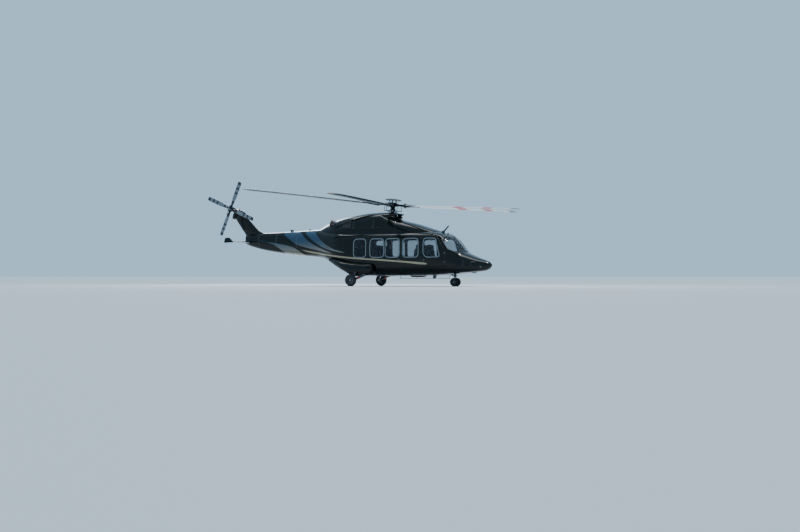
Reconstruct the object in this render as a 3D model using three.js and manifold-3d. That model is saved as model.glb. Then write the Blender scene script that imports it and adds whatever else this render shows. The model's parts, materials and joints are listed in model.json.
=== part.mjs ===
// A medium twin-engine helicopter with five main rotor blades and wheeled gear, parked on its wheels.
// Millimetres, +X forward, +Y to port, +Z up. The origin is the belly hard point under the rotor hub.
import * as THREE from 'three';
import { mergeVertices } from 'three/addons/utils/BufferGeometryUtils.js';
import Module from 'manifold-3d';

const wasm = await Module();
wasm.setup();

// Driving dimensions
const GROUND = -450;
const MAIN_WHEEL = { x: -1350, y: 1520, radius: 270, width: 165 };
const NOSE_WHEEL = { x: 3050, y: 150, radius: 190, width: 120 };
const HUB_HEIGHT = 3200;
const MAST_TILT = 5;
const ROTOR_RADIUS = 6900;
const BLADE_AZIMUTHS = [59, 131, 203, 275, 347];
const TAIL_HUB = { x: -8240, y: -600, z: 3180 };
const TAIL_RADIUS = 1350;
const TAIL_LEAN = 23;
const WALL = 50;
const REBATE = 20;
const GLASS = 8;
const FLOOR = 250;
const SEAT_GAP = 0.3;
const PANEL_GAP = 5;
const DOOR_GAP = 8;
const NOSE_SPLIT = 3620;
const CABIN_REAR = -2200;
const BOOM_SPLIT = -3700;
const RING_POINTS = 24;

// Paint and materials
const surface = (color, roughness, metalness = 0) =>
  new THREE.MeshStandardMaterial({ color, roughness, metalness });
const paint = surface('#16201f', 0.25);
const glass = surface('#27323a', 0.05);
const rubber = surface('#17181a', 0.85);
const steel = surface('#6f7478', 0.35, 0.9);
const darkMetal = surface('#2b2e31', 0.5, 0.7);
const bladePaint = surface('#33383b', 0.45);
const leather = surface('#4a4038', 0.7);
const exhaustMetal = surface('#5b544c', 0.5, 0.9);

const helicopter = new THREE.Group();
const addMesh = (name, geometry, material, parent = helicopter) => {
  const mesh = new THREE.Mesh(geometry, material);
  mesh.name = name;
  parent.add(mesh);
  return mesh;
};

// Solids: joining and cutting closed meshes
const solid = (geometry) => {
  const bare = geometry.clone();
  bare.deleteAttribute('normal');
  bare.deleteAttribute('uv');
  const merged = mergeVertices(bare, 0.001);
  return new wasm.Manifold(new wasm.Mesh({
    numProp: 3,
    vertProperties: new Float32Array(merged.attributes.position.array),
    triVerts: new Uint32Array(merged.index.array),
  }));
};
const meshOf = (manifold) => {
  const mesh = manifold.getMesh();
  const geometry = new THREE.BufferGeometry();
  geometry.setAttribute('position', new THREE.BufferAttribute(mesh.vertProperties, 3));
  geometry.setIndex(new THREE.BufferAttribute(mesh.triVerts, 1));
  geometry.computeVertexNormals();
  return geometry;
};
const join = (...parts) => parts.reduce((sum, part) => sum.add(part));

// Basic closed shapes
const box = (x0, x1, y0, y1, z0, z1) => {
  const geometry = new THREE.BoxGeometry(x1 - x0, y1 - y0, z1 - z0);
  geometry.translate((x0 + x1) / 2, (y0 + y1) / 2, (z0 + z1) / 2);
  return solid(geometry);
};
const rod = (from, to, radius, endRadius = radius, sides = 10) => {
  const start = new THREE.Vector3(...from);
  const end = new THREE.Vector3(...to);
  const geometry = new THREE.CylinderGeometry(endRadius, radius, start.distanceTo(end), sides);
  const up = new THREE.Vector3(0, 1, 0);
  geometry.applyQuaternion(new THREE.Quaternion().setFromUnitVectors(up, end.clone().sub(start).normalize()));
  geometry.translate((start.x + end.x) / 2, (start.y + end.y) / 2, (start.z + end.z) / 2);
  return solid(geometry);
};
// A closed body through rings of equal point counts, with a flat cap at each end.
const loft = (rings) => {
  const count = rings[0].length;
  const points = rings.flat();
  const faces = [];
  for (let r = 0; r + 1 < rings.length; r++) {
    for (let i = 0; i < count; i++) {
      const a = r * count + i;
      const b = r * count + (i + 1) % count;
      faces.push(a, b, b + count, a, b + count, a + count);
    }
  }
  for (const r of [0, rings.length - 1]) {
    const centre = points.length;
    points.push([0, 1, 2].map((k) => rings[r].reduce((sum, p) => sum + p[k], 0) / count));
    for (let i = 0; i < count; i++) {
      const a = r * count + i;
      const b = r * count + (i + 1) % count;
      faces.push(...(r === 0 ? [b, a, centre] : [a, b, centre]));
    }
  }
  const geometry = new THREE.BufferGeometry();
  geometry.setAttribute('position', new THREE.Float32BufferAttribute(points.flat(), 3));
  geometry.setIndex(faces);
  const volume = faces.reduce((sum, _, i) => {
    if (i % 3) return sum;
    const [a, b, c] = [0, 1, 2].map((k) => new THREE.Vector3(...points[faces[i + k]]));
    return sum + a.dot(b.cross(c));
  }, 0);
  if (volume < 0) {
    geometry.setIndex(faces.map((_, i) => faces[i - (i % 3) + [0, 2, 1][i % 3]]));
  }
  return solid(geometry);
};

// Outlines in side view (x, z), drawn anticlockwise, with rounded corners
const offsetOutline = (points, distance) => points.map((p, i) => {
  const before = points[(i + points.length - 1) % points.length];
  const after = points[(i + 1) % points.length];
  const edge = (a, b) => {
    const length = Math.hypot(b[0] - a[0], b[1] - a[1]);
    return [(b[1] - a[1]) / length, (a[0] - b[0]) / length];
  };
  const [n1, n2] = [edge(before, p), edge(p, after)];
  const scale = distance / (1 + n1[0] * n2[0] + n1[1] * n2[1]);
  return [p[0] + (n1[0] + n2[0]) * scale, p[1] + (n1[1] + n2[1]) * scale];
});
const roundedShape = (points, radius) => {
  const shape = new THREE.Shape();
  points.forEach((p, i) => {
    const before = points[(i + points.length - 1) % points.length];
    const after = points[(i + 1) % points.length];
    const toward = (q) => {
      const length = Math.hypot(q[0] - p[0], q[1] - p[1]);
      const t = Math.min(radius, 0.45 * length) / length;
      return [p[0] + (q[0] - p[0]) * t, p[1] + (q[1] - p[1]) * t];
    };
    const [start, end] = [toward(before), toward(after)];
    if (i === 0) shape.moveTo(...start);
    else shape.lineTo(...start);
    shape.quadraticCurveTo(p[0], p[1], end[0], end[1]);
  });
  shape.closePath();
  return shape;
};
// A side-view outline carried across from y0 to y1.
const across = (points, radius, y0, y1, curveSegments = 4) => {
  const shape = radius > 0 ? roundedShape(points, radius) : new THREE.Shape(points.map((p) => new THREE.Vector2(...p)));
  const geometry = new THREE.ExtrudeGeometry(shape, { depth: y1 - y0, bevelEnabled: false, curveSegments });
  geometry.rotateX(Math.PI / 2);
  geometry.translate(0, y1, 0);
  return solid(geometry);
};
// A plan outline (x, y) carried up from z0 to z1.
const upward = (points, z0, z1) => {
  const shape = new THREE.Shape(points.map((p) => new THREE.Vector2(...p)));
  const geometry = new THREE.ExtrudeGeometry(shape, { depth: z1 - z0, bevelEnabled: false });
  geometry.translate(0, 0, z0);
  return solid(geometry);
};
// The range of y from the middle outwards on one side: port is +1, starboard is -1.
const outward = (side, near, far) => (side > 0 ? [near, far] : [-far, -near]);
const SIDES = [['left', 1], ['right', -1]];

// Sections: smooth values between the rows of a table, with no overshoot
const rowsOf = (columns, rows) => rows.map((row) => Object.fromEntries(columns.map((name, i) => [name, row[i]])));
const rowAt = (table, x) => {
  const last = table.length - 1;
  const i = Math.max(0, Math.min(last - 1, table.findIndex((row, k) => k === last || table[k + 1].x <= x)));
  const t = (x - table[i].x) / (table[i + 1].x - table[i].x);
  const span = table[i + 1].x - table[i].x;
  const row = {};
  for (const name of Object.keys(table[0])) {
    const slope = (k) => (table[k + 1][name] - table[k][name]) / (table[k + 1].x - table[k].x);
    const tangent = (k) => {
      if (k === 0) return slope(0);
      if (k === last) return slope(last - 1);
      const [a, b] = [slope(k - 1), slope(k)];
      return a * b <= 0 ? 0 : 2 * a * b / (a + b);
    };
    const [v0, v1] = [table[i][name], table[i + 1][name]];
    const [m0, m1] = [tangent(i) * span, tangent(i + 1) * span];
    row[name] = v0 * (1 + 2 * t) * (1 - t) ** 2 + v1 * t * t * (3 - 2 * t)
      + m0 * t * (1 - t) ** 2 - m1 * t * t * (1 - t);
  }
  return row;
};
const power = (value, exponent) => Math.sign(value) * Math.abs(value) ** exponent;
// One ring of the hull: flat sides and rounded corners, squarer as the two square values grow.
const hullRing = (row, inset) => Array.from({ length: RING_POINTS }, (_, i) => {
  const angle = 2 * Math.PI * i / RING_POINTS;
  const upper = Math.sin(angle) >= 0;
  const square = upper ? row.squareUp : row.squareLow;
  const reach = upper ? row.top - inset - row.waist : row.waist - row.low - inset;
  return [
    row.x,
    (row.half - inset) * power(Math.cos(angle), 2 / square),
    row.waist + reach * power(Math.sin(angle), 2 / square),
  ];
});
// Stations along a table, closer than the step where the shape changes.
const stationsOf = (table, step, x0 = table[0].x, x1 = table[table.length - 1].x) => {
  const inside = table.map((row) => row.x).filter((x) => x < x0 && x > x1);
  const marks = [x0, ...inside, x1];
  return marks.flatMap((x, i) => {
    if (i + 1 === marks.length) return [x];
    const [here, next] = [rowAt(table, x), rowAt(table, marks[i + 1])];
    const straight = Math.abs(here.low - next.low) + Math.abs(here.top - next.top) < 1;
    const parts = straight ? 1 : Math.max(1, Math.round((x - marks[i + 1]) / step));
    return Array.from({ length: parts }, (_, k) => x + (marks[i + 1] - x) * k / parts);
  });
};

// The hull from the nose to the end of the tail boom
const HULL = rowsOf(['x', 'low', 'top', 'half', 'waist', 'squareUp', 'squareLow'], [
  [4760, 420, 540, 60, 480, 2.0, 2.0],
  [4700, 335, 605, 175, 470, 2.1, 2.1],
  [4520, 240, 690, 340, 455, 2.3, 2.3],
  [4190, 185, 805, 550, 450, 2.5, 2.5],
  [3880, 155, 930, 705, 470, 2.6, 2.7],
  [3570, 130, 1075, 840, 520, 2.6, 2.8],
  [3260, 105, 1440, 975, 640, 2.6, 3.0],
  [2930, 80, 1750, 1060, 760, 3.1, 3.1],
  [2600, 55, 1895, 1105, 850, 3.8, 3.2],
  [2200, 30, 1955, 1125, 900, 4.2, 3.2],
  [1200, 12, 1980, 1130, 900, 4.4, 3.2],
  [-1000, 12, 1980, 1130, 900, 4.4, 3.2],
  [-1500, 70, 1985, 1125, 920, 4.2, 3.0],
  [-2200, 320, 2010, 1070, 1080, 3.8, 2.8],
  [-3000, 640, 2080, 820, 1300, 3.0, 2.5],
  [-3700, 860, 2130, 560, 1450, 2.5, 2.3],
  [-4900, 970, 2085, 430, 1500, 2.3, 2.2],
  [-6400, 1165, 2030, 310, 1600, 2.3, 2.2],
  [-7400, 1390, 2000, 215, 1700, 2.2, 2.2],
  [-7700, 1500, 1960, 140, 1730, 2.0, 2.0],
]);
const hullLoft = (inset, x0, x1, step = 700) =>
  loft(stationsOf(HULL, step, x0, x1).map((x) => hullRing(rowAt(HULL, x), inset)));
const hullEnds = [HULL[0].x, HULL[HULL.length - 1].x];
const hullOuter = hullLoft(0, ...hullEnds);
const hullGrown = hullLoft(-SEAT_GAP, ...hullEnds);
const skinWidth = (x, z) => {
  const row = rowAt(HULL, x);
  const upper = z >= row.waist;
  const square = upper ? row.squareUp : row.squareLow;
  const reach = upper ? row.top - row.waist : row.waist - row.low;
  return row.half * (1 - Math.min(1, Math.abs(z - row.waist) / reach) ** square) ** (1 / square);
};
const FAR = 3000;
const slab = (x0, x1) => box(x1, x0, -FAR, FAR, -FAR, FAR);

// Openings in the cabin sides, as side-view outlines
const rect = (x0, x1, z0, z1) => [[x0, z0], [x1, z0], [x1, z1], [x0, z1]];
const WINDOW_RADIUS = 170;
const WINDOWS = {
  rear_window: rect(-1400, -820, 850, 1640),
  door_window_rear: rect(-580, 70, 850, 1640),
  door_window_front: rect(180, 840, 850, 1640),
  front_window: rect(1030, 1750, 850, 1640),
};
const CABIN_DOOR = rect(-700, 950, 280, 1815);
const CABIN_DOOR_RADIUS = 140;
const DOOR_FRONT = 2975;
const COCKPIT_DOOR = [
  [1885, 310], [2780, 310], [DOOR_FRONT, 480], [DOOR_FRONT, 1160], [2550, 1800], [1885, 1800],
];
const COCKPIT_DOOR_RADIUS = 110;
const COCKPIT_WINDOW = [[2015, 990], [2140, 845], [2755, 860], [2540, 1645], [2020, 1645]];
const COCKPIT_WINDOW_RADIUS = 120;
// The windshield is bounded in side view by its sill and the door pillar, and in plan by its upper edge and middle post.
const WINDSHIELD_SIDE = [[2650, 1835], [3085, 1195], [3500, 990], [3620, 1060], [3620, 1950], [2650, 1950]];
const WINDSHIELD_POST = 28;
const windshieldPlan = (side, inset) => upward([
  [2925 + inset, side * (WINDSHIELD_POST + inset)],
  [3575 - inset, side * (WINDSHIELD_POST + inset)],
  [3520 - inset, side * 860],
  [3070 - inset, side * 1100],
  [2640 + inset, side * 1100],
  [2640 + inset, side * 900],
  [2790 + inset, side * 500],
], 0, FAR);

const layer = (outerInset, innerInset) =>
  hullLoft(outerInset, 3900, CABIN_REAR).subtract(hullLoft(innerInset, 3901, CABIN_REAR - 1));
const wallLayer = layer(0, WALL);
const outerLayer = layer(0, REBATE);
const innerLayer = layer(REBATE, WALL);
const glassLayer = layer(4, 4 + GLASS);
const LIP = 30;

// Cabin shell: floor, side walls, roof and bulkheads as one hollow body, with its doors and windows cut
const BELLY_PAD = 150;
const cabinAir = hullLoft(WALL, 3450, CABIN_REAR + WALL)
  .subtract(box(CABIN_REAR, NOSE_SPLIT, -FAR, FAR, -FAR, FLOOR));
let shell = hullOuter.intersect(slab(NOSE_SPLIT - SEAT_GAP, CABIN_REAR)).subtract(cabinAir);
const NOSE_BAY = { x0: 2640, x1: 3330, y: 215, z: 205 };
shell = shell.subtract(box(NOSE_BAY.x0, NOSE_BAY.x1, -NOSE_BAY.y, NOSE_BAY.y, -FAR, NOSE_BAY.z));
for (const [, side] of SIDES) {
  const sideCut = (outline, radius, near = 300) => across(outline, radius, ...outward(side, near, FAR));
  shell = shell.subtract(sideCut(WINDOWS.rear_window, WINDOW_RADIUS));
  shell = shell.subtract(sideCut(WINDOWS.front_window, WINDOW_RADIUS));
  shell = shell.subtract(sideCut(COCKPIT_DOOR, COCKPIT_DOOR_RADIUS, 600));
  shell = shell.subtract(sideCut(offsetOutline(CABIN_DOOR, -LIP), CABIN_DOOR_RADIUS - LIP, 600));
  const rebate = hullLoft(-5, 3900, CABIN_REAR).subtract(hullLoft(REBATE + SEAT_GAP, 3901, CABIN_REAR - 1));
  shell = shell.subtract(rebate.intersect(sideCut(CABIN_DOOR, CABIN_DOOR_RADIUS, 600)));
  const view = across(WINDSHIELD_SIDE, 0, ...outward(side, 0, FAR));
  shell = shell.subtract(view.intersect(windshieldPlan(side, 0)));
}
shell = shell.add(box(-BELLY_PAD, BELLY_PAD, -BELLY_PAD, BELLY_PAD, 0, 40));
// Under the belly: a blade aerial and a shallow fairing over a pair of flat aerials. On the brow: a small domed aerial.
shell = shell.add(across([[1960, 60], [1990, -115], [2090, -115], [2190, 60]], 0, -9, 9));
shell = shell.add(loft([[900, 10], [1000, 48], [1500, 48], [1640, 8]].map(([x, drop]) =>
  [[-190, 60], [-150, -drop], [150, -drop], [190, 60]].map(([y, z]) => [x, y, z]))));
shell = shell.add(rod([2700, 0, 1800], [2700, 0, 1915], 50, 34, 12));

// Door hinges: pins on the shell just ahead of each cockpit door
const HINGE = { x: 3005, y: 1085, pin: 8, ring: 17, heights: [630, 1010], tall: 50, lug: 14 };
for (const [, side] of SIDES) {
  for (const z of HINGE.heights) {
    const y = side * HINGE.y;
    const ends = [z - HINGE.tall / 2 - HINGE.lug - 1, z + HINGE.tall / 2 + HINGE.lug + 1];
    shell = shell.add(rod([HINGE.x, y, ends[0]], [HINGE.x, y, ends[1]], HINGE.pin));
    for (const [z0, z1] of [[ends[0], ends[0] + HINGE.lug], [ends[1] - HINGE.lug, ends[1]]]) {
      const [y0, y1] = outward(side, skinWidth(HINGE.x + 20, z) - 30, HINGE.y + HINGE.ring);
      shell = shell.add(box(HINGE.x - 10, HINGE.x + 45, y0, y1, z0, z1));
    }
  }
}
addMesh('cabin_shell', meshOf(shell), paint);

// Cabin side glass, sliding doors and cockpit doors
const GLASS_GAP = 0.5;
for (const [name, side] of SIDES) {
  const sideCut = (outline, radius) => across(outline, radius, ...outward(side, 300, FAR));
  const pane = (outline, radius) => glassLayer.intersect(sideCut(offsetOutline(outline, -GLASS_GAP), radius));
  for (const [window, outline] of Object.entries(WINDOWS)) {
    addMesh(`${window}_${name}`, meshOf(pane(outline, WINDOW_RADIUS)), glass);
  }
  const doorOuter = outerLayer.intersect(sideCut(offsetOutline(CABIN_DOOR, -PANEL_GAP), CABIN_DOOR_RADIUS));
  const doorInner = innerLayer.intersect(
    sideCut(offsetOutline(CABIN_DOOR, -LIP - PANEL_GAP), CABIN_DOOR_RADIUS - LIP));
  let door = wallLayer.intersect(
    sideCut(offsetOutline(CABIN_DOOR, -LIP - PANEL_GAP), CABIN_DOOR_RADIUS - LIP)).add(doorOuter).add(doorInner);
  door = door.subtract(sideCut(WINDOWS.door_window_rear, WINDOW_RADIUS));
  door = door.subtract(sideCut(WINDOWS.door_window_front, WINDOW_RADIUS));
  addMesh(`cabin_door_${name}`, meshOf(door), paint);

  let cockpitDoor = wallLayer.intersect(
    across(offsetOutline(COCKPIT_DOOR, -DOOR_GAP), COCKPIT_DOOR_RADIUS, ...outward(side, 600, FAR)));
  cockpitDoor = cockpitDoor.subtract(sideCut(COCKPIT_WINDOW, COCKPIT_WINDOW_RADIUS));
  for (const z of HINGE.heights) {
    const y = side * HINGE.y;
    const [z0, z1] = [z - HINGE.tall / 2, z + HINGE.tall / 2];
    const edge = HINGE.x - HINGE.ring - 40;
    const arm = box(edge, HINGE.x, ...outward(side, skinWidth(edge, z) - 25, HINGE.y + HINGE.ring), z0, z1)
      .intersect(box(edge, HINGE.x, ...outward(side, HINGE.y - HINGE.ring, HINGE.y + HINGE.ring), z0, z1)
        .add(box(edge, DOOR_FRONT - DOOR_GAP, ...outward(side, 0, FAR), z0, z1)));
    const ring = rod([HINGE.x, y, z0], [HINGE.x, y, z1], HINGE.ring);
    const bore = rod([HINGE.x, y, z0 - 9], [HINGE.x, y, z1 + 9], HINGE.pin + 0.6);
    cockpitDoor = cockpitDoor.add(arm).add(ring).subtract(bore);
  }
  addMesh(`cockpit_door_${name}`, meshOf(cockpitDoor), paint);
  addMesh(`cockpit_door_window_${name}`, meshOf(pane(COCKPIT_WINDOW, COCKPIT_WINDOW_RADIUS)), glass);
  const view = across(offsetOutline(WINDSHIELD_SIDE, -GLASS_GAP), 0, ...outward(side, 0, FAR));
  addMesh(`windshield_${name}`, meshOf(glassLayer.intersect(view).intersect(windshieldPlan(side, GLASS_GAP))), glass);
}

// Nose, rear fuselage and tail boom
const NOSE_PAD = { x0: 3840, x1: 4020, y: 90, z: 140 };
const NOSE_LAMP = { x: 4405, z: 410, radius: 34 };
const PROBE = { x: 4080, z: 620, out: 70, ahead: 190, radius: 11 };
let nose = hullOuter.intersect(slab(HULL[0].x + 1, NOSE_SPLIT))
  .add(box(NOSE_PAD.x0, NOSE_PAD.x1, -NOSE_PAD.y, NOSE_PAD.y, NOSE_PAD.z, NOSE_PAD.z + 80));
for (const [, side] of SIDES) {
  const lampY = skinWidth(NOSE_LAMP.x, NOSE_LAMP.z);
  const probeY = skinWidth(PROBE.x, PROBE.z);
  const elbow = [PROBE.x + 40, side * (probeY + PROBE.out), PROBE.z];
  nose = nose
    .add(rod([NOSE_LAMP.x - 40, side * (lampY - 60), NOSE_LAMP.z], [NOSE_LAMP.x + 12, side * (lampY + 8), NOSE_LAMP.z],
      NOSE_LAMP.radius, NOSE_LAMP.radius, 12))
    .add(rod([PROBE.x, side * (probeY - 40), PROBE.z], elbow, 22, PROBE.radius, 6))
    .add(rod([PROBE.x + 30, elbow[1], PROBE.z], [PROBE.x + PROBE.ahead, elbow[1], PROBE.z], PROBE.radius,
      PROBE.radius, 6));
}
addMesh('nose_section', meshOf(nose), paint);
const SKIN = 30;
const rearAir = hullLoft(SKIN, CABIN_REAR + 1, BOOM_SPLIT - 1);
const rearFuselage = hullOuter.intersect(slab(CABIN_REAR - SEAT_GAP, BOOM_SPLIT)).subtract(rearAir);
addMesh('rear_fuselage', meshOf(rearFuselage), paint);

// Flying surfaces: an aerofoil ring of a chord and a thickness, as pairs along and across the chord
const AEROFOIL = [[0, 0], [0.02, 0.3], [0.1, 0.44], [0.3, 0.5], [0.6, 0.36], [0.85, 0.14], [1, 0.02]];
const aerofoil = (chord, thick) => [
  ...AEROFOIL.map(([along, rise]) => [-along * chord, rise * thick]),
  ...AEROFOIL.slice(1).reverse().map(([along, rise]) => [-along * chord, -rise * thick]),
];

// Stabilizer with an upright plate on each tip
const STABILIZER = rowsOf(['y', 'lead', 'chord', 'z', 'thick'], [
  [-1750, -7440, 420, 1630, 40],
  [-180, -7310, 600, 1590, 80],
  [180, -7310, 600, 1590, 80],
  [1750, -7440, 420, 1630, 40],
]);
const stabilizerLoft = (grow) => loft(STABILIZER.map((row) =>
  aerofoil(row.chord + 2 * grow, row.thick + 2 * grow).map(([along, rise]) =>
    [row.lead + grow + along, row.y, row.z + rise])));
const END_PLATE = [[-7860, 1540], [-7330, 1560], [-7420, 1640], [-7560, 1790], [-7800, 1770]];
let stabilizer = stabilizerLoft(0);
for (const [, side] of SIDES) {
  stabilizer = stabilizer.add(across(END_PLATE, 40, ...outward(side, 1740, 1762)));
}

// Fin: a swept aerofoil with the tail gearbox fairing at its top
const FIN = rowsOf(['z', 'lead', 'chord', 'thick'], [
  [1700, -6400, 1280, 190],
  [1990, -6560, 1230, 190],
  [2060, -6830, 1010, 182],
  [2150, -7030, 880, 176],
  [2350, -7250, 810, 165],
  [2600, -7500, 740, 155],
  [2800, -7720, 640, 150],
  [2950, -7890, 500, 150],
]);
const finLoft = loft(FIN.map((row) =>
  aerofoil(row.chord, row.thick).map(([along, rise]) => [row.lead + along, rise, row.z])));
const FAIRING = rowsOf(['x', 'y', 'z', 'high'], [
  [-7800, 50, 2980, 50],
  [-7920, 115, 2970, 130],
  [-8120, 160, 2950, 200],
  [-8310, 155, 2920, 215],
  [-8450, 90, 2850, 145],
  [-8510, 35, 2800, 60],
]);
const ovalRing = (x, y, z, wide, high, count = 20) => Array.from({ length: count }, (_, i) => {
  const angle = 2 * Math.PI * i / count;
  return [x, y + wide * Math.cos(angle), z + high * Math.sin(angle)];
});
const fairing = loft(FAIRING.map((row) => ovalRing(row.x, 0, row.z, row.y, row.high)));
const tailShaftHousing = rod([TAIL_HUB.x, 0, 3040], [TAIL_HUB.x, -430, TAIL_HUB.z], 125, 90, 20)
  .intersect(box(-9000, -7000, -400, 0, 0, 4000));
const boomAir = hullLoft(SKIN, BOOM_SPLIT + 1, -7300);
const boomOuter = hullOuter.intersect(slab(BOOM_SPLIT - SEAT_GAP, HULL[HULL.length - 1].x - 1));
const BOOM_AERIALS = [-4230, -5210];
const boomAerials = BOOM_AERIALS.map((x) =>
  across([[x - 150, 2060], [x + 130, 2060], [x + 40, 2165], [x - 110, 2165]], 0, -10, 10));
const stabilizerCut = stabilizerLoft(SEAT_GAP);
addMesh('tail_boom', meshOf(join(boomOuter, ...boomAerials).subtract(boomAir).subtract(stabilizerCut)), paint);
const BEACON = { x: -8120, z: 3130, radius: 48, high: 85 };
const beacon = rod([BEACON.x, 0, BEACON.z], [BEACON.x, 0, BEACON.z + BEACON.high], BEACON.radius, BEACON.radius - 16, 12);
const fin = join(finLoft, fairing, tailShaftHousing, beacon).subtract(hullGrown);
addMesh('tail_fin', meshOf(fin), paint);
addMesh('stabilizer', meshOf(stabilizer), paint);

// Upper deck: the roof fairing ahead of the mast and the engine cowling round and behind it
const FAIRING_ROOF = rowsOf(['x', 'low', 'top', 'half', 'waist', 'squareUp', 'squareLow'], [
  [2520, 1700, 1915, 300, 1750, 2.2, 2.0],
  [2300, 1700, 2000, 560, 1750, 2.4, 2.0],
  [1860, 1700, 2140, 740, 1750, 2.6, 2.0],
  [1275, 1700, 2320, 830, 1750, 2.8, 2.0],
  [450, 1700, 2510, 860, 1750, 3.0, 2.0],
]);
const COWLING = rowsOf(['x', 'low', 'top', 'half', 'waist', 'squareUp', 'squareLow'], [
  [460, 1700, 2507, 860, 1750, 3.0, 2.0],
  [0, 1700, 2690, 873, 1750, 3.0, 2.0],
  [-440, 1700, 2860, 880, 1750, 3.1, 2.0],
  [-940, 1700, 2845, 890, 1750, 3.1, 2.0],
  [-1710, 1700, 2750, 870, 1750, 3.0, 2.0],
  [-2480, 1700, 2610, 780, 1750, 2.7, 2.0],
  [-3200, 1700, 2370, 560, 1750, 2.4, 2.0],
  [-3720, 1700, 2150, 300, 1750, 2.2, 2.0],
]);
// The intake stands above the cowling's front as a flat duct. Its mouth is swept back on each side, with an upper and
// a lower lip: the outline is what the mouth leaves free in side view, in the plane of symmetry.
const INTAKE = rowsOf(['x', 'low', 'top', 'half', 'waist', 'squareUp', 'squareLow'], [
  [600, 2585, 2752, 470, 2660, 2.8, 2.8],
  [400, 2585, 2803, 520, 2665, 2.8, 2.8],
  [0, 2560, 2855, 600, 2640, 2.7, 2.6],
  [-440, 2500, 2868, 610, 2580, 2.6, 2.4],
  [-900, 2400, 2800, 520, 2500, 2.4, 2.2],
]);
const MOUTH = [
  [377, 2300], [900, 2300], [900, 2900], [577, 2900], [577, 2748], [413, 2708], [533, 2632], [533, 2610], [377, 2575],
];
const MOUTH_SWEEP = 0.5;
const swept = (manifold, side) => {
  const geometry = meshOf(manifold);
  geometry.applyMatrix4(new THREE.Matrix4().makeShear(0, 0, -MOUTH_SWEEP * side, 0, 0, 0));
  return solid(geometry);
};
const COWL_SKIN = 35;
const deckLoft = (table, inset, x0, x1) =>
  loft(stationsOf(table, 700, x0, x1).map((x) => hullRing(rowAt(table, x), inset)));
const fairingOuter = deckLoft(FAIRING_ROOF, 0, 2520, 450);
const fairingAir = deckLoft(FAIRING_ROOF, COWL_SKIN, 2300, 449).subtract(hullLoft(-1, ...hullEnds));
const roofCap = (z) => box(-4000, 2600, -FAR, FAR, 0, z);
const roofFairing = fairingOuter.subtract(fairingAir).subtract(hullGrown).subtract(roofCap(1840));
const mouthFree = join(...SIDES.map(([, side]) => swept(across(MOUTH, 0, ...outward(side, 0, 900)), side)));
const intakeOuter = deckLoft(INTAKE, 0, 600, -900).subtract(mouthFree);
const cowlingOuter = deckLoft(COWLING, 0, 460, -3720).add(intakeOuter);
const cowlingAir = deckLoft(COWLING, COWL_SKIN, 461, -3600).add(deckLoft(INTAKE, COWL_SKIN, 601, -900));
// Exhaust ducts leave the cowling upwards and outwards at its rear.
const exhaustPath = (side) => [
  [-2270, side * 370, 2260], [-2500, side * 400, 2285], [-2710, side * 465, 2350], [-2900, side * 545, 2440],
];
const ductSolid = (side, radius, stretch = 0) => {
  const path = exhaustPath(side);
  const rings = path.map((p, i) => {
    const before = path[Math.max(0, i - 1)];
    const after = path[Math.min(path.length - 1, i + 1)];
    const along = new THREE.Vector3(...after).sub(new THREE.Vector3(...before)).normalize();
    const centre = new THREE.Vector3(...p);
    if (i === 0) centre.addScaledVector(along, -stretch);
    if (i === path.length - 1) centre.addScaledVector(along, stretch);
    const level = new THREE.Vector3(0, 1, 0).cross(along).normalize();
    const acrossDuct = along.clone().cross(level);
    return Array.from({ length: 20 }, (_, k) => {
      const angle = 2 * Math.PI * k / 20;
      const q = centre.clone()
        .addScaledVector(level, radius * 0.85 * Math.cos(angle))
        .addScaledVector(acrossDuct, radius * Math.sin(angle));
      return q.toArray();
    });
  });
  return loft(rings);
};
const DUCT = 150;
const MAST_HOLE = 300;
const mastLow = [-Math.sin(MAST_TILT * Math.PI / 180) * 900, 0, HUB_HEIGHT - 900];
let cowling = cowlingOuter.subtract(cowlingAir).subtract(hullGrown).subtract(roofCap(1840));
cowling = cowling.subtract(rod(mastLow, [0, 0, HUB_HEIGHT], MAST_HOLE, MAST_HOLE, 28));
for (const [, side] of SIDES) {
  cowling = cowling.subtract(ductSolid(side, DUCT + 10, 300));
}
cowling = cowling.subtract(deckLoft(FAIRING_ROOF, -SEAT_GAP, 2520, 449));
addMesh('roof_fairing', meshOf(roofFairing), paint);
addMesh('engine_cowling', meshOf(cowling), paint);

const ENGINE = { x0: -2250, x1: -850, y: 370, z: 2260, radius: 235 };
for (const [name, side] of SIDES) {
  const y = side * ENGINE.y;
  const engine = rod([ENGINE.x0, y, ENGINE.z], [ENGINE.x1, y, ENGINE.z], ENGINE.radius, ENGINE.radius, 20)
    .add(box(-2000, -1300, y - 130, y + 130, 1950, ENGINE.z)).subtract(hullGrown);
  addMesh(`engine_${name}`, meshOf(engine), darkMetal);
  const duct = ductSolid(side, DUCT).subtract(ductSolid(side, DUCT - 12, 1)
    .subtract(box(ENGINE.x0 - 80, 0, -FAR, FAR, 0, FAR)))
    .subtract(box(ENGINE.x0 - SEAT_GAP, 0, -FAR, FAR, 0, FAR));
  addMesh(`exhaust_duct_${name}`, meshOf(duct), exhaustMetal);
}

// Main gearbox block with the tilted mast housing on it
const mast = new THREE.Group();
mast.position.set(0, 0, HUB_HEIGHT);
mast.rotation.y = THREE.MathUtils.degToRad(MAST_TILT);
helicopter.add(mast);
const atMast = (x, y, z) => new THREE.Vector3(x, y, z).applyEuler(mast.rotation).add(mast.position).toArray();
const MAST = { housingTop: -430, housing: 130, housingLow: 210, shaft: 78 };
const gearbox = box(-480, 250, -330, 330, 1950, 2480)
  .add(rod(atMast(0, 0, -820), atMast(0, 0, MAST.housingTop), MAST.housingLow, MAST.housing, 24))
  .subtract(hullGrown)
  .subtract(deckLoft(FAIRING_ROOF, -SEAT_GAP, 2520, 449).subtract(fairingAir));
addMesh('main_gearbox', meshOf(gearbox), darkMetal);

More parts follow.
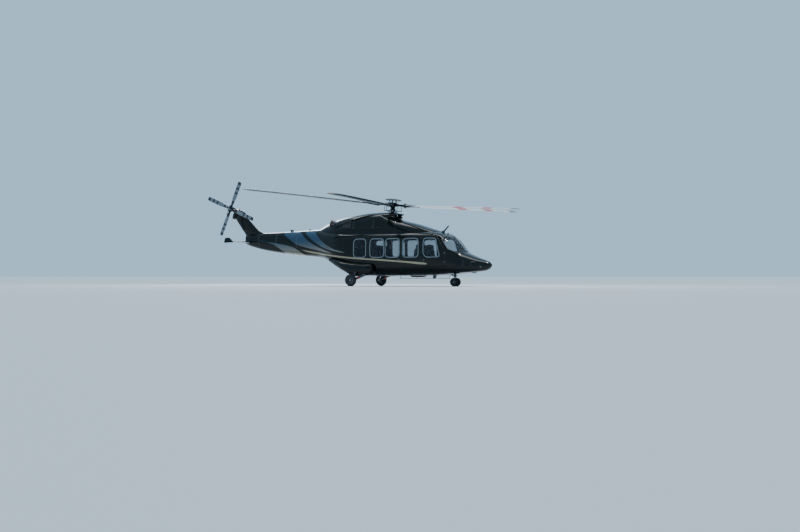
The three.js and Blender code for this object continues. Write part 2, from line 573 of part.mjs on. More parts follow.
// Main rotor head, drawn about its own centre with the mast along +Z
const BLADE_COUNT = BLADE_AZIMUTHS.length;
const HEAD = { radius: 290, half: 62, linkFrom: 200, linkTo: 760, linkHalf: 75, linkThick: 52 };
const turned = (manifold, degrees) => {
  const geometry = meshOf(manifold);
  geometry.rotateZ(THREE.MathUtils.degToRad(degrees));
  return solid(geometry);
};
const PITCH_LINK = { radius: 375, from: -262, to: -60, thick: 13 };
const SWASH = { low: -290, high: -245, radius: 250 };
let head = rod([0, 0, MAST.housingTop + SEAT_GAP], [0, 0, 110], MAST.shaft, MAST.shaft, 20)
  .add(rod([0, 0, -HEAD.half], [0, 0, HEAD.half], HEAD.radius, HEAD.radius, 24))
  .add(rod([0, 0, SWASH.low], [0, 0, SWASH.high], SWASH.radius, SWASH.radius, 24))
  .add(rod([0, 0, -270], [0, 0, -140], 150, 105, 16));
const arm = box(HEAD.linkFrom, HEAD.linkTo, -HEAD.linkHalf, HEAD.linkHalf, -HEAD.linkThick, HEAD.linkThick)
  .add(box(150, PITCH_LINK.radius + 25, -170, -140, SWASH.low + 8, SWASH.high))
  .add(rod([PITCH_LINK.radius, -150, PITCH_LINK.from], [PITCH_LINK.radius, -150, PITCH_LINK.to], PITCH_LINK.thick,
    PITCH_LINK.thick, 6))
  .add(box(PITCH_LINK.radius - 30, PITCH_LINK.radius + 40, -165, -HEAD.linkHalf + 5, -75, -35))
  .add(rod([HEAD.radius - 60, 120, 0], [620, 125, 10], 42, 36, 8))
  .add(box(560, 640, 40, 150, -30, 40));
for (const azimuth of BLADE_AZIMUTHS) {
  head = head.add(turned(arm, azimuth));
}
addMesh('rotor_head', meshOf(head), darkMetal, mast);

const CAP = { radius: 385, low: 200, high: 285, post: 150 };
const capProfile = [
  [0, CAP.low + 20], [CAP.radius - 60, CAP.low], [CAP.radius, CAP.low + 10], [CAP.radius - 50, CAP.low + 45],
  [200, CAP.high - 8], [0, CAP.high],
].map((p) => new THREE.Vector2(...p));
const capGeometry = new THREE.LatheGeometry(capProfile, 30);
capGeometry.rotateX(Math.PI / 2);
let cap = solid(capGeometry);
if (cap.volume() < 0) throw new Error('cap is inside out');
for (let i = 0; i < BLADE_COUNT; i++) {
  const post = rod([CAP.post, 0, HEAD.half + SEAT_GAP], [CAP.post, 0, CAP.low + 20], 20, 20, 10);
  cap = cap.add(turned(post, BLADE_AZIMUTHS[i]));
}
addMesh('rotor_cap', meshOf(cap), darkMetal, mast);

// Main blades: a cuff, a straight aerofoil and a swept tip; rise is the height of the chord line
const BLADE = rowsOf(['r', 'lead', 'chord', 'thick', 'rise'], [
  [HEAD.linkTo - 140, 85, 170, 150, 0],
  [900, 90, 180, 120, 4],
  [1250, 130, 330, 66, 14],
  [1700, 140, 420, 52, 28],
  [3200, 140, 420, 50, 82],
  [4800, 140, 420, 48, 137],
  [6200, 140, 420, 42, 177],
  [6600, 80, 350, 34, 185],
  [ROTOR_RADIUS, -70, 180, 16, 190],
]);
// Outboard of the cuff the blade is pitched nose up about its quarter chord.
const BLADE_PITCH = { degrees: 8, from: 850, over: 500 };
const bladeSolid = loft(BLADE.map((row) => {
  const share = Math.min(1, Math.max(0, (row.r - BLADE_PITCH.from) / BLADE_PITCH.over));
  const pitch = THREE.MathUtils.degToRad(BLADE_PITCH.degrees) * share;
  const pivot = row.lead - 0.25 * row.chord;
  return aerofoil(row.chord, row.thick).map(([along, rise]) => {
    const y = row.lead + along - pivot;
    return [row.r, pivot + y * Math.cos(pitch) - rise * Math.sin(pitch),
      row.rise + y * Math.sin(pitch) + rise * Math.cos(pitch)];
  });
}));
// The cuff is slotted to straddle the hub link, 1 mm clear, and a bolt pair joins them.
const slot = box(0, HEAD.linkTo + 1, -HEAD.linkHalf - SEAT_GAP, HEAD.linkHalf + SEAT_GAP,
  -HEAD.linkThick - SEAT_GAP, HEAD.linkThick + SEAT_GAP);
const blade = bladeSolid.subtract(slot).subtract(box(0, 645, 35, 160, -45, 55));
BLADE_AZIMUTHS.forEach((azimuth, i) => {
  addMesh(`main_blade_${i + 1}`, meshOf(turned(blade, azimuth)), bladePaint, mast);
});

// Tail rotor on the starboard side, turning about Y
const tail = new THREE.Group();
tail.position.set(TAIL_HUB.x, TAIL_HUB.y, TAIL_HUB.z);
helicopter.add(tail);
const TAIL_HEAD = { radius: 150, half: 55, shaft: 45, inner: 200 - SEAT_GAP, armHalf: 50, armThick: 32 };
const turnedY = (manifold, degrees) => {
  const geometry = meshOf(manifold);
  geometry.rotateY(THREE.MathUtils.degToRad(degrees));
  return solid(geometry);
};
let tailHead = rod([0, -70, 0], [0, TAIL_HEAD.inner, 0], TAIL_HEAD.shaft, TAIL_HEAD.shaft, 16)
  .add(rod([0, -TAIL_HEAD.half, 0], [0, TAIL_HEAD.half, 0], TAIL_HEAD.radius, TAIL_HEAD.radius, 24))
  .add(rod([0, -120, 0], [0, -60, 0], 62, 80, 16));
const TAIL_BLADES = 4;
const TAIL_CUFF = 330;
const tailArm = box(-TAIL_HEAD.armHalf, TAIL_HEAD.armHalf, -TAIL_HEAD.armThick, TAIL_HEAD.armThick, 90, TAIL_CUFF);
const tailBladeSolid = loft([
  [TAIL_CUFF - 90, 72, 144, 100], [430, 75, 150, 66], [510, 95, 190, 28], [1200, 95, 190, 22],
  [TAIL_RADIUS, 75, 160, 12],
].map(([r, lead, chord, thick]) => {
  const pitch = THREE.MathUtils.degToRad(7) * Math.min(1, Math.max(0, (r - TAIL_CUFF - 10) / 200));
  return aerofoil(chord, thick).map(([along, rise]) => [
    (lead + along) * Math.cos(pitch) - rise * Math.sin(pitch),
    (lead + along) * Math.sin(pitch) + rise * Math.cos(pitch), r]);
}));
const [slotHalf, slotThick] = [TAIL_HEAD.armHalf + SEAT_GAP, TAIL_HEAD.armThick + SEAT_GAP];
const tailSlot = box(-slotHalf, slotHalf, -slotThick, slotThick, 0, TAIL_CUFF + 1);
const tailBlade = tailBladeSolid.subtract(tailSlot);
for (let i = 0; i < TAIL_BLADES; i++) {
  const angle = TAIL_LEAN + 360 * i / TAIL_BLADES;
  tailHead = tailHead.add(turnedY(tailArm, angle));
  addMesh(`tail_blade_${i + 1}`, meshOf(turnedY(tailBlade, angle)), bladePaint, tail);
}
addMesh('tail_rotor_head', meshOf(tailHead), darkMetal, tail);

// Wheels: one revolved profile each, a tyre on its rim
const wheelSolid = (wheel, bore, y) => {
  const [r, w] = [wheel.radius, wheel.width / 2];
  const rim = r * 0.56;
  const profile = [
    [bore, -w * 0.7], [rim * 0.4, -w * 0.7], [rim * 0.9, -w * 0.45], [rim, -w * 0.85],
    [r * 0.8, -w], [r * 0.96, -w * 0.7], [r, -w * 0.3], [r, w * 0.3], [r * 0.96, w * 0.7], [r * 0.8, w],
    [rim, w * 0.85], [rim * 0.9, w * 0.45], [rim * 0.4, w * 0.7], [bore, w * 0.7],
  ];
  const closed = [...profile, profile[0]].map((p) => new THREE.Vector2(...p));
  const geometry = new THREE.LatheGeometry(closed, 24);
  geometry.translate(0, y, 0);
  let body = solid(geometry);
  if (body.volume() < 0) {
    geometry.setIndex(Array.from(geometry.index.array).reverse());
    body = solid(geometry);
  }
  return body;
};

// Sponsons on the lower sides, hollowed for the main wheels
const SPONSON = rowsOf(['x', 'y', 'z', 'wide', 'high'], [
  [-370, 1040, 310, 90, 110],
  [-470, 1080, 310, 280, 245],
  [-900, 1110, 300, 400, 285],
  [-1300, 1120, 305, 420, 310],
  [-1800, 1100, 430, 390, 240],
  [-2300, 1000, 590, 280, 170],
  [-2750, 880, 730, 120, 80],
]);
const WELL = { x0: -1720, x1: -560, near: 1250, top: 190 };
const JACK_PAD = { x: -1000, y: 1090, z: -20, half: 50 };
const AXLE = { radius: 32, clear: 1 };
const ARM = { x: -760, y: 1330, z: 60, z0: GROUND + MAIN_WHEEL.radius };
const BRAKE = { y: 1428, radius: 112 };
for (const [name, side] of SIDES) {
  const rings = stationsOf(SPONSON, 400).map((x) => {
    const row = rowAt(SPONSON, x);
    return ovalRing(x, side * row.y, row.z, row.wide, row.high, 20);
  });
  const sponson = loft(rings).subtract(hullGrown)
    .subtract(box(WELL.x0, WELL.x1, ...outward(side, WELL.near, 2000), -FAR, WELL.top))
    .add(box(JACK_PAD.x - JACK_PAD.half, JACK_PAD.x + JACK_PAD.half,
      ...outward(side, JACK_PAD.y - JACK_PAD.half, JACK_PAD.y + JACK_PAD.half), JACK_PAD.z, JACK_PAD.z + 110));
  addMesh(`sponson_${name}`, meshOf(sponson), paint);

  const axleZ = ARM.z0;
  const y = side * ARM.y;
  const strutTop = [-1210, y, WELL.top - SEAT_GAP];
  const leg = join(
    rod([ARM.x, ...outward(side, WELL.near + SEAT_GAP, 1400).slice(0, 1), ARM.z],
      [ARM.x, ...outward(side, WELL.near + SEAT_GAP, 1400).slice(1), ARM.z], 48, 48, 16),
    rod([ARM.x, y, ARM.z], [MAIN_WHEEL.x, y, axleZ], 58, 50, 12),
    rod([MAIN_WHEEL.x, side * (ARM.y - 60), axleZ], [MAIN_WHEEL.x, side * (MAIN_WHEEL.y + 60), axleZ],
      AXLE.radius, AXLE.radius, 16),
    rod([MAIN_WHEEL.x, side * (ARM.y - 60), axleZ], [MAIN_WHEEL.x, side * (MAIN_WHEEL.y - 82), axleZ], 52, 52, 16),
    rod([MAIN_WHEEL.x, side * (BRAKE.y - 34), axleZ], [MAIN_WHEEL.x, side * BRAKE.y, axleZ], BRAKE.radius, BRAKE.radius,
      18),
    rod([-1300, y, axleZ + 40], strutTop, 42, 42, 16).intersect(box(-2000, 0, ...outward(side, 1200, 1500), -400,
      WELL.top - SEAT_GAP)),
    box(-1290, -1130, ...outward(side, ARM.y - 70, ARM.y + 70), WELL.top - 26, WELL.top - SEAT_GAP),
  );
  addMesh(`main_gear_leg_${name}`, meshOf(leg), darkMetal);
  const wheel = wheelSolid(MAIN_WHEEL, AXLE.radius + AXLE.clear, 0);
  const mesh = addMesh(`main_wheel_${name}`, meshOf(wheel), rubber);
  mesh.position.set(MAIN_WHEEL.x, side * MAIN_WHEEL.y, axleZ);
}

// Nose gear: a fixed upper strut with its brace, a steered lower leg, and twin wheels on one axle
const NOSE_AXLE_Z = GROUND + NOSE_WHEEL.radius;
const LEG = { cylinder: 52, piston: 27, low: -60, clear: 1, housing: 46 };
const bayTop = NOSE_BAY.z - SEAT_GAP;
let strut = join(
  rod([NOSE_WHEEL.x, 0, LEG.low], [NOSE_WHEEL.x, 0, bayTop], LEG.cylinder, LEG.cylinder, 24),
  rod([NOSE_WHEEL.x, 0, LEG.low], [NOSE_WHEEL.x, 0, LEG.low + 40], LEG.cylinder + 14, LEG.cylinder + 14, 24),
  box(NOSE_WHEEL.x - 90, NOSE_WHEEL.x + 90, -150, 150, bayTop - 30, bayTop),
  rod([NOSE_WHEEL.x, 0, LEG.low + 20], [NOSE_WHEEL.x - 330, 0, bayTop - 28], 22, 26, 8),
  box(NOSE_WHEEL.x - 380, NOSE_WHEEL.x - 280, -60, 60, bayTop - 30, bayTop),
);
strut = strut.subtract(rod([NOSE_WHEEL.x, 0, LEG.low - 10], [NOSE_WHEEL.x, 0, LEG.low + 190],
  LEG.piston + LEG.clear, LEG.piston + LEG.clear, 24));
addMesh('nose_gear_strut', meshOf(strut), darkMetal);

const lowerLeg = join(
  rod([NOSE_WHEEL.x, 0, NOSE_AXLE_Z], [NOSE_WHEEL.x, 0, LEG.low + 180], LEG.piston, LEG.piston, 24),
  rod([NOSE_WHEEL.x, -62, NOSE_AXLE_Z], [NOSE_WHEEL.x, 62, NOSE_AXLE_Z], LEG.housing, LEG.housing, 20),
  box(NOSE_WHEEL.x - 45, NOSE_WHEEL.x + 45, -40, 40, NOSE_AXLE_Z + 20, NOSE_AXLE_Z + 80),
  rod([NOSE_WHEEL.x, 0, LEG.low - 45], [NOSE_WHEEL.x, 0, LEG.low - 10], 46, 46, 16),
  ...[-22, 22].flatMap((y) => [
    rod([NOSE_WHEEL.x - 38, y, LEG.low - 28], [NOSE_WHEEL.x - 130, y, LEG.low - 85], 10, 9, 6),
    rod([NOSE_WHEEL.x - 130, y, LEG.low - 85], [NOSE_WHEEL.x - 30, y, NOSE_AXLE_Z + 30], 9, 10, 6),
  ]),
  rod([NOSE_WHEEL.x - 130, -34, LEG.low - 85], [NOSE_WHEEL.x - 130, 34, LEG.low - 85], 14, 14, 8),
).subtract(rod([NOSE_WHEEL.x, -70, NOSE_AXLE_Z], [NOSE_WHEEL.x, 70, NOSE_AXLE_Z], 25, 25, 20));
addMesh('nose_gear_lower_leg', meshOf(lowerLeg), steel);

const noseWheels = join(
  wheelSolid(NOSE_WHEEL, 10, -NOSE_WHEEL.y),
  wheelSolid(NOSE_WHEEL, 10, NOSE_WHEEL.y),
  rod([0, -NOSE_WHEEL.y - 30, 0], [0, NOSE_WHEEL.y + 30, 0], 24, 24, 20),
);
addMesh('nose_wheels', meshOf(noseWheels), rubber).position.set(NOSE_WHEEL.x, 0, NOSE_AXLE_Z);

// Cabin fittings: seats on the floor and the instrument panel under the windshield
const SEAT = { low: 370, high: 1400, wide: 420 };
const PILOT_SEAT = { x: 2330, y: 480 };
const seatSide = (x, facing) => [
  [x - facing * 250, SEAT.low], [x + facing * 220, SEAT.low], [x + facing * 270, SEAT.low + 280],
  [x - facing * 100, SEAT.low + 300], [x - facing * 210, SEAT.high], [x - facing * 320, SEAT.high],
  [x - facing * 300, SEAT.low + 180],
];
const seat = (x, y, facing) => {
  const side = seatSide(x, facing);
  return across(facing > 0 ? side : side.reverse(), 0, y - SEAT.wide / 2, y + SEAT.wide / 2);
};
for (const [name, side] of SIDES) {
  const y = side * PILOT_SEAT.y;
  const pedestal = box(PILOT_SEAT.x - 180, PILOT_SEAT.x + 160, y - 150, y + 150, FLOOR + SEAT_GAP, SEAT.low + 40);
  addMesh(`pilot_seat_${name}`, meshOf(pedestal.add(seat(PILOT_SEAT.x, y, 1))), leather);
}
const ROWS = rowsOf(['x', 'facing', 'reach'], [[1300, -1, 690], [-300, 1, 690], [-1330, 1, 640]]);
const ROW_PLACES = [-1, -1 / 3, 1 / 3, 1];
ROWS.forEach((row, i) => {
  let seats = box(row.x - 150, row.x + 150, -700, 700, FLOOR + SEAT_GAP, SEAT.low + 40);
  for (const place of ROW_PLACES) {
    seats = seats.add(seat(row.x, place * row.reach, row.facing));
  }
  addMesh(`cabin_seats_row_${i + 1}`, meshOf(seats), leather);
});
const panel = join(
  across([[3080, 560], [3230, 500], [3330, 560], [3330, 900], [3140, 1090], [3030, 1060]], 30, -640, 640, 3),
  box(2700, 3150, -130, 130, FLOOR + SEAT_GAP, 700),
).subtract(hullLoft(-1, ...hullEnds).subtract(hullLoft(WALL + SEAT_GAP, 3450, CABIN_REAR + WALL)));
addMesh('instrument_panel', meshOf(panel), darkMetal);

// Long aerial under the belly, and the wire cutter on the cockpit roof
const RAIL = { x0: 60, x1: 2560, y: 560, z: -95, radius: 11, posts: 4 };
let rail = rod([RAIL.x0, RAIL.y, RAIL.z], [RAIL.x1, RAIL.y, RAIL.z], RAIL.radius, RAIL.radius, 10);
for (let i = 0; i < RAIL.posts; i++) {
  const x = RAIL.x0 + 40 + (RAIL.x1 - RAIL.x0 - 80) * i / (RAIL.posts - 1);
  rail = rail.add(rod([x, RAIL.y, RAIL.z], [x + 90, RAIL.y - 30, 150], 12, 14, 8));
}
addMesh('belly_aerial', meshOf(rail.subtract(hullGrown)), darkMetal);
const cutter = join(
  across([[2390, 1880], [2530, 1880], [2560, 1995], [2755, 2205], [2715, 2245], [2490, 2020], [2390, 1985]], 8,
    -12, 12, 3),
).subtract(hullGrown).subtract(deckLoft(FAIRING_ROOF, -SEAT_GAP, 2520, 449));
addMesh('wire_cutter', meshOf(cutter), darkMetal);

export default helicopter;
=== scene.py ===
# %% [markdown]
# # A twin-engine helicopter standing on its wheels
# This lesson dresses a measured CAD model of a helicopter. The CAD model gives every place and size. Here each
# panel is made again with a fine, smooth surface, and then it gets paint, glass, rubber, leather and its small
# fittings. One unit is one metre, +X points to the nose, +Y to port (its left side) and +Z up.

# %% Load the CAD frame
import json
import math

import bmesh
import bpy
import numpy as np
from mathutils import Euler, Matrix, Vector
from mathutils.bvhtree import BVHTree
from mathutils.geometry import barycentric_transform

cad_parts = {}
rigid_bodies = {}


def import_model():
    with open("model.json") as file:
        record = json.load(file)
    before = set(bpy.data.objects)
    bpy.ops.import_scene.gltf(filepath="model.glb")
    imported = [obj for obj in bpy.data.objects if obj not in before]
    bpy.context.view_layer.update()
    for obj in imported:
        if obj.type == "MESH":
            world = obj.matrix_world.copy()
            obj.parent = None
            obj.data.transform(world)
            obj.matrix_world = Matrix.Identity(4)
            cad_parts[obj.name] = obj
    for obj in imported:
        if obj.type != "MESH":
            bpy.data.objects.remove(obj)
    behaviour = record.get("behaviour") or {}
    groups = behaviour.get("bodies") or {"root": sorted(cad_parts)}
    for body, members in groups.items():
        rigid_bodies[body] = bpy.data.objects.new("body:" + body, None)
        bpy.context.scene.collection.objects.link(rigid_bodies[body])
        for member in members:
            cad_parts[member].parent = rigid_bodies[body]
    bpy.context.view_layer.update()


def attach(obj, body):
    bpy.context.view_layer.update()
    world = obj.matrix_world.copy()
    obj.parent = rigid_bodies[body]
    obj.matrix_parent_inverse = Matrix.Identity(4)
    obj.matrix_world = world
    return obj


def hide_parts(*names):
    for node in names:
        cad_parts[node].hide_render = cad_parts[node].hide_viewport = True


for sample in list(bpy.data.objects):
    bpy.data.objects.remove(sample)
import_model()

# %% [markdown]
# ## Camera
# The photo was taken from far away, from the starboard front quarter. The camera stands low over the floor, 60 m
# away and 26 degrees ahead of the starboard beam, so that perspective stays as weak as a long lens makes it.

# %% Camera at floor level
GROUND = -0.45
CAMERA_AZIMUTH = math.radians(26)
CAMERA_DISTANCE = 60.0
PHOTO_WIDTH = 800
PHOTO_HEIGHT = 532
PIXELS_PER_METRE = 22.25
HUB_PIXEL = (393.0, 205.0)
HUB = Vector((0, 0, 3.2))

camera_data = bpy.data.cameras.new("photo_camera")
camera_data.sensor_width = 36
camera_data.lens = PIXELS_PER_METRE * CAMERA_DISTANCE * 36 / PHOTO_WIDTH
camera_data.clip_end = 1000
camera = bpy.data.objects.new("photo_camera", camera_data)
bpy.context.scene.collection.objects.link(camera)
bpy.context.scene.camera = camera
toward = Vector((math.sin(CAMERA_AZIMUTH), -math.cos(CAMERA_AZIMUTH), 0))
camera.location = toward * CAMERA_DISTANCE + Vector((0, 0, GROUND + 0.5))
hub_rise = math.atan((HUB.z - camera.location.z) / CAMERA_DISTANCE)
pixel_angle = 1 / (PIXELS_PER_METRE * CAMERA_DISTANCE)
camera_rise = hub_rise - math.atan((PHOTO_HEIGHT / 2 - HUB_PIXEL[1]) * pixel_angle)
camera_turn = CAMERA_AZIMUTH - math.atan((PHOTO_WIDTH / 2 - HUB_PIXEL[0]) * pixel_angle)
camera.rotation_euler = Euler((math.pi / 2 + camera_rise, 0, camera_turn))
print("camera lens", round(camera_data.lens, 1), "mm, rises", round(math.degrees(camera_rise), 2), "degrees")

# %% [markdown]
# ## Small helpers
# Every colour below is written as it looks on a screen (sRGB hex), and one function turns it into the linear values
# that Blender computes with. One function adds a node to any tree, with its settings and its links.

# %% Colour
def linear(hex_colour):
    """Turns an sRGB hex colour into linear RGBA."""
    values = [int(hex_colour[i:i + 2], 16) / 255 for i in (1, 3, 5)]
    return tuple(v / 12.92 if v <= 0.04045 else ((v + 0.055) / 1.055) ** 2.4 for v in values) + (1.0,)


print("mid grey in linear light", round(linear("#808080")[0], 3))

# %% One node with its settings and links
def add_node(tree, kind, inputs=None, stops=None, curve=None, **settings):
    """Adds a node with its settings and links, and gives its first live output.

    Inputs are values, hex colours or other nodes' sockets. Stops are a ramp's (place, hex colour) pairs, and curve is
    a float curve's (x, y) points.
    """
    node = tree.nodes.new(kind)
    for key, value in settings.items():
        setattr(node, key, value)
    for key, value in (inputs or {}).items():
        live = [s for s in node.inputs if s.enabled and s.name == key]
        socket = node.inputs[key] if isinstance(key, int) else live[0]
        if isinstance(value, bpy.types.NodeSocket):
            tree.links.new(value, socket)
        else:
            socket.default_value = linear(value) if str(value).startswith("#") else value
    for i, (position, colour) in enumerate(stops or []):
        elements = node.color_ramp.elements
        element = elements[i] if i < 2 else elements.new(position)
        element.position = position
        element.color = linear(colour)
    if curve:
        points = node.mapping.curves[0].points
        for x, y in curve[1:-1]:
            points.new(x, y)
        for point, (x, y) in zip(points, curve):
            point.location = (x, y)
            point.handle_type = "AUTO_CLAMPED"
        node.mapping.update()
    return next(s for s in node.outputs if s.enabled)


print("nodes are added by one helper")

# %% Start and end of a material
def new_material(name, colour, roughness, metallic=0.0, ior=1.5, **sockets):
    """Starts a material with its flat values on the shader's sockets, and gives the point on the object in metres."""
    made = bpy.data.materials.new(name)
    made.use_nodes = True
    shader = made.node_tree.nodes["Principled BSDF"]
    values = {"Base Color": linear(colour), "Roughness": roughness, "Metallic": metallic, "IOR": ior}
    for key, value in sockets.items():
        values[key.replace("_", " ")] = linear(value) if isinstance(value, str) else value
    for key, value in values.items():
        shader.inputs[key].default_value = value
    point = add_node(made.node_tree, "ShaderNodeTexCoord").node.outputs["Object"]
    return made, made.node_tree, shader, point


def finish(tree, shader, **links):
    """Links pattern sockets to the shader's sockets."""
    for key, socket in links.items():
        tree.links.new(socket, shader.inputs[key.replace("_", " ")])


print("materials start from a Principled shader")

# %% [markdown]
# ## Finishes
# A real finish is never even: it is duller where it is touched and brighter where it is rubbed, and it has a grain.
# Most finishes here need one pattern for tone and gloss and one for relief, so one helper makes them from their
# sizes. The paint, the hot steel and the blades need more and are made by hand.

# %% Finishes that follow a pattern
def surface(name, colour, roughness, metallic=0.0, patches=None, tones=None, gloss=None, relief=None,
            depth=0.0005, strength=0.5, **sockets):
    """A finish whose tone and gloss follow one pattern, and whose relief follows another.

    A pattern is a texture's kind with its inputs (capital letters) and settings (small letters). A noise of scale 100
    has grains of about 10 mm, and a wave of scale 100 has a line every 3.1 mm.
    """
    made, tree, shader, point = new_material(name, colour, roughness, metallic, **sockets)
    textures = []
    for pattern in (patches, relief):
        values = dict(pattern or {})
        kind = values.pop("kind", "Noise")
        inputs = {key: value for key, value in values.items() if key[0].isupper()}
        settings = {key: value for key, value in values.items() if key[0].islower()}
        textures.append(pattern and add_node(tree, "ShaderNodeTex" + kind, {"Vector": point, **inputs}, **settings))
    if tones:
        finish(tree, shader, Base_Color=add_node(tree, "ShaderNodeValToRGB", {"Fac": textures[0]}, stops=tones))
    if gloss:
        finish(tree, shader, Roughness=add_node(tree, "ShaderNodeMapRange", {"Value": textures[0], "To Min": gloss[0],
                                                                             "To Max": gloss[1]}))
    if relief:
        finish(tree, shader, Normal=add_node(tree, "ShaderNodeBump", {"Height": textures[1], "Distance": depth,
                                                                      "Strength": strength}))
    return made


print("finishes follow a pattern of", 1000 / 100.0, "mm at scale 100")

# %% [markdown]
# ## Sections
# The hull's shape is kept in tables: at each station along X, the lowest and highest point, the half width, the
# height of the waist, and how square the section is above and below it. Between the rows the values follow smooth
# curves that never overshoot, so a skin made from many stations has no waves.

# %% A closed body through rings
def make_object(name, vertices, faces, material=None):
    """A mesh object at the origin from points and faces."""
    mesh = bpy.data.meshes.new(name)
    mesh.from_pydata([tuple(v) for v in vertices], [], faces)
    mesh.update()
    mesh.shade_smooth()
    made = bpy.data.objects.new(name, mesh)
    bpy.context.scene.collection.objects.link(made)
    if material:
        mesh.materials.append(material)
    return made


def outward_faces(made):
    """Makes every face of a closed body point outwards."""
    work = bmesh.new()
    work.from_mesh(made.data)
    bmesh.ops.recalc_face_normals(work, faces=work.faces)
    if work.calc_volume(signed=True) < 0:
        bmesh.ops.reverse_faces(work, faces=work.faces)
    work.to_mesh(made.data)
    work.free()
    return made


def loft(name, rings, material=None):
    """A closed body through rings of equal point counts, with a cap at each end."""
    count = len(rings[0])
    points = [p for ring in rings for p in ring]
    faces = []
    for r in range(len(rings) - 1):
        a, b = r * count, (r + 1) * count
        for i in range(count):
            j = (i + 1) % count
            faces.append((a + i, a + j, b + j, b + i))
    faces.append(tuple(range(count)))
    faces.append(tuple(range(len(points) - count, len(points))))
    return outward_faces(make_object(name, points, faces, material))


print("lofts are closed and face outwards")

# %% Reading a table of sections
def row_at(table, x):
    """The values at a station between a table's rows (first column falling), in metres."""
    keys = [row[0] for row in table]
    last = len(table) - 1
    i = next((k for k in range(last) if keys[k + 1] <= x), last - 1)
    t = (x - keys[i]) / (keys[i + 1] - keys[i])
    width = keys[i + 1] - keys[i]
    values = [x]
    for column in range(1, len(table[0])):
        slopes = [(table[k + 1][column] - table[k][column]) / (keys[k + 1] - keys[k]) for k in range(last)]
        tangents = []
        for k in (i, i + 1):
            if k == 0 or k == last:
                tangents.append(slopes[min(k, last - 1)])
                continue
            a, b = slopes[k - 1], slopes[k]
            tangents.append(0.0 if a * b <= 0 else 2 * a * b / (a + b))
        v0, v1 = table[i][column], table[i + 1][column]
        values.append(v0 * (1 + 2 * t) * (1 - t) ** 2 + v1 * t * t * (3 - 2 * t)
                      + tangents[0] * width * t * (1 - t) ** 2 - tangents[1] * width * t * t * (1 - t))
    return values


def metres(rows, shape_columns=2):
    """Rows written in millimetres, except for their last shape columns, turned to metres."""
    count = len(rows[0]) - shape_columns
    return [[v / 1000 for v in row[:count]] + list(row[count:]) for row in rows]


print("halfway between 0 and 2 m is", row_at([[1, 0], [0, 2]], 0.5)[1])

# %% One section, and a skin through many
def hull_ring(row, inset=0.0, count=96):
    """One cross-section: flat sides and round corners, squarer as the square values grow."""
    x, low, top, half, waist, square_up, square_low = row
    ring = []
    for i in range(count):
        a = 2 * math.pi * i / count
        upper = math.sin(a) >= 0
        n = 2 / (square_up if upper else square_low)
        reach = top - inset - waist if upper else waist - low - inset
        c, s = math.cos(a), math.sin(a)
        y = (half - inset) * math.copysign(abs(c) ** n, c)
        z = waist + reach * math.copysign(abs(s) ** n, s)
        ring.append((x, y, z))
    return ring


def skin(name, table, x0, x1, inset=0.0, step=0.06, count=96):
    """A closed body along a table from station x0 back to x1."""
    steps = max(1, round((x0 - x1) / step))
    places = [x0 + (x1 - x0) * k / steps for k in range(steps + 1)]
    return loft(name, [hull_ring(row_at(table, x), inset, count) for x in places])


print("a section has", len(hull_ring((0, 0, 2, 1, 1, 2.0, 2.0))), "points")

# %% [markdown]
# ## The hull's table
# On the real machine frames about half a metre apart set the shape. The rows below are such frames, measured from
# the photo and the CAD: place, lowest and highest point, half width and waist in millimetres, then the two
# squarenesses.

# %% Hull table
HULL = metres([
    (4760, 420, 540, 60, 480, 2.0, 2.0), (4700, 335, 605, 175, 470, 2.1, 2.1),
    (4520, 240, 690, 340, 455, 2.3, 2.3), (4190, 185, 805, 550, 450, 2.5, 2.5),
    (3880, 155, 930, 705, 470, 2.6, 2.7), (3570, 130, 1075, 840, 520, 2.6, 2.8),
    (3260, 105, 1440, 975, 640, 2.6, 3.0), (2930, 80, 1750, 1060, 760, 3.1, 3.1),
    (2600, 55, 1895, 1105, 850, 3.8, 3.2), (2200, 30, 1955, 1125, 900, 4.2, 3.2),
    (1200, 12, 1980, 1130, 900, 4.4, 3.2), (-1000, 12, 1980, 1130, 900, 4.4, 3.2),
    (-1500, 70, 1985, 1125, 920, 4.2, 3.0), (-2200, 320, 2010, 1070, 1080, 3.8, 2.8),
    (-3000, 640, 2080, 820, 1300, 3.0, 2.5), (-3700, 860, 2130, 560, 1450, 2.5, 2.3),
    (-4900, 970, 2085, 430, 1500, 2.3, 2.2), (-6400, 1165, 2030, 310, 1600, 2.3, 2.2),
    (-7400, 1390, 2000, 215, 1700, 2.2, 2.2), (-7700, 1500, 1960, 140, 1730, 2.0, 2.0),
])
print("frames in the table", len(HULL))

# %% [markdown]
# ## The hull body
# The whole hull is one loft of 209 sections, finer than the eye can see. The real nose tip and boom end are round,
# so a few shrinking rings close them as domes instead of flat lids. Every skin piece below is cut from this one
# body.

# %% Hull body
def skin_width(x, z):
    """How far the hull's side stands from the middle plane at a place in side view."""
    _, low, top, half, waist, square_up, square_low = row_at(HULL, x)
    square = square_up if z >= waist else square_low
    reach = top - waist if z >= waist else waist - low
    return half * max(0.0, 1 - min(1.0, abs(z - waist) / reach) ** square) ** (1 / square)


def domed(ring, centre, ahead, shrink):
    """A smaller copy of a ring, a little further out."""
    return [(p[0] + ahead, centre[0] + (p[1] - centre[0]) * shrink, centre[1] + (p[2] - centre[1]) * shrink)
            for p in ring]


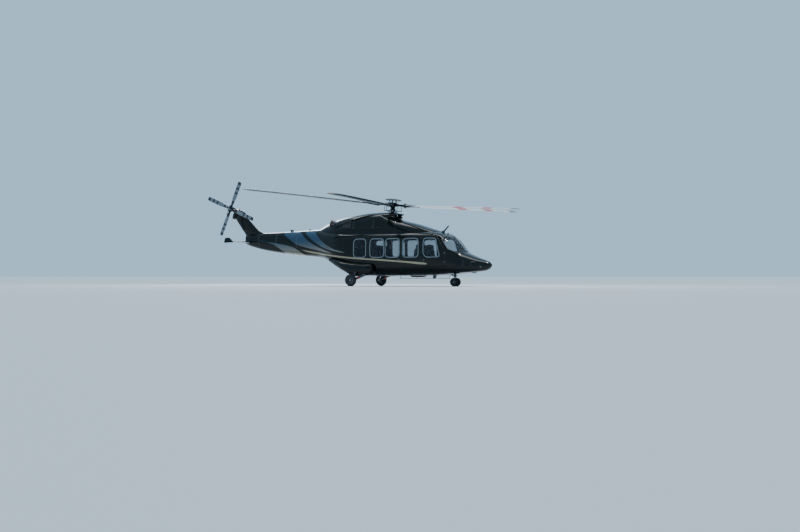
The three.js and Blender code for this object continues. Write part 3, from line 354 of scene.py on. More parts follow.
NOSE_SPLIT = 3.62
CABIN_REAR = -2.2
BOOM_SPLIT = -3.7
HULL_FRONT = HULL[0][0]
HULL_REAR = HULL[-1][0]
WALL = 0.05
FAR = 3.0
DOME = ((0.3, 0.024), (0.58, 0.019), (0.8, 0.012), (0.94, 0.005))
REAR_DOME_LONGER = 2.5
hull_rings = [hull_ring(row_at(HULL, x)) for x in np.linspace(HULL_FRONT, HULL_REAR, 209)]
front_dome = [domed(hull_rings[0], (0, HULL[0][4]), ahead, shrink) for shrink, ahead in DOME]
rear_dome = [domed(hull_rings[-1], (0, HULL[-1][4]), -REAR_DOME_LONGER * ahead, shrink)
             for shrink, ahead in reversed(DOME)]
hull_body = loft("hull_body", front_dome + hull_rings + rear_dome)
print("hull body has", len(hull_body.data.polygons), "faces")

# %% [markdown]
# ## Paint and livery
# The skin is sprayed with a dark green-black polyurethane and polished, so it mirrors the sky on a slightly wavy
# surface. Three silver swooshes and a cream line are masked onto it. Each edge of a swoosh is a curve in side view,
# and a float curve in the material holds it, so the edge stays sharp at any distance and needs no extra mesh.

# %% Curves of the livery in side view
LIVERY_X = (-7.5, 2.5)
LIVERY_Z = (0.4, 2.4)
FRONT_SWOOSH = {
    "lower": [(-7.5, 2.4), (-4.62, 2.4), (-4.36, 2.036), (-4.03, 1.755), (-3.56, 1.463), (-2.96, 1.232),
              (-2.36, 1.105), (-1.86, 1.05), (2.5, 1.05)],
    "upper": [(-7.5, 2.4), (-3.98, 2.4), (-3.79, 2.046), (-3.55, 1.804), (-3.08, 1.477), (-2.57, 1.248),
              (-2.09, 1.118), (-1.76, 1.05), (2.5, 1.04)],
}
REAR_SWOOSH = {
    "lower": [(-7.5, 2.4), (-5.86, 2.4), (-5.55, 1.992), (-5.15, 1.704), (-4.7, 1.446), (-4.26, 1.326),
              (-3.61, 1.185), (-2.45, 1.01), (2.5, 0.9)],
    "upper": [(-7.5, 2.4), (-4.84, 2.4), (-4.57, 2.006), (-4.36, 1.83), (-4.03, 1.584), (-3.57, 1.351),
              (-2.97, 1.15), (-2.44, 1.012), (2.5, 0.88)],
}
BOOM_SWOOSH = {
    "lower": [(-7.5, 1.66), (-6.85, 1.652), (-6.21, 1.519), (-5.9, 1.389), (-5.63, 1.204), (-5.46, 1.041),
              (-5.3, 0.4), (2.5, 0.4)],
    "upper": [(-7.5, 1.66), (-6.85, 1.668), (-6.2, 1.585), (-5.69, 1.501), (-5.05, 1.367), (-4.64, 1.158),
              (-4.38, 0.919), (-4.2, 0.4), (2.5, 0.4)],
}
LINE = {
    "lower": [(-7.5, 1.3), (-4.62, 1.225), (-4.12, 1.085), (-3.27, 0.965), (-2.12, 0.83), (-1.09, 0.742),
              (-0.09, 0.68), (1.16, 0.587), (2.1, 0.507), (2.15, 0.515), (2.17, 0.545), (2.5, 0.6)],
    "upper": [(-7.5, 1.3), (-4.62, 1.228), (-4.12, 1.163), (-3.27, 1.047), (-2.12, 0.91), (-1.09, 0.82),
              (-0.09, 0.76), (1.16, 0.667), (2.1, 0.587), (2.15, 0.573), (2.17, 0.545), (2.5, 0.4)],
}


def side_curve(points):
    """Side-view (x, z) points as the 0 to 1 points that a float curve holds."""
    return [((x - LIVERY_X[0]) / (LIVERY_X[1] - LIVERY_X[0]), (z - LIVERY_Z[0]) / (LIVERY_Z[1] - LIVERY_Z[0]))
            for x, z in points]


def painted_band(tree, along, height, edges, blur=0.003):
    """1 between the two edges of a band. It starts just inside them, so where they meet there is no band."""
    lower = add_node(tree, "ShaderNodeFloatCurve", {"Value": along}, curve=side_curve(edges["lower"]))
    upper = add_node(tree, "ShaderNodeFloatCurve", {"Value": along}, curve=side_curve(edges["upper"]))
    above = add_node(tree, "ShaderNodeMath", {0: height, 1: lower}, operation="SUBTRACT")
    below = add_node(tree, "ShaderNodeMath", {0: upper, 1: height}, operation="SUBTRACT")
    nearest = add_node(tree, "ShaderNodeMath", {0: above, 1: below}, operation="MINIMUM")
    return add_node(tree, "ShaderNodeMapRange", {"Value": nearest, "From Min": 0.3 * blur,
                                                  "From Max": 1.3 * blur})


print("bands on each side", len((FRONT_SWOOSH, REAR_SWOOSH, BOOM_SWOOSH, LINE)))

# %% [markdown]
# ## The paint
# The paint could be a picture wrapped round the hull, but that would blur near by. Here the bands are masks worked
# out from the place in side view, and they mix colour, flake and metal over the dark coat. Two bumps give it the
# slow wave of a thin skin and the orange peel of spray.

# %% Polished dark paint with its livery
# Two-pack polyurethane, sprayed and polished. It is almost black, so what the eye sees is the mirrored sky: bent by
# waves 30 cm long, broken by an orange peel of 9 mm (drawn coarser than the real 3 mm so that it shows), dustier in
# patches 60 cm wide and near the ground. The silver bands carry a flake of 1 mm and are partly metallic.
hull_paint, tree, shader, point = new_material("polished_polyurethane_paint", "#080e0c", 0.16, ior=1.25,
                                               Coat_Weight=0.2, Coat_Roughness=0.03)
axes = add_node(tree, "ShaderNodeSeparateXYZ", {"Vector": point}).node.outputs
along = add_node(tree, "ShaderNodeMapRange", {"Value": axes["X"], "From Min": LIVERY_X[0], "From Max": LIVERY_X[1]})
height = add_node(tree, "ShaderNodeMapRange", {"Value": axes["Z"], "From Min": LIVERY_Z[0], "From Max": LIVERY_Z[1]})
silver = None
for edges in (FRONT_SWOOSH, REAR_SWOOSH, BOOM_SWOOSH):
    mask = painted_band(tree, along, height, edges)
    silver = mask if silver is None else add_node(tree, "ShaderNodeMath", {0: silver, 1: mask}, operation="MAXIMUM")
cream = painted_band(tree, along, height, LINE)
cloudy = add_node(tree, "ShaderNodeTexNoise", {"Vector": point, "Scale": 1.6, "Detail": 4.0})
base = add_node(tree, "ShaderNodeValToRGB", {"Fac": cloudy}, stops=[(0.35, "#070d0b"), (0.7, "#0b1210")])
# The silver runs from warm tan low down to blue high up. This is a painted reflection of the ground and the sky over
# the silver paint.
silver_painted_reflection = add_node(tree, "ShaderNodeValToRGB", {"Fac": height},
                     stops=[(0.25, "#968b74"), (0.42, "#626664"), (0.62, "#374c5c"), (0.9, "#3b5367")])
with_silver = add_node(tree, "ShaderNodeMix", {"Factor": silver, "A": base, "B": silver_painted_reflection}, data_type="RGBA")
with_line = add_node(tree, "ShaderNodeMix", {"Factor": cream, "A": with_silver, "B": "#a2977a"}, data_type="RGBA")
flake = add_node(tree, "ShaderNodeTexNoise", {"Vector": point, "Scale": 900.0, "Detail": 1.0})
flake_depth = add_node(tree, "ShaderNodeMath", {0: flake, 1: silver}, operation="MULTIPLY")
dusty = add_node(tree, "ShaderNodeMapRange", {"Value": cloudy, "From Min": 0.35, "From Max": 0.7, "To Min": 0.13,
                                              "To Max": 0.24})
low_dust = add_node(tree, "ShaderNodeMapRange", {"Value": axes["Z"], "From Min": 0.1, "From Max": 0.9,
                                                 "To Min": 0.06, "To Max": 0.0})
gloss = add_node(tree, "ShaderNodeMath", {0: dusty, 1: low_dust}, operation="ADD")
ripple = add_node(tree, "ShaderNodeTexNoise", {"Vector": point, "Scale": 3.2, "Detail": 1.0})
wave = add_node(tree, "ShaderNodeBump", {"Height": ripple, "Distance": 0.012, "Strength": 0.35})
peel = add_node(tree, "ShaderNodeBump", {"Height": add_node(tree, "ShaderNodeTexNoise", {"Vector": point,
                                                                                        "Scale": 110.0}),
                                         "Distance": 0.0004, "Strength": 0.3, "Normal": wave})
glitter = add_node(tree, "ShaderNodeBump", {"Height": flake_depth, "Distance": 0.0006, "Strength": 0.2,
                                            "Normal": peel})
finish(tree, shader, Base_Color=with_line, Roughness=gloss, Normal=glitter, Coat_Normal=peel,
       Metallic=add_node(tree, "ShaderNodeMath", {0: silver, 1: 0.55}, operation="MULTIPLY"))
print("hull paint has", len(tree.nodes), "nodes")

# %% [markdown]
# ## The lining
# Inside, the cabin is lined with moulded panels. They show only as pale edges behind the tinted glass, so a plain
# matt finish with a little wear is enough.

# %% Cabin lining
# Moulded glass fibre, painted matt. A fine orange peel of 4 mm breaks its shine, and it is greyer where hands touch
# it.
lining = surface("moulded_cabin_lining", "#8d8c88", 0.6, patches=dict(Scale=3.5, Detail=5.0),
                 tones=[(0.35, "#86847e"), (0.7, "#9a9993")], gloss=(0.5, 0.75),
                 relief=dict(Scale=260.0, Detail=2.0), depth=0.0005, strength=0.35)
print("lining made, materials so far:", len(bpy.data.materials))

# %% [markdown]
# ## Hull
# The real hull is riveted and bonded skin over frames, closed into one smooth shape. It is cut here from one lofted
# body, so that nose, cabin, doors and boom meet without a step, and each cut is an opening that the CAD has too.

# %% [markdown]
# ## Cuts
# Doors and windows could be modelled edge by edge. It is surer to cut closed bodies with each other, because the
# gap between two pieces is then a number and not a guess.

# %% Cutting one body with another
def bake(made):
    """Turns an object's modifiers into plain mesh."""
    graph = bpy.context.evaluated_depsgraph_get()
    old = made.data
    made.data = bpy.data.meshes.new_from_object(made.evaluated_get(graph))
    made.modifiers.clear()
    made.data.name = made.name
    bpy.data.meshes.remove(old)
    return made


def drop(*objects):
    """Removes helper objects."""
    for helper in objects:
        bpy.data.objects.remove(helper)


def combine(target, other, operation, keep=False):
    """Cuts (DIFFERENCE), joins (UNION) or intersects (INTERSECT) a closed body with another."""
    step = target.modifiers.new("combine", "BOOLEAN")
    step.operation = operation
    step.solver = "MANIFOLD"
    step.object = other
    bake(target)
    if not keep:
        drop(other)
    return target


def copy_of(made, name):
    """A separate copy of a helper object."""
    twin = made.copy()
    twin.data = made.data.copy()
    twin.name = name
    bpy.context.scene.collection.objects.link(twin)
    return twin


def block(name, x0, x1, y0, y1, z0, z1, material=None):
    """A rectangular body between two corners."""
    ring = [(x0, y0), (x1, y0), (x1, y1), (x0, y1)]
    return loft(name, [[(x, y, z) for x, y in ring] for z in (z0, z1)], material)


print("bodies can be cut, joined and copied")

# %% [markdown]
# ## Outlines
# A door or a window is an outline on a drawing. Its corners are rounded, and the gap round a door is the same
# outline moved inwards. Carried across the hull, an outline becomes a cutter, so an opening and its door match
# everywhere.

# %% Rounded outlines carried across
def rounded(points, radius, steps=8):
    """Rounds an outline's corners with short curves."""
    made = []
    for i, corner in enumerate(points):
        corner = Vector(corner)
        arms = []
        for other in (points[i - 1], points[(i + 1) % len(points)]):
            arm = Vector(other) - corner
            arms.append(corner + arm * (min(radius, 0.45 * arm.length) / arm.length))
        for k in range(steps + 1):
            t = k / steps
            made.append(arms[0] * (1 - t) ** 2 + corner * (2 * t * (1 - t)) + arms[1] * t ** 2)
    return [(p.x, p.y) for p in made]


def offset(points, distance):
    """Moves an anticlockwise outline outwards by a distance."""
    made = []
    for i, p in enumerate(points):
        before, after = Vector(points[i - 1]), Vector(points[(i + 1) % len(points)])
        first, second = (Vector(p) - before).normalized(), (after - Vector(p)).normalized()
        n1, n2 = Vector((first.y, -first.x)), Vector((second.y, -second.x))
        move = (n1 + n2) * (distance / (1 + n1.dot(n2)))
        made.append((p[0] + move.x, p[1] + move.y))
    return made


def across(name, outline, y0, y1):
    """A body made by carrying a side-view outline (x, z) from y0 to y1."""
    return loft(name, [[(x, y, z) for x, z in outline] for y in (y0, y1)])


def upward(name, outline, z0, z1):
    """A body made by carrying a plan outline (x, y) from z0 to z1."""
    return loft(name, [[(x, y, z) for x, y in outline] for z in (z0, z1)])


print("a rounded square has", len(rounded([(0, 0), (1, 0), (1, 1), (0, 1)], 0.1)), "points")

# %% Side-view outlines of doors and windows
def rect(x0, x1, z0, z1):
    """A side-view rectangle, anticlockwise."""
    return [(x0, z0), (x1, z0), (x1, z1), (x0, z1)]


WINDOW_RADIUS = 0.17
WINDOWS = {
    "rear_window": rect(-1.4, -0.82, 0.85, 1.64),
    "door_window_rear": rect(-0.58, 0.07, 0.85, 1.64),
    "door_window_front": rect(0.18, 0.84, 0.85, 1.64),
    "front_window": rect(1.03, 1.75, 0.85, 1.64),
}
CABIN_DOOR = rect(-0.7, 0.95, 0.28, 1.815)
CABIN_DOOR_RADIUS = 0.14
COCKPIT_DOOR = [(1.885, 0.31), (2.78, 0.31), (2.975, 0.48), (2.975, 1.16), (2.55, 1.8), (1.885, 1.8)]
COCKPIT_DOOR_RADIUS = 0.11
COCKPIT_WINDOW = [(2.015, 0.99), (2.14, 0.845), (2.755, 0.86), (2.54, 1.645), (2.02, 1.645)]
COCKPIT_WINDOW_RADIUS = 0.12
WINDSHIELD_SIDE = [(2.65, 1.835), (3.085, 1.195), (3.5, 0.99), (3.62, 1.06), (3.62, 1.95), (2.65, 1.95)]
WINDSHIELD_POST = 0.028
PANEL_GAP = 0.005
PANE_GAP = 0.0005
DOOR_GAP = 0.008
LIP = 0.03
REBATE = 0.02
SIDES = (("left", 1), ("right", -1))


print("side windows", sorted(WINDOWS))

# %% Cutters and layers of the wall
def side_cut(name, outline, side, near=0.3):
    """A side-view outline carried outwards from near the middle, on one side."""
    return across(name, outline, *sorted((side * near, side * FAR)))


def windshield_cut(name, side, inset):
    """The body that bounds a windshield pane: the side view meets the plan view."""
    view = side_cut(name, offset(WINDSHIELD_SIDE, -inset), side, 0.0)
    plan = [(2.925 + inset, side * (WINDSHIELD_POST + inset)), (3.575 - inset, side * (WINDSHIELD_POST + inset)),
            (3.52 - inset, side * 0.86), (3.07 - inset, side * 1.1), (2.64 + inset, side * 1.1),
            (2.64 + inset, side * 0.9), (2.79 + inset, side * 0.5)]
    return combine(view, upward("plan", plan, 0.0, FAR), "INTERSECT")


def shell_layer(name, outer, inner):
    """The hull's wall between two depths under its skin, along the cabin."""
    body = skin(name, HULL, 3.9, CABIN_REAR, outer)
    return combine(body, skin("inner", HULL, 3.901, CABIN_REAR - 0.001, inner), "DIFFERENCE")


def lined(made, depth=0.012):
    """Gives the faces that lie deeper than the skin the cabin's lining."""
    painted(made, hull_paint, lining)
    points = [v.co for v in hull_body.data.vertices]
    tree = BVHTree.FromPolygons(points, [tuple(p.vertices) for p in hull_body.data.polygons])
    for polygon in made.data.polygons:
        spot, normal, _, distance = tree.find_nearest(polygon.center)
        polygon.material_index = 1 if distance > depth and normal.dot(spot - polygon.center) > 0 else 0
    return made


print("the wall is", round(WALL * 1000), "mm thick")

# %% [markdown]
# ## A skin that stays smooth
# Cuts leave long thin faces that would spoil the gloss. A finer mesh would cost too many faces, so the skin takes
# the normals of the body it was before it was cut. Each finished piece hangs on the moving body it rides on, and the
# node of the CAD that it stands for is hidden.

# %% Paint and place
def painted(made, *materials):
    """Gives a mesh its materials; every face takes the first."""
    made.data.materials.clear()
    for material in materials:
        made.data.materials.append(material)
    for polygon in made.data.polygons:
        polygon.material_index = 0
    return made


def fitted(piece, body="root", node=None):
    """Hangs a piece on the body it rides on, and hides the node of the CAD that it stands for."""
    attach(piece, body)
    if node:
        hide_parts(node)
    return piece


print("pieces are painted and fitted to the frame")

# %% Smooth normals after a cut
def sharpened(made, degrees=38):
    """Keeps edges sharper than an angle crisp, and shades the rest smooth."""
    made.data.shade_smooth()
    made.data.set_sharp_from_angle(angle=math.radians(degrees))
    return made


def skin_normals(made, references, reach=0.003, degrees=38):
    """Gives faces that lie on a smooth body that body's own normals, so that cuts don't show in the gloss."""
    sharpened(made, degrees)
    mesh = made.data
    normals = [Vector(c.vector) for c in mesh.corner_normals]
    for reference in references:
        source = reference.data
        source.calc_loop_triangles()
        triangles = [tuple(t.vertices) for t in source.loop_triangles]
        points = [v.co for v in source.vertices]
        vertex_normals = [Vector(v.normal) for v in source.vertices]
        tree = BVHTree.FromPolygons(points, triangles)
        for polygon in mesh.polygons:
            spot, normal, index, distance = tree.find_nearest(polygon.center)
            if spot is None or distance > reach or normal.dot(polygon.normal) < 0.8:
                continue
            for corner in polygon.loop_indices:
                point = mesh.vertices[mesh.loops[corner].vertex_index].co
                spot, normal, index, distance = tree.find_nearest(point)
                a, b, c = triangles[index]
                smooth = barycentric_transform(spot, points[a], points[b], points[c],
                                               vertex_normals[a], vertex_normals[b], vertex_normals[c])
                share = min(1.0, max(0.0, (reach - distance) / (0.5 * reach)))
                if smooth.length > 0.1 and smooth.normalized().dot(polygon.normal) > 0.6:
                    normals[corner] = normals[corner].lerp(smooth.normalized(), share).normalized()
    mesh.normals_split_custom_set([tuple(n) for n in normals])
    return made


print("edges under 38 degrees are shaded smooth")

# %% [markdown]
# ## Cabin shell
# The real cabin is a frame of ribs with skin outside and moulded lining inside. Only the two surfaces show, so it
# is the hull body with the air taken out, and each door and window is an opening. The cabin doors lie in a shallow
# rebate.

# %% Cabin shell
NOSE_BAY = (2.64, 3.33, 0.215, 0.205)
FLOOR = 0.25
SEAT_GAP = 0.0003

air = skin("air", HULL, 3.45, CABIN_REAR + WALL, WALL)
combine(air, block("under_floor", CABIN_REAR, NOSE_SPLIT, -FAR, FAR, -FAR, FLOOR), "DIFFERENCE")
cabin_shell = copy_of(hull_body, "cabin_shell_skin")
combine(cabin_shell, block("cabin_range", CABIN_REAR, NOSE_SPLIT - SEAT_GAP, -FAR, FAR, -FAR, FAR), "INTERSECT")
combine(cabin_shell, air, "DIFFERENCE")
x0, x1, y, z = NOSE_BAY
combine(cabin_shell, block("nose_bay", x0, x1, -y, y, -FAR, z), "DIFFERENCE")
for _, side in SIDES:
    for window in ("rear_window", "front_window"):
        combine(cabin_shell, side_cut("cut", rounded(WINDOWS[window], WINDOW_RADIUS), side), "DIFFERENCE")
    combine(cabin_shell, side_cut("cut", rounded(COCKPIT_DOOR, COCKPIT_DOOR_RADIUS), side, 0.6), "DIFFERENCE")
    opening = rounded(offset(CABIN_DOOR, -LIP), CABIN_DOOR_RADIUS - LIP)
    combine(cabin_shell, side_cut("cut", opening, side, 0.6), "DIFFERENCE")
    rebate = shell_layer("rebate", -0.005, REBATE + SEAT_GAP)
    combine(rebate, side_cut("cut", rounded(CABIN_DOOR, CABIN_DOOR_RADIUS), side, 0.6), "INTERSECT")
    combine(cabin_shell, rebate, "DIFFERENCE")
    combine(cabin_shell, windshield_cut("cut", side, 0.0), "DIFFERENCE")
lined(cabin_shell)
skin_normals(cabin_shell, [hull_body])
fitted(cabin_shell, "root", "cabin_shell")
print("cabin shell", len(cabin_shell.data.polygons), "faces")

# %% [markdown]
# ## The glass
# Helicopter windows are stretched acrylic, a few millimetres thick and tinted against the sun. Full refraction in
# thin curved panes is slow and noisy. A sharp mirror coat over a mostly clear colour looks the same from outside.

# %% Tinted glass
# Stretched acrylic, tinted and polished. It mirrors sharply and lets its own blue-grey show thinly over the cabin.
# Wiping leaves duller smears about 20 cm wide.
tinted_glass, tree, shader, point = new_material("tinted_acrylic", "#101c28", 0.03, ior=1.62, Alpha=0.24)
wiped = add_node(tree, "ShaderNodeTexNoise", {"Vector": point, "Scale": 5.0, "Detail": 6.0})
finish(tree, shader, Roughness=add_node(tree, "ShaderNodeMapRange", {"Value": wiped, "From Min": 0.4,
                                                                     "To Min": 0.02, "To Max": 0.09}))
print("glass made, materials so far:", len(bpy.data.materials))

# %% [markdown]
# ## Doors and window panes
# Real panes are bent to the hull and doors are pressed to it. So a pane or a door is a layer of the hull's own
# wall, kept only inside its outline. That makes it follow the curve exactly and leaves an even gap all round.

# %% Doors and window panes
glass_layer = shell_layer("glass_layer", 0.004, 0.012)
outer_layer = shell_layer("outer_layer", 0.0, REBATE)
wall_layer = shell_layer("wall_layer", 0.0, WALL)


def kept_inside(layer, name, outline, radius, side, grow=0.0, near=0.3):
    """A copy of a layer, kept inside a grown and rounded outline on one side."""
    cutter = side_cut("cut", rounded(offset(outline, grow), radius), side, near)
    return combine(copy_of(layer, name), cutter, "INTERSECT")


def glazed(pane, body, node):
    """Gives a pane its glass and its place."""
    return fitted(skin_normals(painted(pane, tinted_glass), []), body, node)


for name, side in SIDES:
    for window, outline in WINDOWS.items():
        pane = kept_inside(glass_layer, f"{window}_{name}_pane", outline, WINDOW_RADIUS, side, -PANE_GAP)
        glazed(pane, "root", f"{window}_{name}")
    door = kept_inside(outer_layer, f"cabin_door_{name}_panel", CABIN_DOOR, CABIN_DOOR_RADIUS, side, -PANEL_GAP)
    back = kept_inside(wall_layer, "back", CABIN_DOOR, CABIN_DOOR_RADIUS - LIP, side, -LIP - PANEL_GAP)
    combine(door, back, "UNION")
    for window in ("door_window_rear", "door_window_front"):
        combine(door, side_cut("cut", rounded(WINDOWS[window], WINDOW_RADIUS), side), "DIFFERENCE")
    fitted(skin_normals(lined(door), [hull_body]), "root", f"cabin_door_{name}")

    swinging = f"cockpit_door_{name}"
    door = kept_inside(wall_layer, f"{swinging}_panel", COCKPIT_DOOR, COCKPIT_DOOR_RADIUS, side, -DOOR_GAP, 0.6)
    combine(door, side_cut("cut", rounded(COCKPIT_WINDOW, COCKPIT_WINDOW_RADIUS), side), "DIFFERENCE")
    fitted(skin_normals(lined(door), [hull_body]), swinging, swinging)
    pane = kept_inside(glass_layer, f"cockpit_door_window_{name}_pane", COCKPIT_WINDOW, COCKPIT_WINDOW_RADIUS, side,
                       -PANE_GAP)
    glazed(pane, swinging, f"cockpit_door_window_{name}")
    pane = copy_of(glass_layer, f"windshield_{name}_pane")
    glazed(combine(pane, windshield_cut("cut", side, PANE_GAP), "INTERSECT"), "root", f"windshield_{name}")
drop(glass_layer, outer_layer, wall_layer)
print("doors and panes done")

# %% [markdown]
# ## Nose, rear fuselage and boom
# These three pieces are plain slices of the hull body. Their tips are domes on the real machine, so the lofted body
# has a few shrinking rings added at both ends instead of a flat lid.

# %% Finishing a skin piece
def dressed(piece, node, body="root", references=(), material=None, reach=0.003):
    """Finishes a skin piece: its material, smooth normals, the body it rides on and the node it stands for."""
    if material:
        painted(piece, material)
    return fitted(skin_normals(piece, references, reach), body, node)


print("skin pieces get paint, normals and a place")

# %% Slices of the hull
def hull_piece(name, front, rear):
    """The part of the hull body between two stations."""
    piece = copy_of(hull_body, name)
    return combine(piece, block("range", rear, front, -FAR, FAR, -FAR, FAR), "INTERSECT")


def frame_line(x, wide=0.003):
    """A thin slab across the hull, for a joint between two skin sheets."""
    return block("line", x, x + wide, -FAR, FAR, -FAR, FAR)


def hatch_line(outline, radius, side, wide=0.003):
    """The outline of a hatch, as wide as the gap round its lid."""
    line = side_cut("line", rounded(outline, radius), side)
    return combine(line, side_cut("lid", rounded(offset(outline, -wide), radius - wide), side), "DIFFERENCE")


def scored(piece, groove, lines):
    """Cuts joint lines 3 mm wide and 1.6 mm deep into a skin; the groove body is the skin's outer 1.6 mm."""
    for line in lines:
        combine(line, groove, "INTERSECT", keep=True)
        combine(piece, line, "DIFFERENCE")
    return piece


SCORE_DEPTH = 0.0016
groove = skin("groove", HULL, HULL_FRONT - 0.02, HULL_REAR + 0.02, -0.002)
combine(groove, skin("core", HULL, HULL_FRONT - 0.019, HULL_REAR + 0.019, SCORE_DEPTH), "DIFFERENCE")
nose = hull_piece("nose_section_skin", HULL_FRONT + 1, NOSE_SPLIT)
combine(nose, block("pad", 3.84, 4.02, -0.09, 0.09, 0.14, 0.22), "UNION")
NOSE_HATCH = rect(3.75, 4.01, 0.44, 0.67)
scored(nose, groove, [frame_line(4.33), *(hatch_line(NOSE_HATCH, 0.03, side) for _, side in SIDES)])
dressed(nose, "nose_section", references=[hull_body], material=hull_paint)
rear_fuselage = hull_piece("rear_fuselage_skin", CABIN_REAR - SEAT_GAP, BOOM_SPLIT)
BAGGAGE_DOOR = [(-3.02, 1.02), (-2.42, 0.98), (-2.42, 1.66), (-3.02, 1.64)]
scored(rear_fuselage, groove, [frame_line(-3.4), *(hatch_line(BAGGAGE_DOOR, 0.07, side) for _, side in SIDES)])
dressed(rear_fuselage, "rear_fuselage", references=[hull_body], material=hull_paint)
boom = hull_piece("tail_boom_skin", BOOM_SPLIT - SEAT_GAP, HULL_REAR - 1)
scored(boom, groove, [frame_line(x) for x in (-4.75, -5.9, -6.9)])
drop(groove)
dressed(boom, "tail_boom", references=[hull_body], material=hull_paint)
print("boom has", len(boom.data.polygons), "faces")

# %% [markdown]
# ## Tail surfaces
# The fin and the stabilizer are aerofoils: blunt and round in front, thin and sharp behind. One function gives that
# section from its usual formula, with more points where the nose is round, and lofts carry it up the fin and across
# the stabilizer.

# %% Wing section
def aerofoil(chord, thick, count=18):
    """A wing section as (along, rise) pairs: along runs back from the leading edge."""
    half = []
    for k in range(count + 1):
        x = (k / count) ** 1.8
        rise = 2.969 * math.sqrt(x) * 0.5 - 0.63 * x - 1.758 * x ** 2 + 1.4215 * x ** 3 - 0.507 * x ** 4
        half.append((-x * chord, rise * thick * 1.04))
    return half + [(along, -rise) for along, rise in half[:0:-1]]


print("a wing section has", len(aerofoil(1.0, 0.12)), "points")

# %% Ovals, even stations and bars
def oval(x, y, z, wide, high, count=48):
    """An upright oval ring at station x, about (y, z)."""
    turns = [2 * math.pi * i / count for i in range(count)]
    return [(x, y + wide * math.cos(a), z + high * math.sin(a)) for a in turns]


def stations(start, end, step):
    """Even places from start to end, about a step apart."""
    count = max(1, round(abs(end - start) / step))
    return [start + (end - start) * k / count for k in range(count + 1)]


def rod(name, start, end, radius, end_radius=None, sides=24, material=None, rounding=0.0):
    """A round bar between two points, with its rims softened by a small rounding."""
    start, end = Vector(start), Vector(end)
    end_radius = radius if end_radius is None else end_radius
    along = (end - start).normalized()
    side = along.orthogonal().normalized()
    other = along.cross(side)
    rims = [(start, radius), (end, end_radius)]
    if rounding:
        rims = [(start, radius - rounding), (start + along * rounding, radius),
                (end - along * rounding, end_radius), (end, end_radius - rounding)]
    rings = []
    for centre, r in rims:
        turns = [2 * math.pi * i / sides for i in range(sides)]
        rings.append([centre + side * (r * math.cos(a)) + other * (r * math.sin(a)) for a in turns])
    made = loft(name, rings, material)
    made.data.set_sharp_from_angle(angle=math.radians(40))
    return made


print("every 0.5 m from 0 to 2:", stations(0, 2, 0.5))

# %% [markdown]
# ## The fin
# The fin carries the tail rotor. A round fairing over its tip covers the tail gearbox, and a stub runs out to the
# rotor. The three are closed bodies joined into one skin, which keeps the normals of each.

# %% Fin and tail gearbox fairing
FIN = metres([(1700, -6400, 1280, 190), (1990, -6560, 1230, 190), (2060, -6830, 1010, 182), (2150, -7030, 880, 176),
              (2350, -7250, 810, 165), (2600, -7500, 740, 155), (2800, -7720, 640, 150), (2950, -7890, 500, 150)],
             0)[::-1]
TAIL_FAIRING = metres([(-7800, 50, 2980, 50), (-7920, 115, 2970, 130), (-8120, 160, 2950, 200),
                       (-8310, 155, 2920, 215), (-8450, 90, 2850, 145), (-8510, 35, 2800, 60)], 0)
TAIL_HUB = Vector((-8.24, -0.6, 3.18))

fin_rings = []
for z in stations(1.7, 2.95, 0.03):
    _, lead, chord, thick = row_at(FIN, z)
    fin_rings.append([(lead + along, rise, z) for along, rise in aerofoil(chord, thick)])
fin = loft("tail_fin_skin", fin_rings)
fairing_rings = []
for x in stations(-7.8, -8.51, 0.025):
    _, wide, z, high = row_at(TAIL_FAIRING, x)
    fairing_rings.append(oval(x, 0, z, wide, high))
fairing = loft("fairing", fairing_rings)
housing = rod("housing", (TAIL_HUB.x, 0.0, 3.04), (TAIL_HUB.x, -0.4, 3.17), 0.125, 0.093, 48)
fin_parts = [copy_of(fin, "fin_smooth"), copy_of(fairing, "fairing_smooth"), copy_of(housing, "housing_smooth")]
combine(fin, fairing, "UNION")
combine(fin, housing, "UNION")
combine(fin, hull_body, "DIFFERENCE", keep=True)
dressed(fin, "tail_fin", references=fin_parts, material=hull_paint)
drop(*fin_parts)
print("fin has", len(fin.data.polygons), "faces")

# %% [markdown]
# ## The stabilizer
# The level wing at the tail is straight between four sections, so four rings are enough. The plates on its tips
# have a softened rim, because a sharp edge of thin sheet would catch no light.

# %% Stabilizer with its end plates
STABILIZER = [(1.75, -7.44, 0.42, 1.63, 0.04), (0.18, -7.31, 0.6, 1.59, 0.08),
              (-0.18, -7.31, 0.6, 1.59, 0.08), (-1.75, -7.44, 0.42, 1.63, 0.04)]
END_PLATE_Y = (1.738, 1.764)
PLATE_ROUNDING = 0.006
END_PLATE = [(-7.86, 1.54), (-7.33, 1.56), (-7.42, 1.64), (-7.56, 1.79), (-7.8, 1.77)]
stabilizer = loft("stabilizer_skin", [[(lead + along, y, z + rise) for along, rise in aerofoil(chord, thick)]
                                      for y, lead, chord, z, thick in STABILIZER])
dressed(stabilizer, "stabilizer", material=hull_paint)
for name, side in SIDES:
    inner, outer = (side * y for y in END_PLATE_Y)
    whole = rounded(END_PLATE, 0.05)
    less = offset(whole, -PLATE_ROUNDING)
    rim = side * PLATE_ROUNDING
    rings = [[(x, y, z) for x, z in outline] for y, outline in
             ((inner, less), (inner + rim, whole), (outer - rim, whole), (outer, less))]
    dressed(loft(f"end_plate_{name}", rings), None, material=hull_paint)
print("stabilizer has", len(stabilizer.data.polygons), "faces")

# %% [markdown]
# ## Upper deck
# The roof fairing leads up to the mast, and the engine cowling carries on behind it. Its intake is a flat duct with
# swept lips. The real panels are thin composite, so each is a shell with an inner body taken out of it.

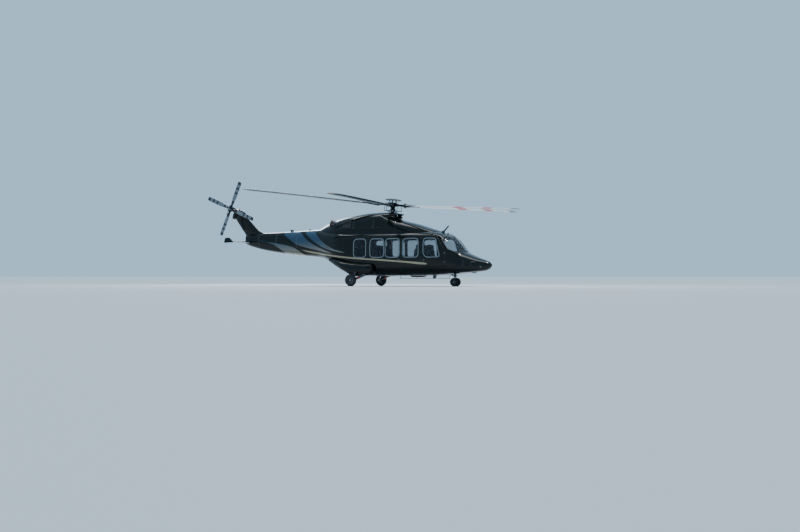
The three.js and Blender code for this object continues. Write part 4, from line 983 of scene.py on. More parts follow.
# %% Tables of the upper deck
ROOF_FAIRING = metres([(2520, 1700, 1915, 300, 1750, 2.2, 2.0), (2300, 1700, 2000, 560, 1750, 2.4, 2.0),
                       (1860, 1700, 2140, 740, 1750, 2.6, 2.0), (1275, 1700, 2320, 830, 1750, 2.8, 2.0),
                       (450, 1700, 2510, 860, 1750, 3.0, 2.0)])
COWLING = metres([(460, 1700, 2507, 860, 1750, 3.0, 2.0), (0, 1700, 2690, 873, 1750, 3.0, 2.0),
                  (-440, 1700, 2860, 880, 1750, 3.1, 2.0), (-940, 1700, 2845, 890, 1750, 3.1, 2.0),
                  (-1710, 1700, 2750, 870, 1750, 3.0, 2.0), (-2480, 1700, 2610, 780, 1750, 2.7, 2.0),
                  (-3200, 1700, 2370, 560, 1750, 2.4, 2.0), (-3720, 1700, 2150, 300, 1750, 2.2, 2.0)])
INTAKE = metres([(600, 2585, 2752, 470, 2660, 2.8, 2.8), (400, 2585, 2803, 520, 2665, 2.8, 2.8),
                 (0, 2560, 2855, 600, 2640, 2.7, 2.6), (-440, 2500, 2868, 610, 2580, 2.6, 2.4),
                 (-900, 2400, 2800, 520, 2500, 2.4, 2.2)])
MOUTH = [(0.377, 2.3), (0.9, 2.3), (0.9, 2.9), (0.577, 2.9), (0.577, 2.748), (0.413, 2.708), (0.533, 2.632),
         (0.533, 2.61), (0.377, 2.575)]
MOUTH_SWEEP = 0.5
COWL_SKIN = 0.035
MAST_TILT = math.radians(5)
MAST = Matrix.Translation(HUB) @ Matrix.Rotation(MAST_TILT, 4, "Y")

print("the mast leans", round(math.degrees(MAST_TILT)), "degrees forward")

# %% Moving a mesh
def place(made, matrix):
    """Moves a mesh's points; its object stays at the origin."""
    made.data.transform(matrix)
    made.data.update()
    return made


print("meshes move, objects stay at the origin")

# %% [markdown]
# ## The roof fairing
# It leads the air up to the mast. It is a skin through its own table, hollowed, and then cut by the hull so that
# the two meet in one line.

# %% Roof fairing
fairing_smooth = skin("roof_smooth", ROOF_FAIRING, 2.52, 0.45)
roof_fairing = copy_of(fairing_smooth, "roof_fairing_skin")
combine(roof_fairing, skin("air", ROOF_FAIRING, 2.3, 0.449, COWL_SKIN), "DIFFERENCE")
combine(roof_fairing, hull_body, "DIFFERENCE", keep=True)
combine(roof_fairing, block("under", -4, 2.6, -FAR, FAR, 0, 1.84), "DIFFERENCE")
dressed(roof_fairing, "roof_fairing", references=[fairing_smooth], material=hull_paint)
print("roof fairing has", len(roof_fairing.data.polygons), "faces")

# %% [markdown]
# ## Engine cowling
# The real intake is moulded into the cowling with a round fillet. Two cut bodies would meet in a hard crease. So
# the two are joined, turned into one even grid and smoothed a little, and only then hollowed.

# %% Engine cowling with its intake
cowling_smooth = skin("cowling_smooth", COWLING, 0.46, -3.72)
intake_smooth = skin("intake_smooth", INTAKE, 0.6, -0.9)
intake = copy_of(intake_smooth, "intake")
for _, side in SIDES:
    far = side * 0.9
    mouth = loft("mouth", [[(x, 0, z) for x, z in MOUTH], [(x - MOUTH_SWEEP * 0.9, far, z) for x, z in MOUTH]])
    combine(intake, mouth, "DIFFERENCE")
cowling = copy_of(cowling_smooth, "engine_cowling_skin")
combine(cowling, intake, "UNION")
remesh = cowling.modifiers.new("one_moulding", "REMESH")
remesh.mode = "VOXEL"
remesh.voxel_size = 0.018
fillet = cowling.modifiers.new("fillet", "SMOOTH")
fillet.factor = 0.5
fillet.iterations = 12
bake(cowling)
combine(cowling, skin("air", COWLING, 0.461, -3.6, COWL_SKIN), "DIFFERENCE")
combine(cowling, skin("air", INTAKE, 0.601, -0.9, COWL_SKIN), "DIFFERENCE")
combine(cowling, hull_body, "DIFFERENCE", keep=True)
combine(cowling, block("under", -4, 2.6, -FAR, FAR, 0, 1.84), "DIFFERENCE")
combine(cowling, place(rod("mast_hole", (0, 0, -0.9), (0, 0, 0.2), 0.3, None, 64), MAST), "DIFFERENCE")
combine(cowling, skin("front", ROOF_FAIRING, 2.52, 0.449, -SEAT_GAP), "DIFFERENCE")
print("cowling so far has", len(cowling.data.polygons), "faces")

# %% [markdown]
# ## Exhausts
# Each engine blows out through a short bent duct of bare steel. It is a section carried along a path, then bored
# out to a thin wall so that its dark inside shows, and the cowling gets a hole with an even gap round it.

# %% Exhaust steel
# Rolled stainless steel, tinted by heat. Its colour runs from brown to blue-grey towards the hot end, in blotches
# about 11 cm wide, and soot makes it uneven in gloss.
exhaust_steel, tree, shader, point = new_material("heat_tinted_stainless_steel", "#4d4845", 0.42, 1.0)
blotches = add_node(tree, "ShaderNodeTexNoise", {"Vector": point, "Scale": 9.0, "Detail": 6.0, "Distortion": 0.6})
place_x = add_node(tree, "ShaderNodeSeparateXYZ", {"Vector": point}).node.outputs["X"]
hotter = add_node(tree, "ShaderNodeMapRange", {"Value": place_x, "From Min": -2.95, "From Max": -2.4})
heat = add_node(tree, "ShaderNodeMath", {0: blotches, 1: 0.35, 2: hotter}, operation="MULTIPLY_ADD")
finish(tree, shader,
       Base_Color=add_node(tree, "ShaderNodeValToRGB", {"Fac": heat},
                           stops=[(0.15, "#2c2825"), (0.4, "#54473c"), (0.62, "#4d4b55"), (0.9, "#666360")]),
       Roughness=add_node(tree, "ShaderNodeMapRange", {"Value": blotches, "To Min": 0.28, "To Max": 0.55}))
print("exhaust steel has", len(tree.nodes), "nodes")

# %% A section carried along a path
def circle(radius, sides=24, flat=1.0):
    """A circle as (across, up) points, narrower across when flat is under 1."""
    turns = [2 * math.pi * i / sides for i in range(sides)]
    return [(radius * flat * math.cos(a), radius * math.sin(a)) for a in turns]


def smooth_path(points, steps=6):
    """A curve through points, with even steps between them."""
    points = [Vector(p) for p in points]
    ends = [2 * points[0] - points[1], *points, 2 * points[-1] - points[-2]]
    made = []
    for i in range(1, len(ends) - 2):
        a, b, c, d = ends[i - 1:i + 3]
        for k in range(steps):
            t = k / steps
            made.append(0.5 * ((2 * b) + (c - a) * t + (2 * a - 5 * b + 4 * c - d) * t * t
                               + (3 * b - a - 3 * c + d) * t ** 3))
    return made + [points[-1]]


def sweep(name, path, section, material=None, up=(0, 0, 1)):
    """Carries a cross-section along a path: section(t) gives its (across, up) points."""
    path = [Vector(p) for p in path]
    rings = []
    for k, centre in enumerate(path):
        along = (path[min(k + 1, len(path) - 1)] - path[max(k - 1, 0)]).normalized()
        level = Vector(up).cross(along).normalized()
        rise = along.cross(level)
        rings.append([centre + level * a + rise * b for a, b in section(k / (len(path) - 1))])
    return sharpened(loft(name, rings, material))


print("a smooth path through 3 points has", len(smooth_path([(0, 0, 0), (1, 0, 0), (1, 1, 0)])), "points")

# %% Exhaust ducts
DUCT = 0.15
DUCT_WALL = 0.006
DUCT_FLAT = 0.85
for name, side in SIDES:
    path = smooth_path([(-2.27, side * 0.37, 2.26), (-2.5, side * 0.4, 2.285), (-2.71, side * 0.465, 2.35),
                        (-2.9, side * 0.545, 2.44)])
    ahead = path[0] - (path[1] - path[0]).normalized() * 0.3
    beyond = path[-1] + (path[-1] - path[-2]).normalized() * 0.3
    hole = sweep("hole", [ahead, *path, beyond], lambda t: circle(DUCT + 0.01, 48, DUCT_FLAT))
    combine(cowling, hole, "DIFFERENCE")
    duct = sweep(f"exhaust_duct_{name}_pipe", path, lambda t: circle(DUCT, 48, DUCT_FLAT))
    bore = sweep("bore", [*path[2:], beyond], lambda t: circle(DUCT - DUCT_WALL, 48, DUCT_FLAT))
    combine(duct, bore, "DIFFERENCE")
    dressed(duct, f"exhaust_duct_{name}", material=exhaust_steel)
dressed(cowling, "engine_cowling", references=[cowling_smooth, intake_smooth], material=hull_paint,
        reach=0.008)
drop(cowling_smooth, intake_smooth, fairing_smooth)
print("cowling has", len(cowling.data.polygons), "faces")

# %% [markdown]
# ## Sponsons
# A sponson on each lower side holds the main wheel when it is up. It is a row of ovals with a well cut into its
# underside, open to the ground.

# %% Sponsons
SPONSON = metres([(-370, 1040, 310, 90, 110), (-470, 1080, 310, 280, 245), (-900, 1110, 300, 400, 285),
                  (-1300, 1120, 305, 420, 310), (-1800, 1100, 430, 390, 240), (-2300, 1000, 590, 280, 170),
                  (-2750, 880, 730, 120, 80)], 0)
for name, side in SIDES:
    rings = []
    for x in stations(-0.37, -2.75, 0.05):
        _, y, z, wide, high = row_at(SPONSON, x)
        rings.append(oval(x, side * y, z, wide, high, 72))
    smooth = loft("sponson_smooth", rings)
    sponson = copy_of(smooth, f"sponson_{name}_skin")
    combine(sponson, hull_body, "DIFFERENCE", keep=True)
    y0, y1 = sorted((side * 1.25, side * 2))
    combine(sponson, block("well", -1.72, -0.56, y0, y1, -FAR, 0.19), "DIFFERENCE")
    y0, y1 = sorted((side * 1.04, side * 1.14))
    combine(sponson, block("pad", -1.05, -0.95, y0, y1, -0.02, 0.09), "UNION")
    dressed(sponson, f"sponson_{name}", references=[smooth], material=hull_paint)
    drop(smooth)
print("sponsons done")

# %% [markdown]
# ## Window frames
# A pale band shows round each side window: the painted clamp ring that holds the pane. It lies on the skin, so it
# is the skin itself, a few millimetres thicker, kept only between two outlines. A black rubber seal fills the step
# down to the glass.

# %% Frame enamel and seal rubber
# Satin enamel on the aluminium clamp rings: grey, evenly soft in its shine, with marks of cleaning 8 cm wide.
frame_enamel = surface("satin_frame_enamel", "#6f7578", 0.35, patches=dict(Scale=12.0, Detail=6.0),
                       tones=[(0.35, "#687073"), (0.7, "#767c7f")], gloss=(0.26, 0.5), Coat_Weight=0.3)
# Extruded black rubber. It is dull, and chalks to grey in spots of 25 mm.
seal_rubber = surface("window_seal_rubber", "#15171a", 0.7, patches=dict(Scale=40.0, Detail=5.0),
                      tones=[(0.4, "#131517"), (0.7, "#232425")], gloss=(0.6, 0.85))
print("frame finishes made, materials so far:", len(bpy.data.materials))

# %% Joining pieces
def merged(name, objects):
    """Joins objects into one mesh, keeping each one's material."""
    work = bmesh.new()
    slots = []
    for piece in objects:
        start = len(work.faces)
        work.from_mesh(piece.data)
        work.faces.ensure_lookup_table()
        own = list(piece.data.materials) or [None]
        for face in work.faces[start:]:
            wanted = own[min(face.material_index, len(own) - 1)]
            if wanted not in slots:
                slots.append(wanted)
            face.material_index = slots.index(wanted)
    mesh = bpy.data.meshes.new(name)
    work.to_mesh(mesh)
    work.free()
    for slot in slots:
        mesh.materials.append(slot)
    drop(*objects)
    made = bpy.data.objects.new(name, mesh)
    bpy.context.scene.collection.objects.link(made)
    return made


print("joined pieces keep their materials")

# %% [markdown]
# ## Rings and seals
# The ring stands 4 mm above the skin and the seal lies in the step down to the glass. Both are bands of a layer,
# kept between a grown and a shrunk outline of the window.

# %% Clamp rings and rubber seals
RING_WIDTH = 0.036
SEAL_WIDTH = 0.014
SEAL_GAP = 0.0002
ring_layer = shell_layer("ring_layer", -0.004, 0.004)
seal_layer = shell_layer("seal_layer", 0.0008, 0.011)


def band(layer, name, outline, radius, grow, shrink, side):
    """The part of a layer between a grown and a shrunk window outline."""
    made = kept_inside(layer, name, outline, radius + max(grow, 0), side, grow)
    inner = rounded(offset(outline, -shrink), radius - max(shrink, 0) * 0.5)
    return combine(made, side_cut("cut", inner, side), "DIFFERENCE")


for name, side in SIDES:
    rings, seals = [], []
    for window, outline in WINDOWS.items():
        rings.append(band(ring_layer, window, outline, WINDOW_RADIUS, RING_WIDTH, 0.0, side))
        seals.append(band(seal_layer, window, outline, WINDOW_RADIUS, -SEAL_GAP, SEAL_WIDTH, side))
    dressed(merged(f"window_frames_{name}", rings), None, references=[hull_body], material=frame_enamel, reach=0.006)
    dressed(merged(f"window_seals_{name}", seals), None, material=seal_rubber)
    door = f"cockpit_door_{name}"
    ring = band(ring_layer, f"cockpit_window_frame_{name}", COCKPIT_WINDOW, COCKPIT_WINDOW_RADIUS, RING_WIDTH, 0.0,
                side)
    dressed(ring, None, door, [hull_body], frame_enamel, 0.006)
    seal = band(seal_layer, f"cockpit_window_seal_{name}", COCKPIT_WINDOW, COCKPIT_WINDOW_RADIUS, -SEAL_GAP,
                SEAL_WIDTH, side)
    dressed(seal, None, door, material=seal_rubber)
drop(ring_layer, seal_layer)
print("frames and seals done")

# %% [markdown]
# ## Repeating with Geometry Nodes
# A rotor head has five of everything, and a skin has hundreds of rivets. One tree sets a piece round an axis, and
# another sets it on marked spots, standing along each spot's own direction. Both end in real geometry.

# %% Start and end of a tree
def new_tree(name, **kinds):
    """An empty tree with named inputs and one geometry output."""
    tree = bpy.data.node_groups.new(name, "GeometryNodeTree")
    tree.interface.new_socket("Geometry", in_out="INPUT", socket_type="NodeSocketGeometry")
    for label, kind in kinds.items():
        tree.interface.new_socket(label, in_out="INPUT", socket_type=f"NodeSocket{kind}")
    tree.interface.new_socket("Geometry", in_out="OUTPUT", socket_type="NodeSocketGeometry")
    entry = tree.nodes.new("NodeGroupInput")
    return tree, {s.name: s for s in entry.outputs if s.name}


def close_tree(tree, geometry, material):
    """Ends a tree: real geometry with its material."""
    real = add_node(tree, "GeometryNodeRealizeInstances", {"Geometry": geometry})
    coated = add_node(tree, "GeometryNodeSetMaterial", {"Geometry": real, "Material": material})
    tree.links.new(coated, tree.nodes.new("NodeGroupOutput").inputs["Geometry"])
    return tree


print("a tree starts and ends in the same way each time")

# %% Tree that repeats a piece round an axis
ring_tree, ports = new_tree("repeat_round_an_axis", Piece="Object", Count="Int", First="Float", Axis="Vector",
                            Finish="Material")
shape = add_node(ring_tree, "GeometryNodeObjectInfo", {"Object": ports["Piece"]})
shape = shape.node.outputs["Geometry"]
spots = add_node(ring_tree, "GeometryNodeMeshLine", {"Count": ports["Count"], "Offset": (0, 0, 0)})
step = add_node(ring_tree, "ShaderNodeMath", {0: 2 * math.pi, 1: ports["Count"]}, operation="DIVIDE")
turn = add_node(ring_tree, "ShaderNodeMath", {0: add_node(ring_tree, "GeometryNodeInputIndex"), 1: step,
                                              2: ports["First"]}, operation="MULTIPLY_ADD")
spin = add_node(ring_tree, "FunctionNodeAxisAngleToRotation", {"Axis": ports["Axis"], "Angle": turn})
placed = add_node(ring_tree, "GeometryNodeInstanceOnPoints", {"Points": spots, "Instance": shape, "Rotation": spin})
close_tree(ring_tree, placed, ports["Finish"])

print("round an axis:", len(ring_tree.nodes), "nodes")

# %% Tree that repeats a piece on spots
spot_tree, ports = new_tree("repeat_on_spots", Piece="Object", Finish="Material")
shape = add_node(spot_tree, "GeometryNodeObjectInfo", {"Object": ports["Piece"]})
shape = shape.node.outputs["Geometry"]
facing = add_node(spot_tree, "GeometryNodeInputNamedAttribute", {"Name": "facing"}, data_type="FLOAT_VECTOR")
spin = add_node(spot_tree, "FunctionNodeAlignRotationToVector", {"Vector": facing}, axis="Z")
placed = add_node(spot_tree, "GeometryNodeInstanceOnPoints",
                  {"Points": ports["Geometry"], "Instance": shape, "Rotation": spin})
close_tree(spot_tree, placed, ports["Finish"])


print("on spots:", len(spot_tree.nodes), "nodes")

# %% Running a tree and keeping its mesh
def grown(host, tree, **values):
    """Runs a tree on an object with its named inputs, and keeps the result as plain mesh."""
    step = host.modifiers.new("repeat", "NODES")
    step.node_group = tree
    for item in tree.interface.items_tree:
        if item.in_out == "INPUT" and item.name in values:
            step[item.identifier] = values[item.name]
    bake(host)
    drop(values["Piece"])
    return host


def repeat_round(name, piece, material, count, first=0.0, axis=(0, 0, 1)):
    """A piece repeated round an axis through the origin."""
    host = make_object(name, [(0, 0, 0)], [])
    return grown(host, ring_tree, Piece=piece, Count=count, First=first, Axis=axis, Finish=material)


def repeat_on(name, piece, material, spots):
    """A piece repeated on (place, direction) spots."""
    host = make_object(name, [p for p, _ in spots], [])
    facing = host.data.attributes.new("facing", "FLOAT_VECTOR", "POINT")
    facing.data.foreach_set("vector", [v for _, d in spots for v in d])
    return grown(host, spot_tree, Piece=piece, Finish=material)


print("trees", [tree.name for tree in bpy.data.node_groups])

# %% [markdown]
# ## Metals and rubber
# The head is forged titanium under a dark coating, its bearings are rubber and steel in layers, and the rods that
# slide in seals are hard chrome. Each is its own material, because each takes the light in another way.

# %% Metals and rubber
# Forged titanium under a baked dark coating: half metallic, with a forged grain of 17 mm.
hub_coating = surface("coated_titanium_forging", "#1d2023", 0.45, 0.55, patches=dict(Scale=60.0, Detail=4.0),
                      gloss=(0.34, 0.6), relief=dict(Scale=60.0, Detail=4.0), depth=0.0006, strength=0.3)
# Turned and ground steel for pins, bolts and rods: a clear metal shine, broken every 7 mm by handling.
bare_steel = surface("machined_steel", "#7b7f82", 0.28, 1.0, patches=dict(Scale=140.0, Detail=3.0), gloss=(0.2, 0.42))
# Hard chrome on the sliding rods. It mirrors almost cleanly, with oily smears of 40 mm.
chrome = surface("hard_chrome_plate", "#c9ccce", 0.08, 1.0, patches=dict(Scale=25.0), gloss=(0.05, 0.16))
# Rubber and steel shims, bonded in layers: dull black with a step every 12 mm, drawn coarser than the real 2 mm.
bearing_rubber = surface("laminated_bearing_rubber", "#131415", 0.75,
                         relief=dict(kind="Wave", Scale=26.0, bands_direction="Z"), depth=0.003, strength=0.6)
print("metals made, materials so far:", len(bpy.data.materials))

# %% [markdown]
# ## Main rotor head
# Everything here is drawn about the rotor's own centre with the mast along +Z, then leaned 5 degrees forward with
# the mast. One arm is made of each kind, and the tree repeats it for the five blades.

# %% Turned parts and rounded boxes
def lathe(name, profile, sides=48, material=None, axis="Z", centre=(0, 0, 0), closed=False):
    """Turns a profile of (radius, height) round an axis: closed for a ring, or else from the axis to the axis."""
    points = []
    for k in range(sides):
        a = 2 * math.pi * k / sides
        for r, h in profile:
            local = (r * math.cos(a), r * math.sin(a), h) if axis == "Z" else (r * math.cos(a), h, r * math.sin(a))
            points.append(Vector(local) + Vector(centre))
    count = len(profile)
    faces = []
    for k in range(sides):
        a, b = k * count, (k + 1) % sides * count
        for i in range(count if closed else count - 1):
            j = (i + 1) % count
            faces.append((a + i, a + j, b + j, b + i))
    made = make_object(name, points, faces, material)
    work = bmesh.new()
    work.from_mesh(made.data)
    bmesh.ops.remove_doubles(work, verts=work.verts, dist=0.00005)
    work.to_mesh(made.data)
    work.free()
    return outward_faces(sharpened(made))


def squircle(half_wide, half_high, square=4.0, count=24):
    """A rounded rectangle as (across, up) points."""
    points = []
    for i in range(count):
        a = 2 * math.pi * i / count
        c, s = math.cos(a), math.sin(a)
        points.append((half_wide * math.copysign(abs(c) ** (2 / square), c),
                       half_high * math.copysign(abs(s) ** (2 / square), s)))
    return points


print("a rounded box has", len(squircle(1, 1)), "points round it")

# %% Shaft, plates and swashplate
BLADE_COUNT = 5
FIRST_BLADE = math.radians(59)


def on_mast(made, body="main_rotor", node=None):
    """Leans a piece with the mast and lets it ride."""
    return fitted(place(made, MAST), body, node)


def star_plate(name, z0, z1, material):
    """A five-lobed plate with softened rims."""
    rings = []
    for shrink, z in ((0.008, z0), (0.0, z0 + 0.006), (0.0, z1 - 0.006), (0.008, z1)):
        ring = []
        for i in range(120):
            a = 2 * math.pi * i / 120
            lobe = 0.5 + 0.5 * math.cos(BLADE_COUNT * (a - FIRST_BLADE))
            reach = 0.205 + 0.09 * lobe ** 0.8 - shrink
            ring.append((reach * math.cos(a), reach * math.sin(a), z))
        rings.append(ring)
    return sharpened(loft(name, rings, material))


hub_parts = [
    lathe("shaft", [(0, -0.429), (0.078, -0.429), (0.078, -0.14), (0.105, -0.12), (0.13, -0.085), (0.13, 0.085),
                    (0.1, 0.112), (0.0, 0.112)], 64, hub_coating),
    star_plate("low_plate", -0.062, -0.03, hub_coating),
    star_plate("top_plate", 0.03, 0.062, hub_coating),
    lathe("rotating_swashplate", [(0.1, -0.272), (0.19, -0.29), (0.25, -0.286), (0.256, -0.27), (0.25, -0.248),
                                  (0.19, -0.242), (0.13, -0.236), (0.1, -0.25)], 72, bare_steel, closed=True),
    lathe("mast_sleeve", [(0.08, -0.272), (0.15, -0.27), (0.142, -0.225), (0.118, -0.16), (0.105, -0.142),
                          (0.08, -0.14)], 64, hub_coating, closed=True),
]
print("hub parts so far", len(hub_parts))

# %% [markdown]
# ## Arms, bearings and dampers
# Each blade hangs in a forged yoke on a rubber bearing, and a damper beside it slows its swing. One of each is
# drawn at +X, and the tree sets it round the mast.

# %% Arms, bearings and dampers
yoke_rows = [(0.2, 0.07, 0.034), (0.27, 0.076, 0.034), (0.36, 0.058, 0.045), (0.5, 0.054, 0.048), (0.6, 0.066, 0.051),
             (0.7, 0.075, 0.052), (0.76, 0.072, 0.05)]
yoke = loft("yoke", [[(r, a, b) for a, b in squircle(wide, high, 4.5)] for r, wide, high in yoke_rows])
hub_parts.append(repeat_round("yokes", sharpened(yoke), hub_coating, BLADE_COUNT, FIRST_BLADE))
bearing = lathe("bearing", [(0, -0.03), (0.058, -0.03), (0.05, -0.02), (0.054, -0.01), (0.048, 0.0), (0.054, 0.01),
                            (0.05, 0.02), (0.058, 0.03), (0, 0.03)], 32, centre=(0.245, 0, 0))
hub_parts.append(repeat_round("bearings", bearing, bearing_rubber, BLADE_COUNT, FIRST_BLADE))
damper = merged("damper", [
    rod("case", (0.25, 0.12, 0.0), (0.45, 0.123, 0.006), 0.042, 0.042, 32, rounding=0.008),
    rod("neck", (0.45, 0.123, 0.006), (0.475, 0.123, 0.007), 0.03, 0.026, 32),
    rod("eye", (0.6, 0.125, -0.03), (0.6, 0.125, 0.042), 0.03, 0.03, 24, rounding=0.004),
])
hub_parts.append(repeat_round("dampers", damper, hub_coating, BLADE_COUNT, FIRST_BLADE))
slider = rod("slider", (0.47, 0.123, 0.007), (0.58, 0.125, 0.008), 0.019, 0.019, 24)
hub_parts.append(repeat_round("damper_rods", slider, chrome, BLADE_COUNT, FIRST_BLADE))
lug = rounded([(0.16, 0.04), (0.27, 0.075), (0.29, 0.155), (0.22, 0.165), (0.15, 0.1)], 0.02)
horn = rounded([(0.33, -0.05), (0.33, -0.14), (0.35, -0.168), (0.4, -0.168), (0.43, -0.13), (0.44, -0.05)], 0.02)
foot = rounded([(0.17, -0.17), (0.39, -0.172), (0.405, -0.155), (0.39, -0.138), (0.17, -0.13)], 0.01)
anchor = merged("anchor", [
    sharpened(upward("lug", lug, -0.022, 0.022)),
    sharpened(upward("horn", horn, -0.045, -0.012)),
    sharpened(upward("foot", foot, -0.282, -0.248)),
    sharpened(loft("lug_pin", [[(0.63 + 0.035 * math.cos(a), 0.095 + 0.055 * math.sin(a), z)
                                for a in [2 * math.pi * i / 24 for i in range(24)]] for z in (-0.03, 0.045)])),
])
hub_parts.append(repeat_round("lugs", anchor, hub_coating, BLADE_COUNT, FIRST_BLADE))
print("hub parts so far", len(hub_parts))

# %% [markdown]
# ## Links, pins and bolts
# A pitch link turns each blade about its length, and two steel pins hold each blade's root. These bright parts make
# the dark head read as a machine from near by.

# %% Links, pins and bolts
link = merged("pitch_link", [
    rod("link", (0.375, -0.15, -0.255), (0.375, -0.15, -0.05), 0.0105, 0.0105, 16),
    rod("barrel", (0.375, -0.15, -0.2), (0.375, -0.15, -0.11), 0.017, 0.017, 6),
    rod("low_end", (0.375, -0.172, -0.262), (0.375, -0.128, -0.262), 0.019, 0.019, 20, rounding=0.004),
    rod("top_end", (0.375, -0.172, -0.055), (0.375, -0.128, -0.055), 0.019, 0.019, 20, rounding=0.004),
])
hub_parts.append(repeat_round("pitch_links", link, bare_steel, BLADE_COUNT, FIRST_BLADE))
pin = merged("pin", [rod("shank", (0.68, y, -0.094), (0.68, y, 0.094), 0.016, 0.016, 16) for y in (-0.042, 0.042)]
             + [rod("head", (0.68, y, z), (0.68, y, z + 0.014), 0.026, 0.026, 6)
                for y in (-0.042, 0.042) for z in (0.09, -0.104)])
hub_parts.append(repeat_round("blade_pins", pin, bare_steel, BLADE_COUNT, FIRST_BLADE))
plate_bolt = rod("bolt", (0.17, 0, 0.06), (0.17, 0, 0.074), 0.012, 0.012, 6)
hub_parts.append(repeat_round("plate_bolts", plate_bolt, bare_steel, 10, FIRST_BLADE + 0.3))
scissor = merged("scissor", [rod("upper", (0.11, 0.02, -0.13), (0.235, 0.03, -0.185), 0.014, 0.012, 12),
                             rod("lower", (0.235, 0.03, -0.185), (0.215, 0.02, -0.25), 0.012, 0.014, 12)])
hub_parts.append(repeat_round("scissors", scissor, hub_coating, 2, FIRST_BLADE + 0.6))
rotor_head = on_mast(merged("rotor_head_assembly", hub_parts), node="rotor_head")
print("rotor head", len(rotor_head.data.polygons), "faces")

# %% [markdown]
# ## The cap
# A round cap covers the head against rain. It is turned from one thin profile and stands on five posts with braces,
# so light passes under it.

# %% Cap on its posts
cap = lathe("cap", [(0, 0.222), (0.18, 0.212), (0.325, 0.2), (0.365, 0.2), (0.383, 0.206), (0.385, 0.214),
                    (0.372, 0.228), (0.335, 0.246), (0.27, 0.262), (0.2, 0.274), (0.1, 0.283), (0, 0.285)],
            96, hub_coating)
post = merged("post", [rod("tube", (0.15, 0, 0.0625), (0.15, 0, 0.218), 0.017, 0.017, 16),
                       rod("collar", (0.15, 0, 0.0625), (0.15, 0, 0.078), 0.028, 0.024, 16)])
posts = repeat_round("posts", post, hub_coating, BLADE_COUNT, FIRST_BLADE)
brace = rod("brace", (0.17, 0.02, 0.07), (0.29, 0.13, 0.212), 0.009, 0.009, 10)
braces = repeat_round("braces", brace, hub_coating, BLADE_COUNT, FIRST_BLADE)
rotor_cap = on_mast(merged("rotor_cap_assembly", [cap, posts, braces]), node="rotor_cap")
print("rotor cap", len(rotor_cap.data.polygons), "faces")

# %% [markdown]
# ## Main blades
# Each blade is a straight composite aerofoil with a swept tip and a metal strip on its leading edge. Its top is
# pale with two red bands, which show from the ground how far the disc reaches. Its underside is painted black as
# shade, with a painted sunlit tip. The bands follow the distance from the rotor's axis, which a Mapping node measures
# from Object coordinates.

# %% Blade paint
def banded(name, radius, centre, rotation, plane, bands, roughness):
    """Blade paint whose colour changes with the distance from the axis: bands are (radius, hex colour)."""
    made, tree, shader, point = new_material(name, bands[0][1], roughness, Coat_Weight=0.25)
    local = add_node(tree, "ShaderNodeMapping", {"Vector": point, "Location": tuple(centre), "Rotation": rotation},
                     vector_type="TEXTURE")
    flat = add_node(tree, "ShaderNodeVectorMath", {0: local, 1: plane}, operation="MULTIPLY")
    distance = add_node(tree, "ShaderNodeVectorMath", {0: flat}, operation="LENGTH").node.outputs["Value"]
    share = add_node(tree, "ShaderNodeMath", {0: distance, 1: radius}, operation="DIVIDE")
    colours = add_node(tree, "ShaderNodeValToRGB", {"Fac": share}, [(r / radius, c) for r, c in bands])
    colours.node.color_ramp.interpolation = "CONSTANT"
    dirt = add_node(tree, "ShaderNodeTexNoise", {"Vector": point, "Scale": 7.0, "Detail": 6.0})
    soft = add_node(tree, "ShaderNodeMapRange", {"Value": dirt, "From Min": 0.4, "From Max": 0.75,
                                                 "To Min": 0.0, "To Max": 0.22})
    worn = add_node(tree, "ShaderNodeMix", {"Factor": soft, "A": colours, "B": "#4d4a45"}, data_type="RGBA")
    rough = add_node(tree, "ShaderNodeMapRange", {"Value": dirt, "To Min": roughness - 0.08,
                                                  "To Max": roughness + 0.18})
    finish(tree, shader, Base_Color=worn, Roughness=rough)
    return made


# Sprayed polyurethane on the composite blades: pale above with red bands, satin, with a film of dirt in patches 14 cm
# wide. Below they are painted black as shade, and the tan at the tip below is a painted patch of sunlight.
hub_place, lean = tuple(HUB), (0, MAST_TILT, 0)
blade_top = banded("blade_top_polyurethane", 8.0, hub_place, lean, (1, 1, 0),
                   [(0, "#202325"), (1.35, "#b3b6b5"), (3.5, "#a52a30"), (4.0, "#b3b6b5"), (5.0, "#a52a30"),
                    (5.5, "#b3b6b5"), (6.45, "#26282a")], 0.35)
# Black underside: painted shade. Tan from 6.62 m out: a painted sunlit tip.
shaded_blade_underside = banded("blade_underside_polyurethane", 8.0, hub_place, lean, (1, 1, 0),
                     [(0, "#1b1d1f"), (6.62, "#b08a66")], 0.4)
# Electroformed nickel on the leading edges, sand-blasted dull by rain and dust in pits of 20 mm.
erosion_strip = surface("nickel_erosion_strip", "#56595b", 0.34, 1.0, patches=dict(Scale=50.0, Detail=5.0),
                        gloss=(0.22, 0.5))
print("blade paints made, materials so far:", len(bpy.data.materials))

# %% [markdown]
# ## The blades themselves
# A blade is lofted from its root cuff to its swept tip, with a pitch that grows outboard of the cuff, as on a blade
# at rest. One is made, slotted for the hub, and turned to five places.

# %% Main blades
BLADE = metres([(620, 85, 170, 150, 0), (900, 90, 180, 120, 4), (1250, 130, 330, 66, 14), (1700, 140, 420, 52, 28),
                (3200, 140, 420, 50, 82), (4800, 140, 420, 48, 137), (6200, 140, 420, 42, 177),
                (6600, 80, 350, 34, 185), (6900, -70, 180, 16, 190)], 0)[::-1]
BLADE_PITCH = math.radians(8)


def blade_ring(r, row):
    """One section of the blade, pitched nose up about its quarter chord outboard of the cuff."""
    _, lead, chord, thick, rise = row
    pitch = BLADE_PITCH * min(1.0, max(0.0, (r - 0.85) / 0.5))
    c, s = math.cos(pitch), math.sin(pitch)
    pivot = lead - 0.25 * chord
    ring = []
    for along, up in aerofoil(chord, thick):
        y = lead + along - pivot
        ring.append((r, pivot + y * c - up * s, rise + y * s + up * c))
    return ring


